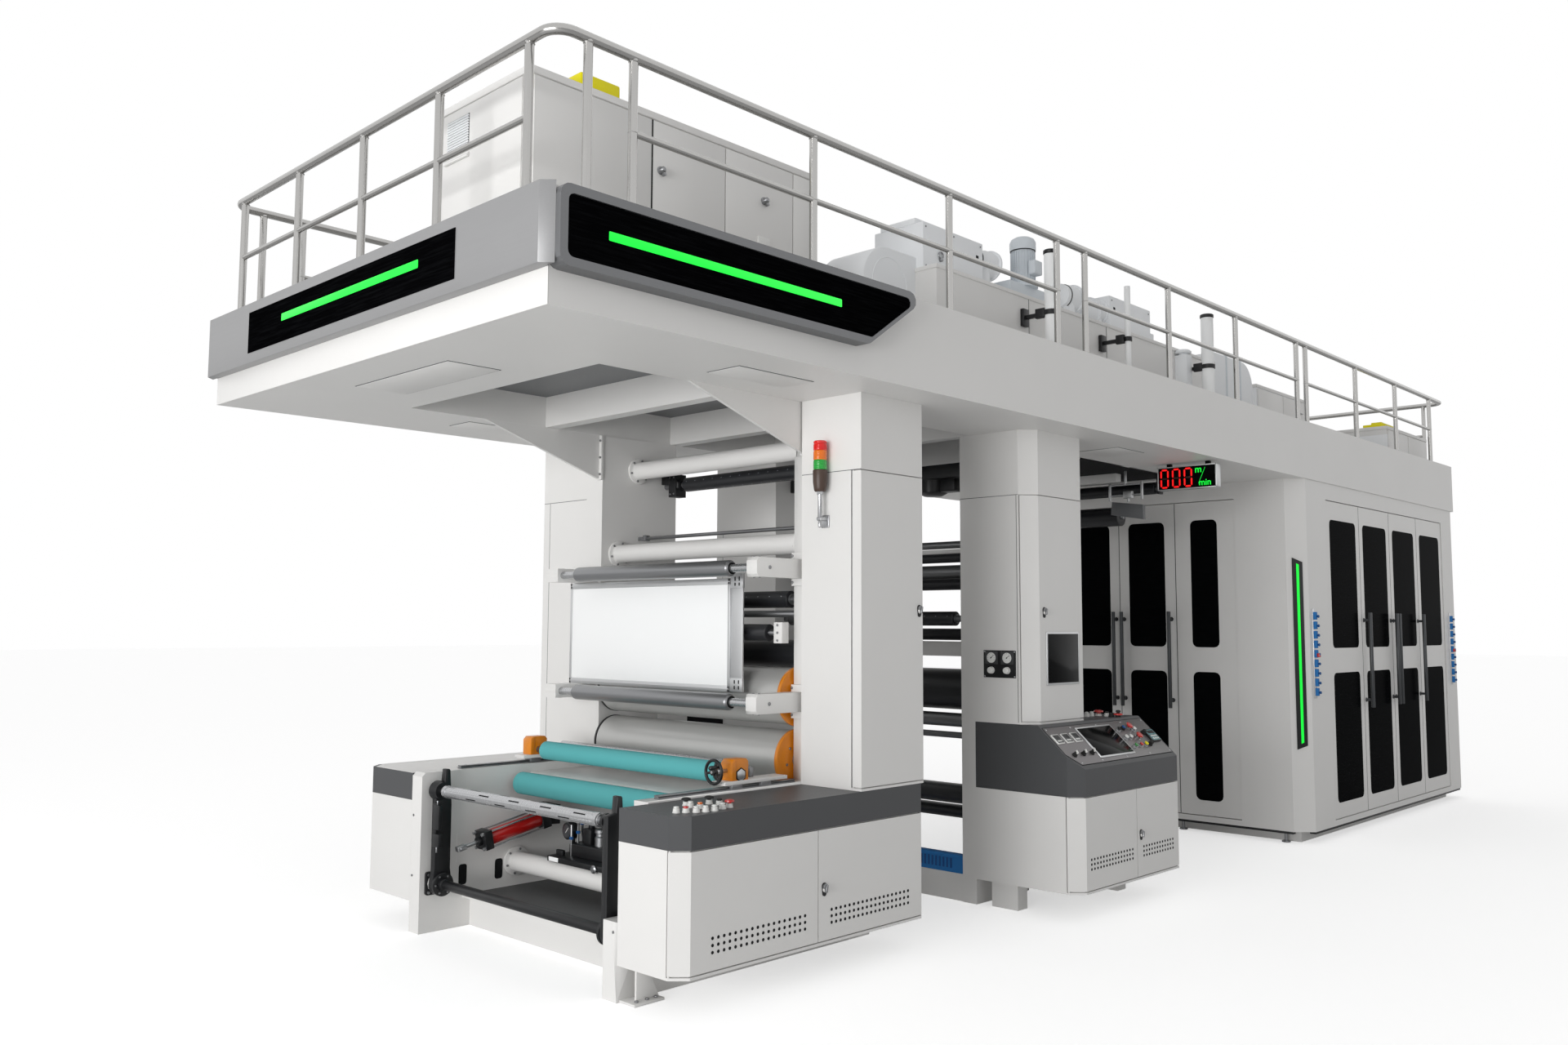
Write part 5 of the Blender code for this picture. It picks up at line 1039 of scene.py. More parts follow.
class PRESS_OT_web_guide(bpy.types.Operator):
    """Web guide supply unit: tank, motor, gauge, filter cup and hard pipes"""
    bl_idname = "press.web_guide"
    bl_label = "Web guide unit"

    def execute(self, context):
        a, shelf = 1.546, 0.3653
        dark = [box((a - 0.052, a + 0.322), (1.458, 2.022), (shelf, shelf + 0.031), 0.004),
                box((a + 0.018, a + 0.282), (1.498, 1.922), (shelf + 0.028, shelf + 0.102), 0.012, 3),
                box((a - 0.010, a + 0.010), (1.940, 2.000), (shelf + 0.028, shelf + 0.060), 0.004)]
        motor = turned([(shelf + 0.100, 0.052), (shelf + 0.104, 0.063), (shelf + 0.240, 0.063),
                        (shelf + 0.250, 0.060), (shelf + 0.270, 0.060), (shelf + 0.298, 0.050),
                        (shelf + 0.302, 0.030)], (a + 0.16, 1.60, 0), "Z", 36)
        fins = []
        for i in range(12):
            fin = box((a + 0.16 + 0.060, a + 0.16 + 0.069), (1.598, 1.602), (shelf + 0.115, shelf + 0.235),
                      0.0008, 1)
            fins += turn_about([fin], (a + 0.16, 1.60, 0), "Z", i * 30)
        valve = [box((a + 0.045, a + 0.115), (1.764, 1.836), (shelf + 0.100, shelf + 0.185), 0.005),
                 bar((a + 0.080, 1.800, shelf + 0.185), (a + 0.080, 1.800, shelf + 0.235), 0.018, 20, 0.002)]
        gauge_back = turned([(a + 0.019, 0.040), (a + 0.023, 0.0465), (a + 0.066, 0.0465),
                             (a + 0.072, 0.040)], (0, 1.943, shelf + 0.16), "X", 40)
        stem = bar((a + 0.06, 1.943, shelf + 0.030), (a + 0.06, 1.943, shelf + 0.13), 0.014, 20, 0.002)
        piece("web_guide_body", dark + [motor, gauge_back, stem] + fins + valve, "black_enamel",
              stands_for=["web_guide_unit"])
        dial = turned([(a + 0.0185, 0.034), (a + 0.0165, 0.034), (a + 0.0162, 0.033)],
                      (0, 1.943, shelf + 0.16), "X", 40)
        piece("web_guide_dial", [dial], "meter_face", stands_for=["web_guide_unit"])
        needle = box((a + 0.0150, a + 0.0160), (1.9415, 1.9445), (shelf + 0.148, shelf + 0.186), 0.0003, 1)
        piece("web_guide_needle", turn_about([needle], (a, 1.943, shelf + 0.16), "X", 40), "dial_face",
              stands_for=["web_guide_unit"])
        cup = turned([(shelf + 0.100, 0.030), (shelf + 0.104, 0.034), (shelf + 0.150, 0.034),
                      (shelf + 0.156, 0.028), (shelf + 0.170, 0.028), (shelf + 0.174, 0.034),
                      (shelf + 0.190, 0.034), (shelf + 0.196, 0.026)], (a + 0.07, 1.704, 0), "Z", 12)
        plug = turned([(a - 0.052, 0.020), (a - 0.060, 0.024), (a - 0.066, 0.016)], (0, 1.60, shelf + 0.012),
                      "X", 6)
        pipes = [tube(bent([(a + 0.05, 1.880, shelf + 0.03), (a + 0.05, 1.880, shelf + 0.215),
                            (a + 0.05, 1.820, shelf + 0.215), (a + 0.10, 1.800, shelf + 0.215)], 0.022),
                      0.006, sides=12), tube(bent([(a + 0.10, 1.910, shelf + 0.10),
                                                   (a + 0.10, 1.910, shelf + 0.25),
                                                   (a + 0.10, 1.840, shelf + 0.25),
                                                   (a + 0.10, 1.840, shelf + 0.10)], 0.020), 0.006, sides=12),
                 bar((a + 0.02, 1.90, shelf + 0.03), (a + 0.02, 1.90, shelf + 0.20), 0.007, 12, 0.001)]
        piece("web_guide_steel", [cup, plug] + pipes, "ground_steel",
              stands_for=["web_guide_unit"])
        nuts = [turned([(h, 0.010), (h + 0.002, 0.012), (h + 0.014, 0.012), (h + 0.016, 0.010)], (x, y, 0),
                       "Z", 6) for x, y, h in ((a + 0.02, 1.90, shelf + 0.120),
                                               (a + 0.05, 1.880, shelf + 0.150),
                                               (a + 0.10, 1.910, shelf + 0.190))]
        piece("web_guide_nuts", nuts, "blue_fitting", stands_for=["web_guide_unit"])
        label = box((a - 0.0535, a - 0.0515), (1.920, 2.005), (shelf + 0.004, shelf + 0.027), 0.0005, 1)
        piece("web_guide_plate", [label], "white_sheet", stands_for=["web_guide_unit"])
        ends = [box((a - 0.052, a + 0.322), (1.158, 1.4578), (shelf, shelf + 0.031), 0.004),
                box((a + 0.018, a + 0.282), (1.198, 1.4978), (shelf + 0.028, shelf + 0.102), 0.012, 3)]
        piece("web_guide_shelf_end", ends, "black_enamel", stands_for=["web_guide_unit"])
        return {"FINISHED"}


class PRESS_OT_frame_slots(bpy.types.Operator):
    """Dark sheets of painted shade in slots low in both side frames, and the sheet over the drive side's own
    openings
    """
    bl_idname = "press.frame_slots"
    bl_label = "Frame slots"

    def execute(self, context):
        # Near-black backs in the slots: painted shade.
        backs = [plate(round_outline((a - 0.001, a + 0.051), (0.359, 0.501), 0.0155), 0.776, 0.780, "Y", 0.0)
                 for a in (1.18, 1.44)]
        backs += [plate(round_outline((a, a + 0.050), (0.225, 0.335), 0.015, 4), 2.4001, 2.4010, "Y", 0.0)
                  for a in (1.18, 1.41)]
        piece("frame_slot_backs", backs, "dark_recess")
        cover = box((1.165, 1.505), (2.4006, 2.4025), (0.350, 0.510), 0.0003, 1)
        piece("frame_slot_cover", [cover], "body_powder_coat")
        return {"FINISHED"}


class PRESS_OT_nip(bpy.types.Operator):
    """Nip blocks on slides and rails, teal rollers, handwheel, rear roller and web table"""
    bl_idname = "press.nip"
    bl_label = "Nip station"

    def execute(self, context):
        a, z = 1.700, 0.925
        for side, low in (("operator", 0.7075), ("drive", 2.402)):
            self.slide(side, low, a, z)
        for name, place, radius, face, ends in (
                ("nip_roller", (1.700, 0.925), 0.052, (0.8688, 2.3417), (0.7938, 2.4167)),
                ("pull_roller", (1.550, 0.750), 0.062, (0.8488, 2.3617), (0.8088, 2.4017))):
            self.rubber_roller(name, place, radius, face, ends)
        self.handwheel(a - 0.150, 0.758, z + 0.020)
        self.rear_roller()
        table = [box((1.640, 2.110), (0.8090, 2.4015), (0.8000, 0.8030), 0.0008),
                 box((1.6385, 1.6420), (0.8090, 2.4015), (0.7700, 0.8025), 0.0008)]
        piece("web_table", table, "body_powder_coat")
        return {"FINISHED"}

    def slide(self, side, low, a, z):
        node = f"{side}_nip_block"
        high = low + 0.101
        middle = (low + high) / 2
        section = [(middle - 0.018, 0.8503), (middle + 0.018, 0.8503), (middle + 0.018, 0.8560),
                   (middle + 0.012, 0.8600), (middle + 0.018, 0.8640), (middle + 0.015, 0.8680),
                   (middle - 0.015, 0.8680), (middle - 0.018, 0.8640), (middle - 0.012, 0.8600),
                   (middle - 0.018, 0.8560)]
        rail = plate(section, 1.200, 2.110, "X", 0.0)
        holes = [turned([(0.8682, 0.006), (0.8686, 0.006), (0.8690, 0.004)], (1.240 + i * 0.080, middle, 0),
                        "Z", 12) for i in range(5)]
        piece(f"{side}_linear_rail", [rail] + holes, "ground_steel", stands_for=[node])
        carriages = [box((spot, spot + 0.070), (low + 0.018, high - 0.018), (0.8550, 0.8790), 0.003)
                     for spot in (1.650, 1.850)]
        piece(f"{side}_carriages", carriages, "dark_knurl_steel", stands_for=[node])
        slab = plate([(1.590, low + 0.003), (2.022, low + 0.003), (2.022, high - 0.003),
                      (1.590, high - 0.003)], 0.8790, 0.8970, "Z", 0.002)
        piece(f"{side}_slide_plate", [slab], "body_powder_coat", stands_for=[node])
        outline = [(a - 0.056, 0.8965), (a + 0.056, 0.8965), (a + 0.056, z + 0.062), (a + 0.042, z + 0.076),
                   (a - 0.042, z + 0.076), (a - 0.056, z + 0.062)]
        housing = plate(outline, low + 0.013, high - 0.013, "Y", 0.003)
        cheek = plate([(a - 0.0575, 0.8975), (a - 0.030, 0.8975), (a - 0.030, z + 0.072),
                       (a - 0.0575, z + 0.058)], low + 0.010, high - 0.010, "Y", 0.003)
        piece(f"{side}_nip_housing", [housing, cheek], "orange_enamel", stands_for=[node])
        out = -1 if side == "operator" else 1
        face = low + 0.013 if side == "operator" else high - 0.013
        nut = turned([(face - out * 0.001, 0.028), (face + out * 0.003, 0.030), (face + out * 0.005, 0.027)],
                     (a + 0.004, 0, z - 0.002), "Y", 6)
        piece(f"{side}_nip_nut", [nut], "bright_shaft", stands_for=[node])
        lines = [turned([(face - out * 0.001, 0.0355), (face + out * 0.0015, 0.0365),
                         (face + out * 0.002, 0.0350)], (a + 0.004, 0, z - 0.002), "Y", 6)]
        piece(f"{side}_nip_recess", lines, "dark_recess", stands_for=[node])

    def rubber_roller(self, name, place, radius, face, ends):
        a, z = place
        low, high = face
        rubber = sleeve(a, z, radius, face, 0.004, 56)
        piece(f"{name}_rubber", [rubber], "teal_rubber", name, stands_for=[name])
        caps = turned([(low - 0.003, radius * 0.70), (low - 0.003, radius * 0.90),
                       (low + 0.002, radius * 0.92), (high - 0.002, radius * 0.92),
                       (high + 0.003, radius * 0.90), (high + 0.003, radius * 0.70)], (a, 0, z), "Y", 48)
        shaft = sleeve(a, z, 0.020, ends, 0.001, 24)
        piece(f"{name}_core", [caps, shaft], "ground_steel", name, stands_for=[name])

    def handwheel(self, a, b, z):
        rim = hoop((a + 0.008, b, z), "X", 0.0560, 0.0080, 40, 12)
        hub = turned([(a - 0.006, 0.010), (a - 0.004, 0.016), (a + 0.022, 0.016), (a + 0.026, 0.012)],
                     (0, b, z), "X", 24)
        spokes = []
        for turn in (0, 120, 240):
            spoke = box((a + 0.004, a + 0.011), (b - 0.007, b + 0.007), (z + 0.010, z + 0.052), 0.0025)
            spokes += turn_about([spoke], (a, b, z), "X", turn + 20)
        grip = turned([(a + 0.006, 0.006), (a - 0.006, 0.006), (a - 0.012, 0.009), (a - 0.044, 0.011),
                       (a - 0.052, 0.010), (a - 0.056, 0.005)], (0, b, z + 0.045), "X", 20)
        turn_about([grip], (a, b, z), "X", 55)
        piece("nip_handwheel_rim", [rim, hub, grip] + spokes, "black_enamel", "nip_handwheel",
              stands_for=["nip_handwheel"])
        shaft = [bar((a + 0.010, b, z), (1.6445, b, z), 0.010, 20, 0.001),
                 turned([(a - 0.0075, 0.004), (a - 0.0075, 0.007), (a - 0.004, 0.008)], (0, b, z), "X", 20)]
        piece("nip_handwheel_spindle", shaft, "bright_shaft", "nip_handwheel", stands_for=["nip_handwheel"])

    def rear_roller(self):
        """A bright roller behind the nip, with a copper end cap, on two small posts."""
        a, z = 1.835, 0.940
        tube_face = sleeve(a, z, 0.0310, (0.842, 2.365), 0.003, 40)
        piece("rear_nip_tube", [tube_face], "bright_shaft")
        cap = turned([(0.8250, 0.008), (0.8255, 0.022), (0.8285, 0.0265), (0.8285, 0.0300), (0.8320, 0.0315),
                      (0.8440, 0.0315), (0.8460, 0.0290)], (a, 0, z), "Y", 40)
        piece("rear_nip_cap", [cap], "copper_cap")
        feet = [box((a - 0.014, a + 0.014), span, (0.8968, z + 0.004), 0.003)
                for span in ((0.778, 0.8035), (2.4065, 2.432))]
        feet += [bar((a, 0.790, z), (a, 0.827, z), 0.010, 16, 0.001),
                 bar((a, 2.364, z), (a, 2.420, z), 0.010, 16, 0.001)]
        piece("rear_nip_posts", feet, "ground_steel")


# Foot and head of the console's sloping desk, each as distance from the operator side and height.
SLOPE_FOOT, SLOPE_HEAD = (0.010, 0.845), (0.270, 1.080)
SLOPE_ANGLE = math.atan2(SLOPE_HEAD[1] - SLOPE_FOOT[1], SLOPE_HEAD[0] - SLOPE_FOOT[0])


def on_slope(items):
    """Lay shapes that were made flat round the machine's corner onto the console's sloping desk."""
    tilt = Matrix.Rotation(SLOPE_ANGLE, 4, "X")
    lay = Matrix.Translation(at(0.0, *SLOPE_FOOT)) @ tilt @ Matrix.Translation(-CORNER)
    for item in items:
        item.data.transform(lay)
    return items


def push_button(a, b, z, radius, height, sides=20):
    """Collar of a push button that stands on a level face."""
    return turned([(z, radius * 1.15), (z + height * 0.25, radius * 1.15), (z + height * 0.35, radius),
                   (z + height, radius), (z + height + 0.001, radius * 0.85)], (a, b, 0), "Z", sides)


def button_head(a, b, z, radius, height, mushroom=False, sides=24):
    reach = radius * (1.45 if mushroom else 0.85)
    return turned([(z, radius * 0.6), (z + height * 0.4, radius * 0.6), (z + height * 0.5, reach),
                   (z + height * 0.85, reach * 0.96), (z + height, reach * 0.6)], (a, b, 0), "Z", sides)


class PRESS_OT_console(bpy.types.Operator):
    """Console desk: screwed plate, screen, meters, knobs, buttons and counter"""
    bl_idname = "press.console"
    bl_label = "Console"

    def execute(self, context):
        outline = [(3.672, 0.118), (3.742, 0.034), (4.830, 0.034), (4.830, 0.325), (3.672, 0.325)]
        rim = [(3.667, 0.115), (3.739, 0.029), (4.835, 0.029), (4.835, 0.330), (3.667, 0.330)]
        piece("desk_plate_gap", on_slope([plate(rim, -0.001, 0.0004, "Z", 0.0)]), "dark_recess")
        piece("desk_plate", on_slope([plate(outline, 0.0, 0.0025, "Z", 0.0008)]), "desk_plate_steel")
        screws = [(3.690, 0.310), (3.955, 0.310), (4.250, 0.310), (4.550, 0.310), (4.815, 0.310),
                  (3.755, 0.048), (3.985, 0.048), (4.275, 0.048), (4.560, 0.048), (4.815, 0.048)]
        first = turned([(0.002, 0.006), (0.0035, 0.006), (0.0048, 0.004)], (*screws[0], 0), "Z", 12)
        piece("desk_screws", on_slope(repeated(first, [(a, d, 0) for a, d in screws])), "bright_shaft")
        self.screen()
        self.meters()
        self.controls()
        self.top_buttons()
        return {"FINISHED"}

    def screen(self):
        frame_outline = round_outline((3.985, 4.395), (0.060, 0.302), 0.008, 3)
        bezel = plate(frame_outline, 0.001, 0.0085, "Z", 0.0015)
        piece("desk_screen_bezel", on_slope([bezel]), "aluminium_extrusion")
        glass = plate(round_outline((3.996, 4.384), (0.072, 0.290), 0.003, 2), 0.007, 0.0095, "Z", 0.0005)
        piece("desk_screen", on_slope([glass]), "screen_glass")

    def meters(self):
        rims, faces, bars = [], [], []
        for a in (3.722, 3.822, 3.922):
            rims.append(plate(round_outline((a - 0.040, a + 0.034), (0.196, 0.268), 0.004, 2), 0.001, 0.009,
                              "Z", 0.0015))
            faces.append(plate(round_outline((a - 0.033, a + 0.027), (0.203, 0.261), 0.002, 2), 0.008, 0.0100,
                               "Z", 0.0004))
            bars.append(box((a - 0.026, a + 0.018), (0.210, 0.222), (0.0098, 0.0106), 0.0002, 1))
        piece("desk_meter_rims", on_slope(rims), "white_button")
        piece("desk_meter_faces", on_slope(faces), "meter_face")
        piece("desk_meter_bars", on_slope(bars), "dial_face")

    def controls(self):
        knobs = [push_button(a, 0.106, 0.001, 0.015, 0.010) for a in (3.745, 3.842, 3.938)]
        knobs += [push_button(a, d, 0.001, 0.016, 0.012) for a,
                  d in ((4.508, 0.258), (4.693, 0.205), (4.650, 0.112))]
        caps = [button_head(a, 0.106, 0.011, 0.015, 0.016) for a in (3.745, 3.842, 3.938)]
        caps += [button_head(a, d, 0.012, 0.016, 0.018) for a, d in ((4.693, 0.205), (4.650, 0.112))]
        piece("desk_knobs", on_slope(knobs + caps), "black_rubber")
        blades = []
        for a in (3.745, 3.842, 3.938):
            blade = box((a - 0.0045, a + 0.0045), (0.093, 0.119), (0.024, 0.036), 0.002)
            blades += turn_about([blade], (a, 0.106, 0.0), "Z", -35)
        piece("desk_knob_blades", on_slope(blades), "white_button")
        rings = [push_button(a, d, 0.001, 0.015, 0.012) for a, d in (
            (4.440, 0.250), (4.578, 0.262), (4.618, 0.240), (4.444, 0.184), (4.496, 0.182), (4.464, 0.112),
            (4.532, 0.113), (4.593, 0.113))]
        rings.append(push_button(4.590, 0.178, 0.001, 0.018, 0.012))
        piece("desk_button_rings", on_slope(rings), "bright_shaft")
        for name, finish, heads in (("desk_red_heads", "red_button",
                                     ((4.578, 0.262, 1), (4.590, 0.178, 1), (4.532, 0.113, 0))),
                                    ("desk_green_heads", "green_button", ((4.464, 0.112, 0),)),
                                    ("desk_yellow_heads", "yellow_plastic", ((4.593, 0.113, 0),)),
                                    ("desk_white_heads", "white_button",
                                     ((4.444, 0.184, 0), (4.496, 0.182, 0), (4.618, 0.240, 0))),
                                    ("desk_black_heads", "black_rubber", ((4.440, 0.250, 0),)),
                                    ("desk_dark_heads", "blue_fitting", ((4.508, 0.258, 0),))):
            made = [button_head(a, d, 0.012, 0.016, 0.020 if big else 0.012, bool(big)) for a, d,
                    big in heads]
            piece(name, on_slope(made), finish)
        case = plate(round_outline((4.705, 4.815), (0.124, 0.222), 0.006, 3), 0.001, 0.016, "Z", 0.002)
        piece("desk_counter_case", on_slope([case]), "black_enamel")
        face = plate(round_outline((4.711, 4.809), (0.130, 0.216), 0.004, 3), 0.014, 0.0172, "Z", 0.0006)
        piece("desk_counter_face", on_slope([face]), "teal_display")
        window = box((4.722, 4.798), (0.184, 0.207), (0.0165, 0.0178), 0.0003, 1)
        piece("desk_counter_window", on_slope([window]), "screen_glass")
        keys = [box((4.724 + i * 0.0195, 4.737 + i * 0.0195), (low, low + 0.012), (0.0165, 0.0182), 0.0006, 1)
                for i in range(4) for low in (0.138, 0.158)]
        piece("desk_counter_keys", on_slope(keys), "white_button")

    def top_buttons(self):
        """Buttons on the level top behind the slope."""
        z = 1.0800
        white = [(4.520, 0.455), (4.580, 0.455)]
        rings = [push_button(a, b, z, 0.015, 0.020) for a, b in white + [(4.640, 0.380)]]
        rings.append(push_button(4.640, 0.440, z, 0.018, 0.014))
        piece("desk_top_rings", rings, "white_button")
        piece("desk_top_white", [button_head(a, b, z + 0.018, 0.014, 0.012) for a, b in white], "dial_face")
        reds = [button_head(4.640, 0.440, z + 0.012, 0.021, 0.026, True),
                button_head(4.640, 0.300, z + 0.004, 0.020, 0.020, True)]
        piece("desk_top_red", reds, "red_button")
        blacks = [push_button(4.625, 0.340, z, 0.016, 0.024),
                  button_head(4.640, 0.380, z + 0.018, 0.014, 0.014),
                  push_button(4.640, 0.300, z, 0.015, 0.010),
                  button_head(4.640, 0.300, z + 0.020, 0.018, 0.024)]
        piece("desk_top_black", blacks, "black_rubber")


class PRESS_OT_cabinet_fittings(bpy.types.Operator):
    """Push buttons on the cabinet top, vents in the doors, and quarter-turn locks"""
    bl_idname = "press.cabinet_fittings"
    bl_label = "Cabinet fittings"

    def execute(self, context):
        sizes = context.scene.press_sizes
        self.buttons(sizes.button_radius)
        for name, node, a, rows in (
                ("cabinet_front_vent", "operator_cabinet_front_door", (1.138, 1.718), 18),
                ("cabinet_rear_vent", "operator_cabinet_rear_door", (1.902, 2.482), 19)):
            self.vent(name, node, a, (0.256, 0.286, 0.316), 0.3015, rows, sizes.vent_radius)
        for name, node, a, rows in (("console_front_vent", "console_front_door", (3.784, 4.257), 15),
                                    ("console_rear_vent", "console_rear_door", (4.395, 4.766), 12)):
            self.vent(name, node, a, (0.283, 0.310, 0.337), 0.0095, rows, sizes.vent_radius)
        for name, node, a, b, z in (
                ("cabinet_lock", "operator_cabinet_rear_door", 1.849, 0.302, 0.417),
                ("console_lock", "console_rear_door", 4.362, 0.010, 0.411),
                ("front_column_lock", "operator_front_column_door", 2.585, 0.302, 1.732),
                ("rear_column_lock", "operator_rear_column_door", 3.788, 0.302, 1.737)):
            self.lock(name, node, a, b, z)
        return {"FINISHED"}

    def buttons(self, radius):
        z = 0.8430
        front = [(1.029, 0.422), (1.065, 0.400), (1.100, 0.372), (1.139, 0.355), (1.184, 0.347),
                 (1.250, 0.366), (1.302, 0.376)]
        back = [(1.200, 0.552), (1.178, 0.497), (1.190, 0.447), (1.312, 0.521), (1.326, 0.468)]
        rings = [push_button(a, b, z, radius, 0.018) for a, b in front + back]
        piece("cabinet_button_rings", rings, "white_button")
        heads = {"red_button": [(front[1], 0), (front[6], 1)],
                 "black_rubber": [(back[0], 1), (back[3], 1), (back[4], 0)], "amber_lens": [(back[2], 0)],
                 "dial_face": [(front[0], 0), (front[2], 0), (front[3], 0), (front[4], 0), (front[5], 0),
                               (back[1], 0)]}
        for finish, spots in heads.items():
            made = [button_head(a, b, z + 0.016, radius, 0.020 if big else 0.012, bool(big))
                    for (a, b), big in spots]
            piece(f"cabinet_heads_{finish}", made, finish)

    def vent(self, name, node, span, heights, face, count, radius):
        """Rows of punched holes, each shown by a thin dark disc of painted shade."""
        pitch = (span[1] - span[0]) / (count - 1)
        places = [(span[0] + i * pitch, face, z) for z in heights for i in range(count)]
        a, b, z = places[0]
        dark = turned([(b + 0.0004, radius), (b - 0.0006, radius), (b - 0.0008, radius * 0.95)], (a, 0, z),
                      "Y", 12)
        piece(name, repeated(dark, places), "dark_recess", node)

    def lock(self, name, node, a, b, z):
        """Chromed quarter-turn lock: oval plate, barrel and a tilted wing."""
        plate_outline = outline_arc((a, z + 0.014), 0.0165, 0, 180, 8) + outline_arc((a, z - 0.020), 0.0125,
                                                                                     180, 360, 8)
        base = plate(plate_outline, b - 0.0045, b + 0.001, "Y", 0.001)
        piece(f"{name}_plate", [base], "black_enamel", node)
        barrel = turned([(b, 0.0145), (b - 0.014, 0.0145), (b - 0.0165, 0.012)], (a, 0, z + 0.012), "Y", 24)
        wing = box((a - 0.006, a + 0.006), (b - 0.024, b - 0.012), (z - 0.014, z + 0.022), 0.003)
        turn_about([wing], (a, b, z + 0.012), "Y", 12)
        piece(f"{name}_wing", [barrel, wing], "ground_steel", node)


class PRESS_OT_stand_panels(bpy.types.Operator):
    """Gauge panel and screen on the rear stand, joint lines of the column covers, signal tower"""
    bl_idname = "press.stand_panels"
    bl_label = "Stand panels"

    def execute(self, context):
        self.gauges()
        self.screen()
        self.signal_tower()
        self.joint_lines()
        return {"FINISHED"}

    def gauges(self):
        face = 3.655
        back = box((face - 0.004, face + 0.0005), (0.414, 0.641), (1.348, 1.510), 0.0012)
        piece("gauge_panel", [back], "black_enamel")
        rims, dials, needles, knobs = [], [], [], []
        for b in (0.472, 0.583):
            square = box((face - 0.008, face - 0.003), (b - 0.044, b + 0.044), (1.428, 1.503), 0.002)
            rims.append(square)
            dials.append(turned([(face - 0.0070, 0.031), (face - 0.0100, 0.031), (face - 0.0108, 0.029)],
                                (0, b, 1.466), "X", 36))
            needle = box((face - 0.0118, face - 0.0108), (b - 0.0012, b + 0.0012), (1.458, 1.490), 0.0002, 1)
            needles += turn_about([needle], (face, b, 1.466), "X", 50)
            needles.append(turned([(face - 0.0100, 0.004), (face - 0.0126, 0.004)], (0, b, 1.466), "X", 12))
            for turn in range(-120, 121, 30):
                tick = box((face - 0.0112, face - 0.0106), (b - 0.0006, b + 0.0006), (1.488, 1.4935), 0.0, 1)
                needles += turn_about([tick], (face, b, 1.466), "X", turn)
            knobs.append(turned([(face - 0.003, 0.021), (face - 0.012, 0.021), (face - 0.014, 0.019),
                                 (face - 0.026, 0.018), (face - 0.028, 0.015)], (0, b, 1.392), "X", 24))
        piece("gauge_cases", rims, "meter_face")
        piece("gauge_dials", dials, "dial_face")
        piece("gauge_needles", needles, "black_enamel")
        piece("gauge_knobs", knobs, "white_button")
        first = turned([(face - 0.003, 0.005), (face - 0.0055, 0.005), (face - 0.0065, 0.003)],
                       (0, 0.422, 1.356), "X", 12)
        spots = [(0, b, z) for b in (0.422, 0.633) for z in (1.356, 1.502)]
        piece("gauge_screws", repeated(first, spots), "bright_shaft")

    def screen(self):
        b = 0.302
        node = "operator_rear_column_door"
        bezel = plate(round_outline((3.803, 4.168), (1.305, 1.622), 0.006, 3), b - 0.007, b + 0.0005, "Y",
                      0.0015)
        piece("column_screen_bezel", [bezel], "aluminium_extrusion", node)
        glass = plate(round_outline((3.815, 4.156), (1.318, 1.609), 0.003, 2), b - 0.0082, b - 0.006, "Y",
                      0.0004)
        piece("column_screen", [glass], "screen_glass", node)

    def signal_tower(self):
        place = (2.0747, 0.538, 0)
        node = ["signal_tower"]
        for name, low, high, finish in (("red", 2.544, 2.580, "red_lens"),
                                        ("amber", 2.495, 2.5435, "amber_lens"),
                                        ("green", 2.445, 2.4945, "green_lens")):
            profile = [(low, 0.033)]
            for i in range(5):
                z = low + 0.004 + i * (high - low - 0.008) / 5
                step = (high - low - 0.008) / 5
                profile += [(z, 0.0352), (z + step * 0.6, 0.0352), (z + step * 0.8, 0.0342)]
            profile.append((high, 0.033))
            piece(f"signal_{name}_lens", [turned(profile, place, "Z", 36)], finish,
                  stands_for=node)
        cap = turned([(2.580, 0.0345), (2.590, 0.0345), (2.594, 0.030)], place, "Z", 36)
        piece("signal_cap", [cap], "red_lens", stands_for=node)
        base = turned([(2.333, 0.026), (2.337, 0.030), (2.352, 0.0325), (2.380, 0.0365), (2.440, 0.0375),
                       (2.444, 0.0365)], place, "Z", 36)
        piece("signal_base", [base], "brown_plastic", stands_for=node)
        pole = turned([(2.200, 0.010), (2.202, 0.0115), (2.334, 0.0115)], place, "Z", 20)
        nut = turned([(2.318, 0.016), (2.320, 0.018), (2.333, 0.018)], place, "Z", 6)
        foot = [box((2.064, 2.1195), (0.522, 0.554), (2.186, 2.202), 0.002),
                box((2.112, 2.1198), (0.512, 0.564), (2.150, 2.215), 0.002),
                turned([(2.150, 0.006), (2.154, 0.010), (2.182, 0.010), (2.186, 0.013)], place, "Z", 20)]
        piece("signal_pole", [pole, nut] + foot, "bright_shaft", stands_for=node)

    def joint_lines(self):
        """Thin dark joints between the covers, where sheets meet."""
        lines = [box((2.1192, 2.1205), (0.3015, 0.7065), (2.4335, 2.4365), 0.0, 1),
                 box((2.1192, 2.1205), (0.3605, 0.3635), (0.8600, 2.4335), 0.0, 1),
                 box((3.6542, 3.6555), (0.3900, 0.8070), (2.4335, 2.4365), 0.0, 1),
                 box((3.6542, 3.6555), (0.4000, 0.4030), (1.0900, 2.4335), 0.0, 1),
                 box((2.1192, 2.1205), (2.5600, 3.0110), (2.4335, 2.4365), 0.0, 1),
                 box((2.1192, 2.1205), (2.9450, 2.9480), (0.8600, 2.4335), 0.0, 1),
                 box((3.6542, 3.6555), (2.5000, 3.0110), (2.3200, 2.3230), 0.0, 1),
                 box((3.6542, 3.6555), (2.9450, 2.9480), (0.1000, 2.3200), 0.0, 1)]
        piece("cover_joint_lines", lines, "seam_shadow")


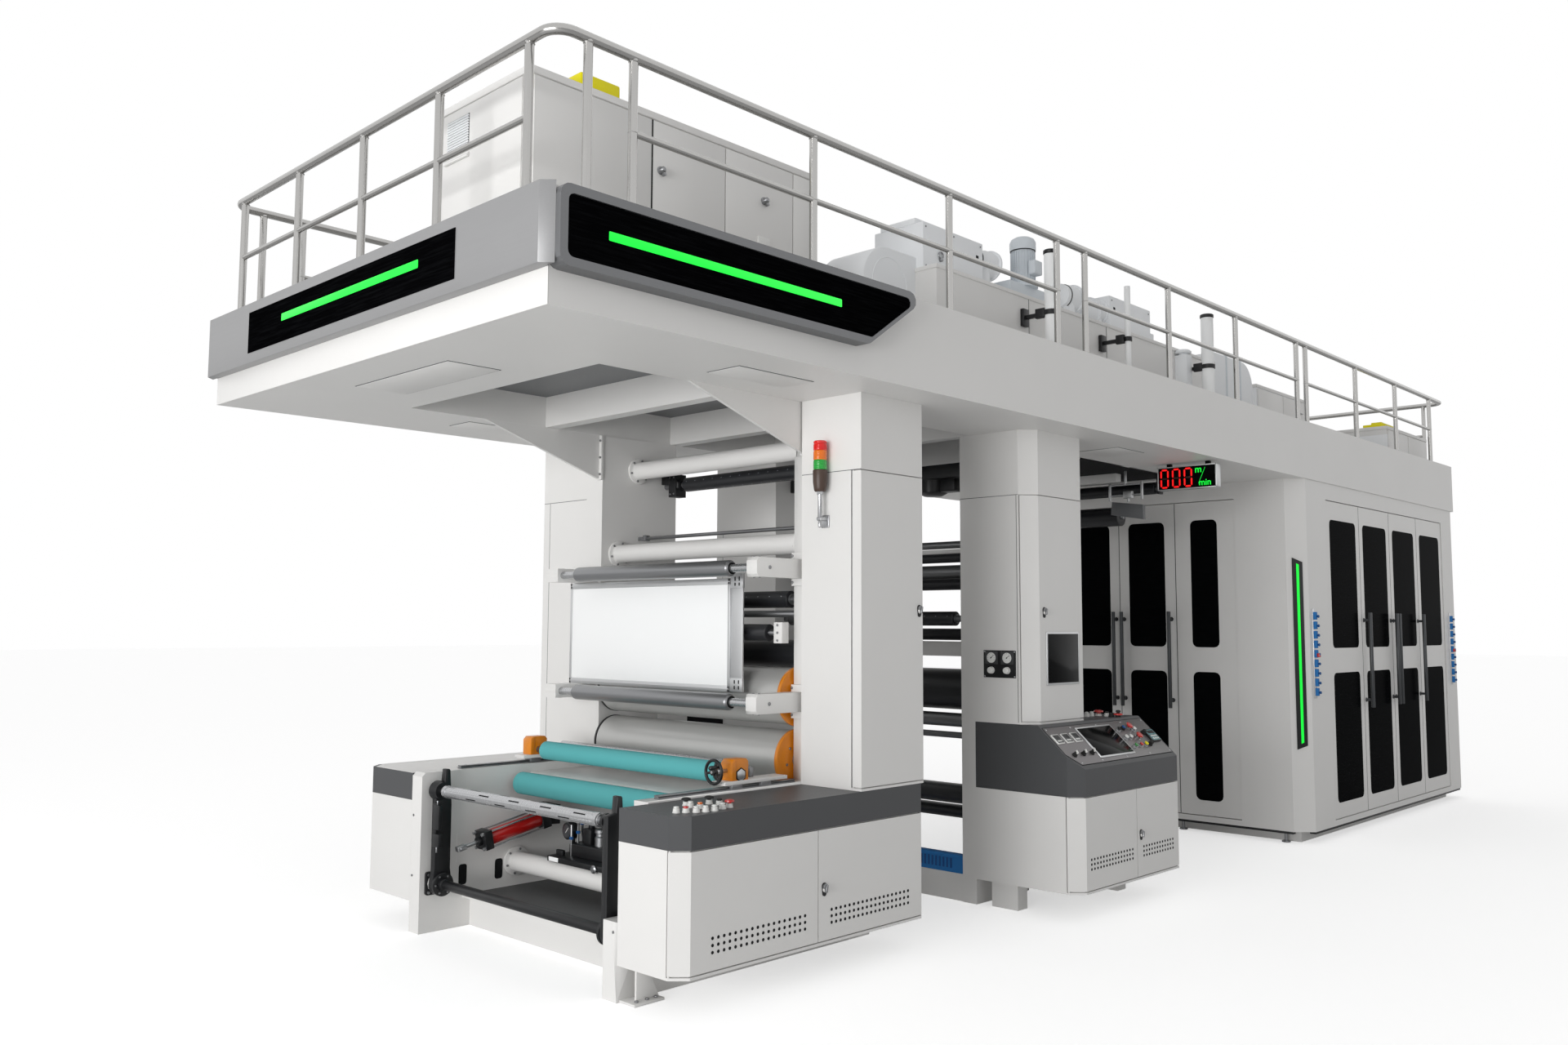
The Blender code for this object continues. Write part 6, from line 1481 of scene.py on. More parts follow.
SEGMENTS = {"top": (0.5, 1.0, "across"), "middle": (0.5, 0.5, "across"), "foot": (0.5, 0.0, "across"),
            "upper_left": (0.0, 0.75, "up"), "upper_right": (1.0, 0.75, "up"),
            "lower_left": (0.0, 0.25, "up"), "lower_right": (1.0, 0.25, "up")}


class PRESS_OT_speed_display(bpy.types.Operator):
    """Speed display: light frame, three red seven-segment digits at zero, and its unit in green"""
    bl_idname = "press.speed_display"
    bl_label = "Speed display"

    def execute(self, context):
        face = 5.700
        frame_bars = [box((face - 0.008, face + 0.062), span, height, 0.0015) for span, height in (
            ((0.0905, 0.5325), (2.7930, 2.8005)), ((0.0905, 0.5325), (2.6335, 2.6410)),
            ((0.0905, 0.0985), (2.6335, 2.8005)), ((0.5245, 0.5325), (2.6335, 2.8005)))]
        piece("display_frame", frame_bars, "aluminium_extrusion")
        sheet = box((face - 0.0030, face + 0.0005), (0.0985, 0.5245), (2.6410, 2.7930), 0.0)
        piece("display_sheet", [sheet], "display_black")
        lit, dark = [], []
        for left in (0.5130, 0.4240, 0.3350):
            for name, spot in SEGMENTS.items():
                shape = self.segment(face - 0.0034, left, spot)
                (dark if name == "middle" else lit).append(shape)
        piece("display_digits", lit, "red_digit_light")
        piece("display_unlit", dark, "digit_off")
        unit = [self.words("m", face - 0.0034, 0.250, 2.7455, 0.068),
                self.words("min", face - 0.0034, 0.222, 2.6530, 0.062)]
        slash = box((face - 0.0040, face - 0.0030), (0.1975, 0.2000), (2.6600, 2.7850), 0.0, 1)
        unit += turn_about([slash], (face, 0.199, 2.7225), "X", 24)
        piece("display_unit", unit, "green_light")
        return {"FINISHED"}

    def segment(self, face, left, spot):
        """One bar of a digit that is read from the front of the machine, so it runs towards -Y."""
        width, height, half = 0.052, 0.126, 0.0062
        across, upward, way = spot
        b, z = left - 0.008 - across * width, 2.654 + upward * height
        reach = (width if way == "across" else height / 2) / 2 - 0.0040
        if way == "across":
            points = [(b - reach, z), (b - reach + half, z - half), (b + reach - half, z - half),
                      (b + reach, z), (b + reach - half, z + half), (b - reach + half, z + half)]
        else:
            points = [(b, z - reach), (b + half, z - reach + half), (b + half, z + reach - half),
                      (b, z + reach), (b - half, z + reach - half), (b - half, z - reach + half)]
        return plate(points, face, face + 0.0008, "X", 0.0)

    def words(self, text, face, b, z, size):
        deselect()
        bpy.ops.object.text_add(location=(0, 0, 0))
        item = bpy.context.object
        item.data.body = text
        item.data.size = size
        item.data.offset = 0.0008
        item.data.extrude = 0.0004
        item.data.resolution_u = 4
        bpy.ops.object.convert(target="MESH")
        item = bpy.context.object
        bpy.ops.object.mode_set(mode="EDIT")
        bpy.ops.mesh.select_all(action="SELECT")
        bpy.ops.mesh.remove_doubles(threshold=0.00001)
        bpy.ops.mesh.normals_make_consistent(inside=False)
        bpy.ops.object.mode_set(mode="OBJECT")
        turn = Matrix(((0, 0, -1), (-1, 0, 0), (0, 1, 0))).to_4x4()
        item.data.transform(Matrix.Translation(at(face, b, z)) @ turn)
        return item


# Each face of the house has four folding leaves of equal width between these ends.
LEAVES = 4
# The leaves lie a little behind the front and side faces of the house.
LEAF_INSET = 0.0074
FRONT_LEAF = 7.096 + LEAF_INSET
SIDE_LEAF = 0.062 + LEAF_INSET
PANE_DEPTH = (-0.0003, 0.0040)
SEAM_DEPTH = (-0.0004, 0.0036)
FRONT_DOORS = (0.590, 2.650)
SIDE_DOORS = (7.630, 10.640)
FRONT_WIDTH = (FRONT_DOORS[1] - FRONT_DOORS[0]) / LEAVES
SIDE_WIDTH = (SIDE_DOORS[1] - SIDE_DOORS[0]) / LEAVES
DOOR_HEIGHTS = (0.138, 2.682)
PANE_HEIGHTS = ((0.256, 1.289), (1.491, 2.534))
PANE_CORNER = 0.044
SEAM_HALF = 0.0026


class PRESS_OT_house_trim(bpy.types.Operator):
    """Drum house: pull bars, corner light, valve strips, panes, seams, bottom track with painted shade, and
    feet
    """
    bl_idname = "press.house_trim"
    bl_label = "Drum house trim"

    def execute(self, context):
        self.pull_bars()
        self.corner_light()
        for name, a in (("front", 7.290), ("rear", 10.790)):
            self.valve_strip(name, a)
        self.foot_track_and_shade()
        self.panes()
        return {"FINISHED"}

    def panes(self):
        """Tinted panes just proud of the folding doors, and the dark seams between the leaves."""
        front_pane, front_seam = [[FRONT_LEAF + d for d in pair] for pair in (PANE_DEPTH, SEAM_DEPTH)]
        side_pane, side_seam = [[SIDE_LEAF + d for d in pair] for pair in (PANE_DEPTH, SEAM_DEPTH)]
        # Distance of the pane from the leaf's near and far edge, for each front leaf.
        margins = ((0.147, 0.132), (0.092, 0.087), (0.087, 0.092), (0.132, 0.147))
        front = []
        for i, (near, far) in enumerate(margins):
            start = FRONT_DOORS[0] + i * FRONT_WIDTH
            span = (start + 0.004 + near, start + FRONT_WIDTH - 0.004 - far)
            front += [plate(round_outline(span, z, PANE_CORNER, 4), *front_pane, "X", 0.0)
                      for z in PANE_HEIGHTS]
        piece("front_panes", front, "tinted_glass")
        side = []
        for i in range(LEAVES):
            start = SIDE_DOORS[0] + i * SIDE_WIDTH
            span = (start + 0.084, start + SIDE_WIDTH - 0.084)
            side += [plate(round_outline(span, z, PANE_CORNER, 4), *side_pane, "Y", 0.0)
                     for z in PANE_HEIGHTS]
        piece("side_panes", side, "tinted_glass")
        seams = []
        for i in range(LEAVES + 1):
            b = FRONT_DOORS[0] + i * FRONT_WIDTH
            seams.append(box(front_seam, (b - SEAM_HALF, b + SEAM_HALF), DOOR_HEIGHTS, 0.0, 1))
        for i in range(LEAVES + 1):
            a = SIDE_DOORS[0] + i * SIDE_WIDTH
            seams.append(box((a - SEAM_HALF, a + SEAM_HALF), side_seam, DOOR_HEIGHTS, 0.0, 1))
        piece("folding_door_seams", seams, "dark_recess")

    def pull_bars(self):
        """Dark round bars on stand-offs, slipped over the plain ones of the doors."""
        for which, start, width, axis in (("front", FRONT_DOORS[0], FRONT_WIDTH, "X"),
                                          ("side", SIDE_DOORS[0], SIDE_WIDTH, "Y")):
            edges = [(start + i * width + 0.003, start + (i + 1) * width - 0.003) for i in range(LEAVES)]
            for label, pair, first in (("first", edges[:2], True), ("second", edges[2:], False)):
                meeting = pair[1][1] - 0.035 if first else pair[0][0] + 0.035
                fold = (pair[0][1] + pair[1][0]) / 2 + (0.045 if first else -0.045)
                shapes = []
                for along in (meeting, fold):
                    shapes += self.pull_bar(along, FRONT_LEAF if axis == "X" else SIDE_LEAF, axis)
                piece(f"{which}_{label}_pull_bars", shapes, "dark_handle")

    def pull_bar(self, along, face, axis):
        def place(depth, height):
            return (depth, along, height) if axis == "X" else (along, depth, height)

        front = face - 0.055
        rod = [bar(place(front, 0.986), place(front, 1.784), 0.0155, 24, 0.003)]
        for height in (1.050, 1.720):
            rod.append(bar(place(face + 0.001, height), place(front + 0.004, height), 0.0110, 20, 0.0))
            rod.append(bar(place(face + 0.001, height), place(face - 0.008, height), 0.0180, 24, 0.003))
        return rod

    def corner_light(self):
        """Green strip in a black channel on the chamfer of the house's corner."""
        middle = (7.1565, 0.1225, 1.455)
        depth = middle[1]

        def flat(points, low, high, bevel=0.001):
            shape = plate([(middle[0] + u, z) for u, z in points], depth + low, depth + high, "Y", bevel)
            return turn_about([shape], middle, "Z", -45)

        channel = [(-0.040, 0.715), (0.040, 0.745), (0.040, 2.165), (-0.040, 2.200)]
        piece("corner_light_channel", flat(channel, -0.010, 0.001, 0.0015), "black_enamel")
        strip = [(-0.010, 0.760), (0.010, 0.770), (0.010, 2.145), (-0.010, 2.155)]
        piece("corner_light_strip", flat(strip, -0.0125, -0.009, 0.0008), "green_light")

    def valve_strip(self, name, a):
        """Row of blue air valves with push-in fittings on an aluminium rail."""
        b, low, count = 0.062, 1.125, 9
        rail = [box((a - 0.022, a + 0.022), (b - 0.008, b + 0.0005), (1.105, 1.805), 0.0015)]
        piece(f"{name}_valve_rail", rail, "aluminium_extrusion")
        places = [(a, b, low + i * 0.074) for i in range(count)]
        body = box((a - 0.015, a + 0.015), (b - 0.030, b - 0.007), (low, low + 0.060), 0.004)
        elbow = turned([(b - 0.048, 0.009), (b - 0.046, 0.011), (b - 0.038, 0.011), (b - 0.036, 0.008),
                        (b - 0.028, 0.008)], (a, 0, low + 0.026), "Y", 16)
        valves = repeated(body, places)
        piece(f"{name}_valves", valves, "blue_plastic")
        piece(f"{name}_valve_fittings", repeated(elbow, places), "blue_fitting")
        red = [box((a - 0.018, a + 0.018), (b - 0.046, b - 0.028),
                   (low + 4 * 0.074 + 0.004, low + 4 * 0.074 + 0.034), 0.002)]
        piece(f"{name}_valve_mark", red, "red_button")

    def foot_track_and_shade(self):
        # Black strips along the foot of the house: a track, and painted shade of the gap under the house.
        track = [box((7.100, 7.150), (0.190, 2.960), (0.068, 0.0868), 0.003),
                 box((7.230, 10.940), (0.066, 0.116), (0.068, 0.0868), 0.003)]
        piece("house_track_and_shade", track, "black_enamel")
        foot = turned([(0.0, 0.030), (0.006, 0.034), (0.012, 0.030), (0.014, 0.012), (0.068, 0.012)],
                      (7.135, 0.260, 0), "Z", 20)
        places = [(7.135, 0.260, 0), (7.135, 1.100, 0), (7.135, 2.000, 0), (7.135, 2.880, 0)]
        piece("house_feet", repeated(foot, places), "ground_steel")


# What the blower, motor, risers and housings stand for.
DUCT = ["fan_duct"]


class PRESS_OT_deck_equipment(bpy.types.Operator):
    """Electrical cabinet, blower, duct, outlets, motor, cable risers and the housings behind"""
    bl_idname = "press.deck_equipment"
    bl_label = "Deck equipment"

    def execute(self, context):
        self.cabinet()
        self.duct()
        self.blower()
        self.outlets()
        self.motor()
        self.risers()
        self.far_units()
        return {"FINISHED"}

    def cabinet(self):
        low, high, b = 3.060, 3.990, 0.640
        seams = (0.360, 1.014, 1.480, 1.960, 2.105)
        doors = [box((first + 0.003, second - 0.003), (b - 0.014, b + 0.001), (low, high), 0.003)
                 for first, second in zip(seams, seams[1:])]
        roof = box((0.338, 2.127), (0.628, 1.382), (3.998, 4.032), 0.004)
        end_door = box((0.336, 0.351), (0.680, 1.330), (low, high), 0.003)
        piece("cabinet_doors", doors + [roof, end_door], "body_powder_coat")
        slats = []
        for i in range(14):
            z = 3.779 + i * 0.0122
            slats.append(plate([(0.3365, z), (0.3365, z + 0.0025), (0.3300, z + 0.007), (0.3290, z + 0.0055)],
                               1.095, 1.275, "Y", 0.0))
        piece("cabinet_louvre", slats, "fan_paint")
        back = box((0.3352, 0.3366), (1.093, 1.277), (3.775, 3.950), 0.0, 1)
        piece("cabinet_louvre_back", [back], "seam_shadow")
        hood = plate([(0.336, 3.770), (0.320, 3.752), (0.320, 3.746), (0.336, 3.746)], 1.085, 1.285, "Y",
                     0.002)
        piece("cabinet_louvre_hood", [hood], "body_powder_coat")
        knobs = []
        for a, z in ((1.064, 3.760), (1.745, 3.790)):
            knobs.append(turned([(b - 0.013, 0.020), (b - 0.018, 0.020), (b - 0.020, 0.016),
                                 (b - 0.040, 0.014), (b - 0.046, 0.008)], (a, 0, z), "Y", 24))
            wing = box((a - 0.007, a + 0.007), (b - 0.040, b - 0.020), (z - 0.030, z + 0.004), 0.003)
            knobs += turn_about([wing], (a, b, z), "Y", -25)
        piece("cabinet_door_locks", knobs, "ground_steel")
        dark = box((1.0105, 1.0175), (b - 0.0148, b + 0.001), (low, high), 0.0, 1)
        piece("cabinet_door_gap", [dark], "dark_recess")
        yellow = box((0.620, 0.842), (0.650, 0.760), (4.030, 4.100), 0.010, 3)
        piece("cabinet_roof_box", [yellow], "yellow_plastic")
        vent = [box((1.700, 1.780), (b - 0.024, b - 0.012), (3.560, 3.600), 0.003)]
        piece("cabinet_side_socket", vent, "white_button")

    def duct(self):
        floor, top = 3.0356, 3.695
        body = box((2.950, 6.500), (0.450, 1.500), (floor, top), 0.008, 3)
        ledge = box((2.942, 6.508), (0.442, 1.508), (3.3900, 3.4080), 0.003)
        lid = box((2.944, 6.506), (0.444, 1.506), (top - 0.020, top + 0.004), 0.003)
        ribs = [box((a, a + 0.004), (0.4475, 0.452), (3.300, top - 0.02), 0.0005, 1)
                for a in (3.900, 4.850, 5.800)]
        piece("duct_body", [body, ledge, lid] + ribs, "body_powder_coat", stands_for=DUCT)
        seams = [box((a - 0.0015, a + 0.0015), (0.4490, 0.4505), (3.410, top - 0.020), 0.0, 1)
                 for a in (3.895, 4.845, 5.795)]
        piece("duct_seams", seams, "seam_shadow", stands_for=DUCT)

    def blower(self):
        """Scroll housing with a square outlet box, an eye bolt and cover screws."""
        spiral = []
        for i in range(37):
            turn = math.radians(90 + i * 270 / 36)
            reach = 0.205 + 0.080 * i / 36
            spiral.append((2.720 + reach * math.cos(turn), 3.560 + reach * math.sin(turn)))
        spiral += [(2.960, 3.560), (2.960, 3.765)]
        scroll = plate(spiral, 0.600, 0.930, "Y", 0.006)
        seam = hoop((2.720, 0.600, 3.560), "Y", 0.150, 0.003, 40, 8)
        piece("blower_scroll", [scroll, seam], "fan_paint", stands_for=DUCT)
        case = box((2.958, 3.552), (0.550, 0.910), (3.690, 3.970), 0.006, 3)
        roof = box((2.952, 3.300), (0.600, 0.860), (3.966, 4.000), 0.005)
        piece("blower_case", [case, roof], "fan_paint", stands_for=DUCT)
        screws = [(a, 0.550, z) for a in (2.985, 3.255, 3.525) for z in (3.715, 3.945)]
        heads = bolts(screws, "-Y", 0.006, 0.004)
        eye = [hoop((3.120, 0.542, 3.800), "Y", 0.020, 0.0045, 24, 8),
               bar((3.120, 0.552, 3.775), (3.120, 0.534, 3.775), 0.012, 16, 0.001)]
        piece("blower_screws", heads + eye, "ground_steel", stands_for=DUCT)
        # A near-black plate in the case's slot: painted shade.
        gap = [box((3.480, 3.505), (0.5485, 0.5500), (3.860, 3.885), 0.0, 1)]
        piece("blower_case_slot", gap, "dark_recess", stands_for=DUCT)

    def outlets(self):
        """Flanged round outlets between the fan boxes."""
        shapes = []
        for a, b, z, radius, reach in ((3.552, 0.640, 3.890, 0.075, 0.200),
                                       (4.560, 0.640, 3.870, 0.080, 0.170),
                                       (4.800, 0.660, 3.830, 0.085, 0.170),
                                       (4.960, 0.650, 3.850, 0.075, 0.120)):
            shapes.append(turned([(a, radius), (a + reach * 0.4, radius), (a + reach * 0.55, radius * 1.12),
                                  (a + reach - 0.014, radius * 1.12), (a + reach - 0.012, radius * 1.30),
                                  (a + reach, radius * 1.30), (a + reach, radius * 1.02)], (0, b, z), "X",
                                 36))
            shapes.append(bar((a + reach * 0.5, b, 3.690), (a + reach * 0.5, b, z), radius * 0.8, 28, 0.004))
        bands = [hoop((3.575, 0.640, 3.890), "X", 0.076, 0.004, 32, 8),
                 hoop((4.600, 0.640, 3.870), "X", 0.081, 0.004, 32, 8)]
        piece("duct_outlets", shapes, "fan_paint", stands_for=DUCT)
        piece("duct_outlet_bands", bands, "black_enamel", stands_for=DUCT)
        case = box((5.080, 5.670), (0.550, 1.100), (3.690, 3.960), 0.006, 3)
        low = box((5.660, 5.740), (0.560, 1.000), (3.690, 3.800), 0.006, 3)
        piece("second_fan_case", [case, low], "fan_paint", stands_for=DUCT)
        heads = bolts([(a, 0.550, z) for a in (5.110, 5.640) for z in (3.720, 3.930)], "-Y", 0.006, 0.004)
        piece("second_fan_screws", heads, "ground_steel", stands_for=DUCT)
        # A near-black plate in the case's slot: painted shade.
        piece("second_fan_slot", [box((5.130, 5.155), (0.5485, 0.5500), (3.860, 3.885), 0.0, 1)],
              "dark_recess", stands_for=DUCT)

    def motor(self):
        """Upright finned motor on a grey block."""
        a, b = 4.100, 0.620
        block = box((3.860, 4.315), (0.560, 0.900), (3.690, 3.820), 0.006)
        piece("motor_block", [block], "motor_paint", stands_for=DUCT)
        case = turned([(3.818, 0.095), (3.830, 0.095), (3.832, 0.072), (4.060, 0.072), (4.062, 0.082),
                       (4.070, 0.084), (4.115, 0.084), (4.135, 0.074), (4.148, 0.052), (4.152, 0.030)],
                      (a, b, 0), "Z", 40)
        fins = []
        for i in range(28):
            fin = box((a + 0.070, a + 0.080), (b - 0.0015, b + 0.0015), (3.850, 4.050), 0.0, 1)
            fins += turn_about([fin], (a, b, 0), "Z", i * 360 / 28)
        terminal = box((a - 0.045, a + 0.045), (b - 0.118, b - 0.066), (3.890, 3.980), 0.008, 3)
        piece("motor_case", [case, terminal] + fins, "motor_paint", stands_for=DUCT)
        collar = hoop((a, b, 4.060), "Z", 0.079, 0.0035, 36, 8)
        piece("motor_collar", [collar], "black_enamel", stands_for=DUCT)

    def risers(self):
        """White cable risers with black caps, clamped to the duct."""
        tubes, caps, arms = [], [], []
        for a, radius, top in ((3.830, 0.040, 3.905), (4.770, 0.020, 3.900), (5.950, 0.044, 3.905)):
            b = 0.250
            tubes.append(turned([(3.0356, radius * 0.97), (3.0366, radius), (top, radius)], (a, b, 0), "Z",
                                32))
            if radius > 0.03:
                caps.append(turned([(top, radius * 1.04), (top + 0.003, radius * 1.1),
                                    (top + 0.022, radius * 1.1), (top + 0.027, radius * 0.95)], (a, b, 0),
                                   "Z", 32))
            z = 3.545
            ring = turned([(z - 0.016, radius + 0.001), (z - 0.014, radius + 0.007),
                           (z + 0.014, radius + 0.007), (z + 0.016, radius + 0.001)], (a, b, 0), "Z", 32)
            arms.append(ring)
            arms.append(box((a - 0.014, a + 0.014), (b + radius, 0.4505), (z - 0.012, z + 0.012), 0.003))
            arms.append(box((a - 0.030, a + 0.030), (0.425, 0.4505), (z - 0.055, z + 0.055), 0.004))
            arms.append(box((a - 0.040, a - 0.012), (b + radius * 0.6, b + radius + 0.05),
                            (z - 0.030, z + 0.030), 0.004))
        piece("cable_riser_tubes", tubes, "white_sheet", stands_for=DUCT)
        piece("cable_riser_caps", caps, "black_enamel", stands_for=DUCT)
        piece("cable_riser_clamps", arms, "black_enamel", stands_for=DUCT)
        post = [box((5.840, 5.930), (0.360, 0.4505), (3.0356, 3.640), 0.004),
                turned([(3.640, 0.030), (3.652, 0.030), (3.656, 0.058), (3.668, 0.060), (3.680, 0.046)],
                       (5.885, 0.408, 0), "Z", 32)]
        piece("vent_post", post, "fan_paint", stands_for=DUCT)

    def far_units(self):
        arch = [(6.500, 3.0356), (7.200, 3.0356), (7.200, 3.560)]
        arch += outline_arc((7.000, 3.580), 0.200, 0, 90, 10) + [(6.500, 3.780)]
        hood = plate(arch, 0.450, 1.500, "Y", 0.008)
        piece("duct_end_hood", [hood], "fan_paint", stands_for=DUCT)
        ribs = []
        for a in (6.700, 6.950):
            ribs.append(plate([(a, 3.0356), (a + 0.020, 3.0356), (a + 0.020, 3.786), (a, 3.786)], 0.444,
                              1.506, "Y", 0.002))
        piece("duct_end_ribs", ribs, "motor_paint", stands_for=DUCT)
        trim = [box((8.092, 9.258), (0.792, 1.508), (3.780, 3.810), 0.004),
                box((8.120, 8.660), (0.788, 0.801), (3.070, 3.770), 0.003),
                box((8.670, 9.230), (0.788, 0.801), (3.070, 3.770), 0.003),
                box((9.601, 10.749), (0.201, 1.199), (3.460, 3.522), 0.004),
                box((9.592, 10.758), (0.192, 1.208), (3.520, 3.550), 0.004),
                box((9.620, 10.160), (0.188, 0.201), (3.070, 3.510), 0.003),
                box((10.180, 10.730), (0.188, 0.201), (3.070, 3.510), 0.003)]
        piece("far_cabinet_doors", trim, "body_powder_coat")
        beacon = [box((9.620, 9.860), (0.220, 0.420), (3.550, 3.578), 0.006),
                  box((9.690, 9.760), (0.270, 0.370), (3.575, 3.606), 0.008)]
        piece("rear_cabinet_roof_box", beacon, "yellow_plastic")
        bars = [box((9.040, 9.110), (0.780, 0.790), (z, z + 0.010), 0.002) for z in (3.560, 3.660)]
        piece("far_cabinet_grips", bars, "ground_steel")


class PRESS_OT_under_platform(bpy.types.Operator):
    """Hatches, painted shade under the deck and across its opening, the web bridge with its camera, and the
    rear bay
    """
    bl_idname = "press.under_platform"
    bl_label = "Under the platform"

    def execute(self, context):
        self.hatches()
        self.bays()
        self.bridge()
        self.rear_bay()
        return {"FINISHED"}

    def bays(self):
        """Dark grey sheets under the deck between its cross beams: painted shade."""
        front, pitch, beam = 1.695, 0.976, 0.091
        edges = [(0.816, front)] + [(front + i * pitch + beam, front + (i + 1) * pitch) for i in range(5)]
        panels = [box((low, high), (0.742, 2.408), (3.0060, 3.0105), 0.0005, 1) for low, high in edges]
        # These sheets are painted shade of the bays.
        piece("deck_bay_painted_shade", panels, "shroud_grey")

    def hatches(self):
        lips, lids = [], []
        for a, b in (((0.310, 0.590), (1.180, 2.050)), ((1.270, 1.770), (0.300, 0.520)),
                     ((4.710, 5.060), (0.300, 0.590)), ((1.270, 1.770), (2.560, 2.780))):
            lips.append(box(a, b, (2.8235, 2.8252), 0.0008))
            lids.append(box((a[0] + 0.006, a[1] - 0.006), (b[0] + 0.006, b[1] - 0.006), (2.8215, 2.8250),
                            0.0012))
        piece("hatch_gaps", lips, "seam_shadow")
        piece("hatch_lids", lids, "body_powder_coat")

    def bridge(self):
        """Web bridge in front of the drum house: cheeks, rollers, a beam and a camera on its slide."""
        cheeks = [plate([(5.880, 2.400), (6.500, 2.400), (6.500, 2.8220), (5.880, 2.8220)], 2.372, 2.402, "Y",
                        0.003)]
        beam = box((5.905, 5.985), (0.980, 2.380), (2.760, 2.8220), 0.004)
        piece("bridge_cheeks", cheeks + [beam], "body_powder_coat")
        rollers = [sleeve(6.000, 2.492, 0.068, (0.9900, 2.366), 0.004, 40, 0.008),
                   sleeve(6.200, 2.714, 0.042, (0.8000, 2.366), 0.004, 32, 0.006),
                   sleeve(6.300, 2.560, 0.040, (0.9900, 2.366), 0.004, 32, 0.006)]
        piece("bridge_rollers", rollers, "dark_sleeve")
        shafts = [bar((a, low, z), (a, 2.404, z), 0.016, 20, 0.001)
                  for a, low, z in ((6.000, 0.970, 2.492), (6.200, 0.765, 2.714), (6.300, 0.970, 2.560))]
        piece("bridge_shafts", shafts, "ground_steel")
        hangers = [box((6.170, 6.230), (0.760, 0.785), (2.670, 2.8220), 0.003)]
        piece("bridge_hangers", hangers, "black_enamel")
        # A near-black sheet across the opening in the deck: painted shade.
        opening = box((5.020, 6.450), (0.760, 2.390), (2.8222, 2.8248), 0.0005, 1)
        piece("bridge_opening", [opening], "dark_recess")
        shroud = plate([(0.702, 2.446), (0.964, 2.492), (0.955, 2.590), (0.702, 2.555)], 5.790, 5.830, "X",
                       0.003)
        piece("camera_shroud", [shroud], "shroud_grey")
        a = 5.845
        slide = [bar((a, 0.735, 2.720), (a, 1.000, 2.720), 0.0075, 16, 0.001),
                 bar((a, 0.735, 2.640), (a, 1.000, 2.640), 0.0060, 16, 0.001),
                 box((a - 0.010, a + 0.010), (0.728, 0.744), (2.600, 2.735), 0.003),
                 box((a - 0.010, a + 0.010), (0.990, 1.006), (2.600, 2.735), 0.003),
                 box((a - 0.008, a + 0.008), (0.860, 0.876), (2.714, 2.8230), 0.002),
                 box((a - 0.018, a + 0.018), (0.812, 0.882), (2.615, 2.668), 0.004),
                 bar((a, 0.847, 2.588), (a, 0.847, 2.620), 0.010, 16, 0.001)]
        piece("camera_slide", slide, "aluminium_extrusion")

    def rear_bay(self):
        """Fixed rollers and beams that show between the stands."""
        low, high = 0.8092, 2.4013
        dark = [(3.900, 2.090, 0.030), (3.900, 1.920, 0.036), (3.900, 0.600, 0.062), (4.020, 0.470, 0.042),
                (3.980, 1.600, 0.038)]
        sleeves = [sleeve(a, z, r, (low + 0.10, high - 0.06), 0.004, 40) for a, z, r in dark]
        piece("rear_bay_rollers", sleeves, "dark_sleeve")
        shafts = [bar((a, low, z), (a, high, z), 0.016, 20, 0.001) for a, z, _ in dark]
        piece("rear_bay_shafts", shafts, "ground_steel")
        grey = [(3.920, 2.176, 0.024), (3.930, 2.000, 0.046), (3.920, 1.058, 0.044), (3.920, 0.962, 0.020)]
        pipes = [sleeve(a, z, r, (low, high), 0.002, 32, r * 0.04) for a, z, r in grey]
        piece("rear_bay_pipes", pipes, "dark_knurl_steel")
        beams = [box((3.900, 3.960), (low, high), (1.462, 1.555), 0.004),
                 box((3.900, 3.950), (low, high), (2.118, 2.148), 0.004)]
        piece("rear_bay_beams", beams, "body_powder_coat")
        block = [box((3.800, 4.080), (low, high), (2.600, 2.690), 0.006),
                 turned([(2.500, 0.060), (2.520, 0.095), (2.600, 0.100), (2.680, 0.100)], (3.900, 1.200, 0),
                        "Z", 36), box((3.860, 3.960), (1.000, 1.160), (2.520, 2.620), 0.008)]
        piece("rear_bay_drive", block, "black_enamel")


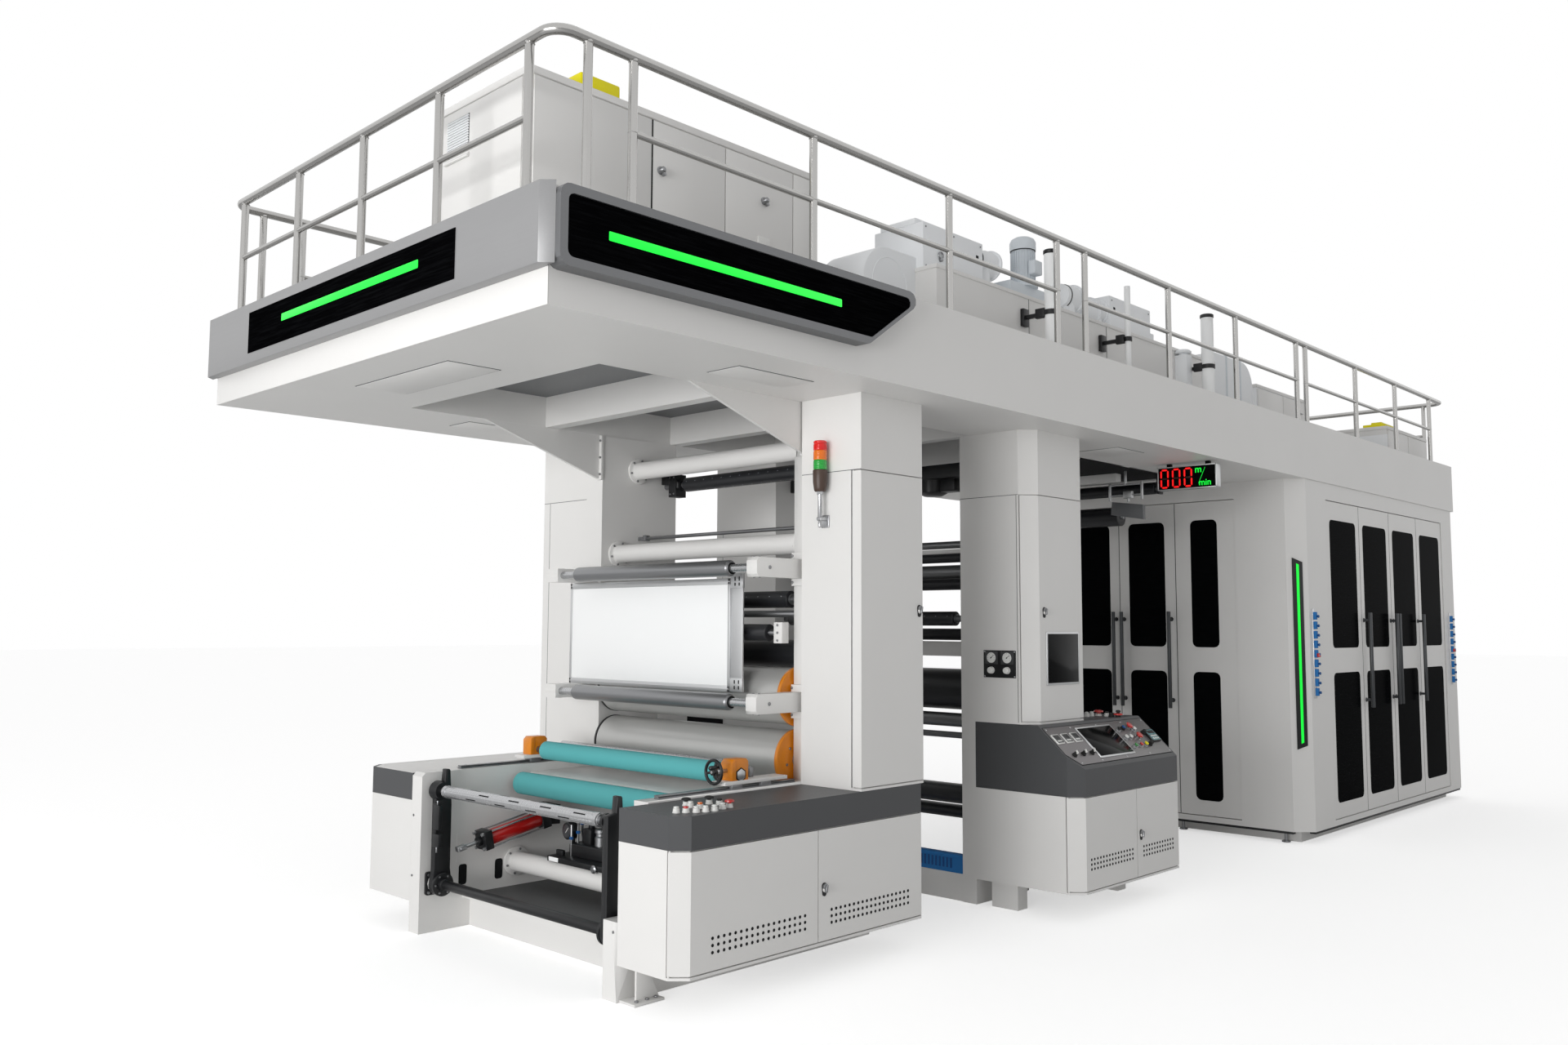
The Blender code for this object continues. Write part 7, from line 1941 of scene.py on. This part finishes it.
class PRESS_OT_floor_trim(bpy.types.Operator):
    """Slots of the cable duct, foot gusset, edge bolts, a dark sheet of painted shade on the tray and a light
    sheet of painted sheen on the drive cabinet's top
    """
    bl_idname = "press.floor_trim"
    bl_label = "Feet and duct"

    def execute(self, context):
        first = box((3.6685, 3.6705), (0.900, 0.914), (0.185, 0.245), 0.0, 1)
        places = [(3.6685, 0.900 + i * 0.028, 0.185) for i in range(52)]
        piece("duct_slots", repeated(first, places), "blue_fitting")
        lid = box((3.6680, 3.7320), (0.8180, 2.3925), (0.2500, 0.2680), 0.003)
        piece("duct_lid", [lid], "blue_plastic")
        shoe = [plate([(1.000, 0.000), (1.130, 0.000), (1.130, 0.012), (1.060, 0.160), (1.000, 0.160)], 0.640,
                      0.652, "Y", 0.002), box((0.960, 1.130), (0.600, 0.7075), (0.0, 0.012), 0.002)]
        piece("front_foot_gusset", shoe, "body_powder_coat")
        heads = bolts([(a, 0.625, 0.012) for a in (0.990, 1.050, 1.100)], "+Z", 0.010, 0.008)
        piece("front_foot_bolts", heads, "ground_steel")
        screws = bolts([(0.944, 0.735, 0.300), (0.944, 2.480, 0.300), (0.944, 2.480, 0.620)], "-X", 0.007,
                       0.004)
        piece("frame_edge_bolts", screws, "ground_steel")
        low, high = (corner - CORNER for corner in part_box("front_base_tray"))
        # A dark grey sheet over the tray's top: painted shade.
        shade_sheet = box((low.x + 0.002, high.x - 0.002), (low.y + 0.002, high.y - 0.002),
                    (high.z - 0.001, high.z + 0.0015), 0.0005, 1)
        piece("tray_shade_sheet", [shade_sheet], "tray_painted_shade")
        # A light sheet over the drive cabinet's dark top: painted sheen of the top seen at a grazing angle.
        low, high = (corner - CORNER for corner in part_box("drive_cabinet_top"))
        inset, cut = 0.002, 0.100
        outline = [(low.x + inset, low.y + inset), (high.x - inset, low.y + inset),
                   (high.x - inset, high.y - inset), (low.x + cut, high.y - inset),
                   (low.x + inset, high.y - cut)]
        sheet = plate(outline, high.z - 0.0005, high.z + 0.0015, "Z", 0.0005)
        piece("drive_top_sheen_sheet", [sheet], "body_powder_coat")
        groove = box((1.250, 1.750), (2.560, 2.568), (high.z + 0.0005, high.z + 0.0020), 0.0, 1)
        piece("drive_top_groove", [groove], "dark_recess")
        return {"FINISHED"}


# The photograph's eye point and angles, in the machine's measures and in radians.
CAMERA_PLACE = (-2.5150, -3.6447, 1.65)
CAMERA_YAW = 0.768555
CAMERA_PITCH = 0.084281
CAMERA_ROLL = -0.004390
# The softbox stands in front of the machine and looks along it.
SOFTBOX_PLACE = (-10.0, -1.2, 2.1)
SOFTBOX_AIM = (2.0, 1.5, 1.9)
SOFTBOX_SIZE = (7.5, 3.6)
# The floor lies just under the feet.
FLOOR_SIZE = 160.0
FLOOR_DROP = 0.0005


class PRESS_OT_stage(bpy.types.Operator):
    """Add the floor, the lamps and the camera"""
    bl_idname = "press.stage"
    bl_label = "Stage"

    def execute(self, context):
        settings = context.scene.press_stage
        deselect()
        bpy.ops.mesh.primitive_plane_add(size=FLOOR_SIZE, location=(0, 0, -FLOOR_DROP))
        floor = bpy.context.object
        floor.name = "floor"
        made, tree, surface = fresh("pale_floor")
        path = add(tree, "ShaderNodeLightPath")
        lift = add(tree, "ShaderNodeMapRange", {"Value": path.outputs["Is Camera Ray"], "To Min": 0.0,
                                                "To Max": settings.floor_lift})
        tree.links.new(lift.outputs["Result"], surface.inputs["Emission Strength"])
        surface.inputs["Emission Color"].default_value = (1, 1, 1, 1)
        surface.inputs["Base Color"].default_value = (0.90, 0.90, 0.90, 1)
        surface.inputs["Roughness"].default_value = 0.9
        surface.inputs["Specular IOR Level"].default_value = 0.1
        floor.data.materials.append(made)
        self.light_world(settings)
        place, aim = at(*SOFTBOX_PLACE), at(*SOFTBOX_AIM)
        bpy.ops.object.light_add(type="AREA", location=place,
                                 rotation=(place - aim).to_track_quat("Z", "Y").to_euler())
        softbox = bpy.context.object
        softbox.name = "front_softbox"
        softbox.data.shape = "RECTANGLE"
        softbox.data.size, softbox.data.size_y = SOFTBOX_SIZE
        softbox.data.energy = settings.key_power
        self.set_camera(context, settings)
        context.scene.view_settings.view_transform = "Standard"
        return {"FINISHED"}

    def light_world(self, settings):
        world = bpy.data.worlds.new("studio")
        bpy.context.scene.world = world
        world.use_nodes = True
        tree = world.node_tree
        tree.nodes.clear()
        path = add(tree, "ShaderNodeLightPath")
        seen = add(tree, "ShaderNodeMath",
                   {0: path.outputs["Is Camera Ray"], 1: path.outputs["Is Glossy Ray"]}, operation="MAXIMUM")
        through = add(tree, "ShaderNodeMath", {0: seen.outputs[0], 1: path.outputs["Is Transmission Ray"]},
                      operation="MAXIMUM")
        level = add(tree, "ShaderNodeMapRange",
                    {"Value": through.outputs[0], "To Min": settings.fill_strength, "To Max": 1.0})
        sky = add(tree, "ShaderNodeBackground", {"Color": (1, 1, 1, 1), "Strength": level.outputs["Result"]})
        add(tree, "ShaderNodeOutputWorld", {"Surface": sky.outputs[0]})

    def set_camera(self, context, settings):
        yaw, pitch, roll = CAMERA_YAW, CAMERA_PITCH, CAMERA_ROLL
        ahead = Vector((math.cos(yaw) * math.cos(pitch), math.sin(yaw) * math.cos(pitch), math.sin(pitch)))
        right = Vector((math.sin(yaw), -math.cos(yaw), 0))
        up = right.cross(ahead)
        turned_right = right * math.cos(roll) - up * math.sin(roll)
        turned_up = right * math.sin(roll) + up * math.cos(roll)
        bpy.ops.object.camera_add()
        camera = bpy.context.object
        camera.name = "camera"
        camera.matrix_world = Matrix.Translation(at(*CAMERA_PLACE)) @ Matrix(
            (turned_right, turned_up, -ahead)).transposed().to_4x4()
        camera.data.sensor_width = 36.0
        camera.data.lens = settings.lens
        camera.data.clip_end = 300.0
        context.scene.camera = camera


OPERATORS = [PRESS_OT_finish_frame, PRESS_OT_front_frame, PRESS_OT_front_band, PRESS_OT_sign_panels,
             PRESS_OT_guard_rail, PRESS_OT_rollers, PRESS_OT_stand_fittings, PRESS_OT_unwind,
             PRESS_OT_web_guide, PRESS_OT_frame_slots, PRESS_OT_nip, PRESS_OT_console,
             PRESS_OT_cabinet_fittings, PRESS_OT_stand_panels, PRESS_OT_speed_display, PRESS_OT_house_trim,
             PRESS_OT_deck_equipment, PRESS_OT_under_platform, PRESS_OT_floor_trim, PRESS_OT_stage,]


class PRESS_PT_dressing(bpy.types.Panel):
    """Settings and steps of the press dressing"""
    bl_idname = "PRESS_PT_dressing"
    bl_label = "Press"
    bl_space_type = "VIEW_3D"
    bl_region_type = "UI"
    bl_category = "Press"

    def draw(self, context):
        scene = context.scene
        for group in (scene.press_colours, scene.press_sizes, scene.press_stage):
            column = self.layout.column(align=True)
            for key in group.bl_rna.properties.keys():
                if key not in {"rna_type", "name"}:
                    column.prop(group, key)
        for operator in OPERATORS:
            self.layout.operator(operator.bl_idname)


GROUPS = {"press_colours": PressColours, "press_sizes": PressSizes, "press_stage": PressStage}


def register():
    for name, group in GROUPS.items():
        bpy.utils.register_class(group)
        setattr(bpy.types.Scene, name, PointerProperty(type=group))
    for operator in OPERATORS:
        bpy.utils.register_class(operator)
    bpy.utils.register_class(PRESS_PT_dressing)


def unregister():
    bpy.utils.unregister_class(PRESS_PT_dressing)
    for operator in reversed(OPERATORS):
        bpy.utils.unregister_class(operator)
    for name, group in GROUPS.items():
        delattr(bpy.types.Scene, name)
        bpy.utils.unregister_class(group)


def main():
    """Run every step in order."""
    register()
    for operator in OPERATORS:
        group, step = operator.bl_idname.split(".")
        getattr(getattr(bpy.ops, group), step)()


if __name__ == "__main__":
    main()
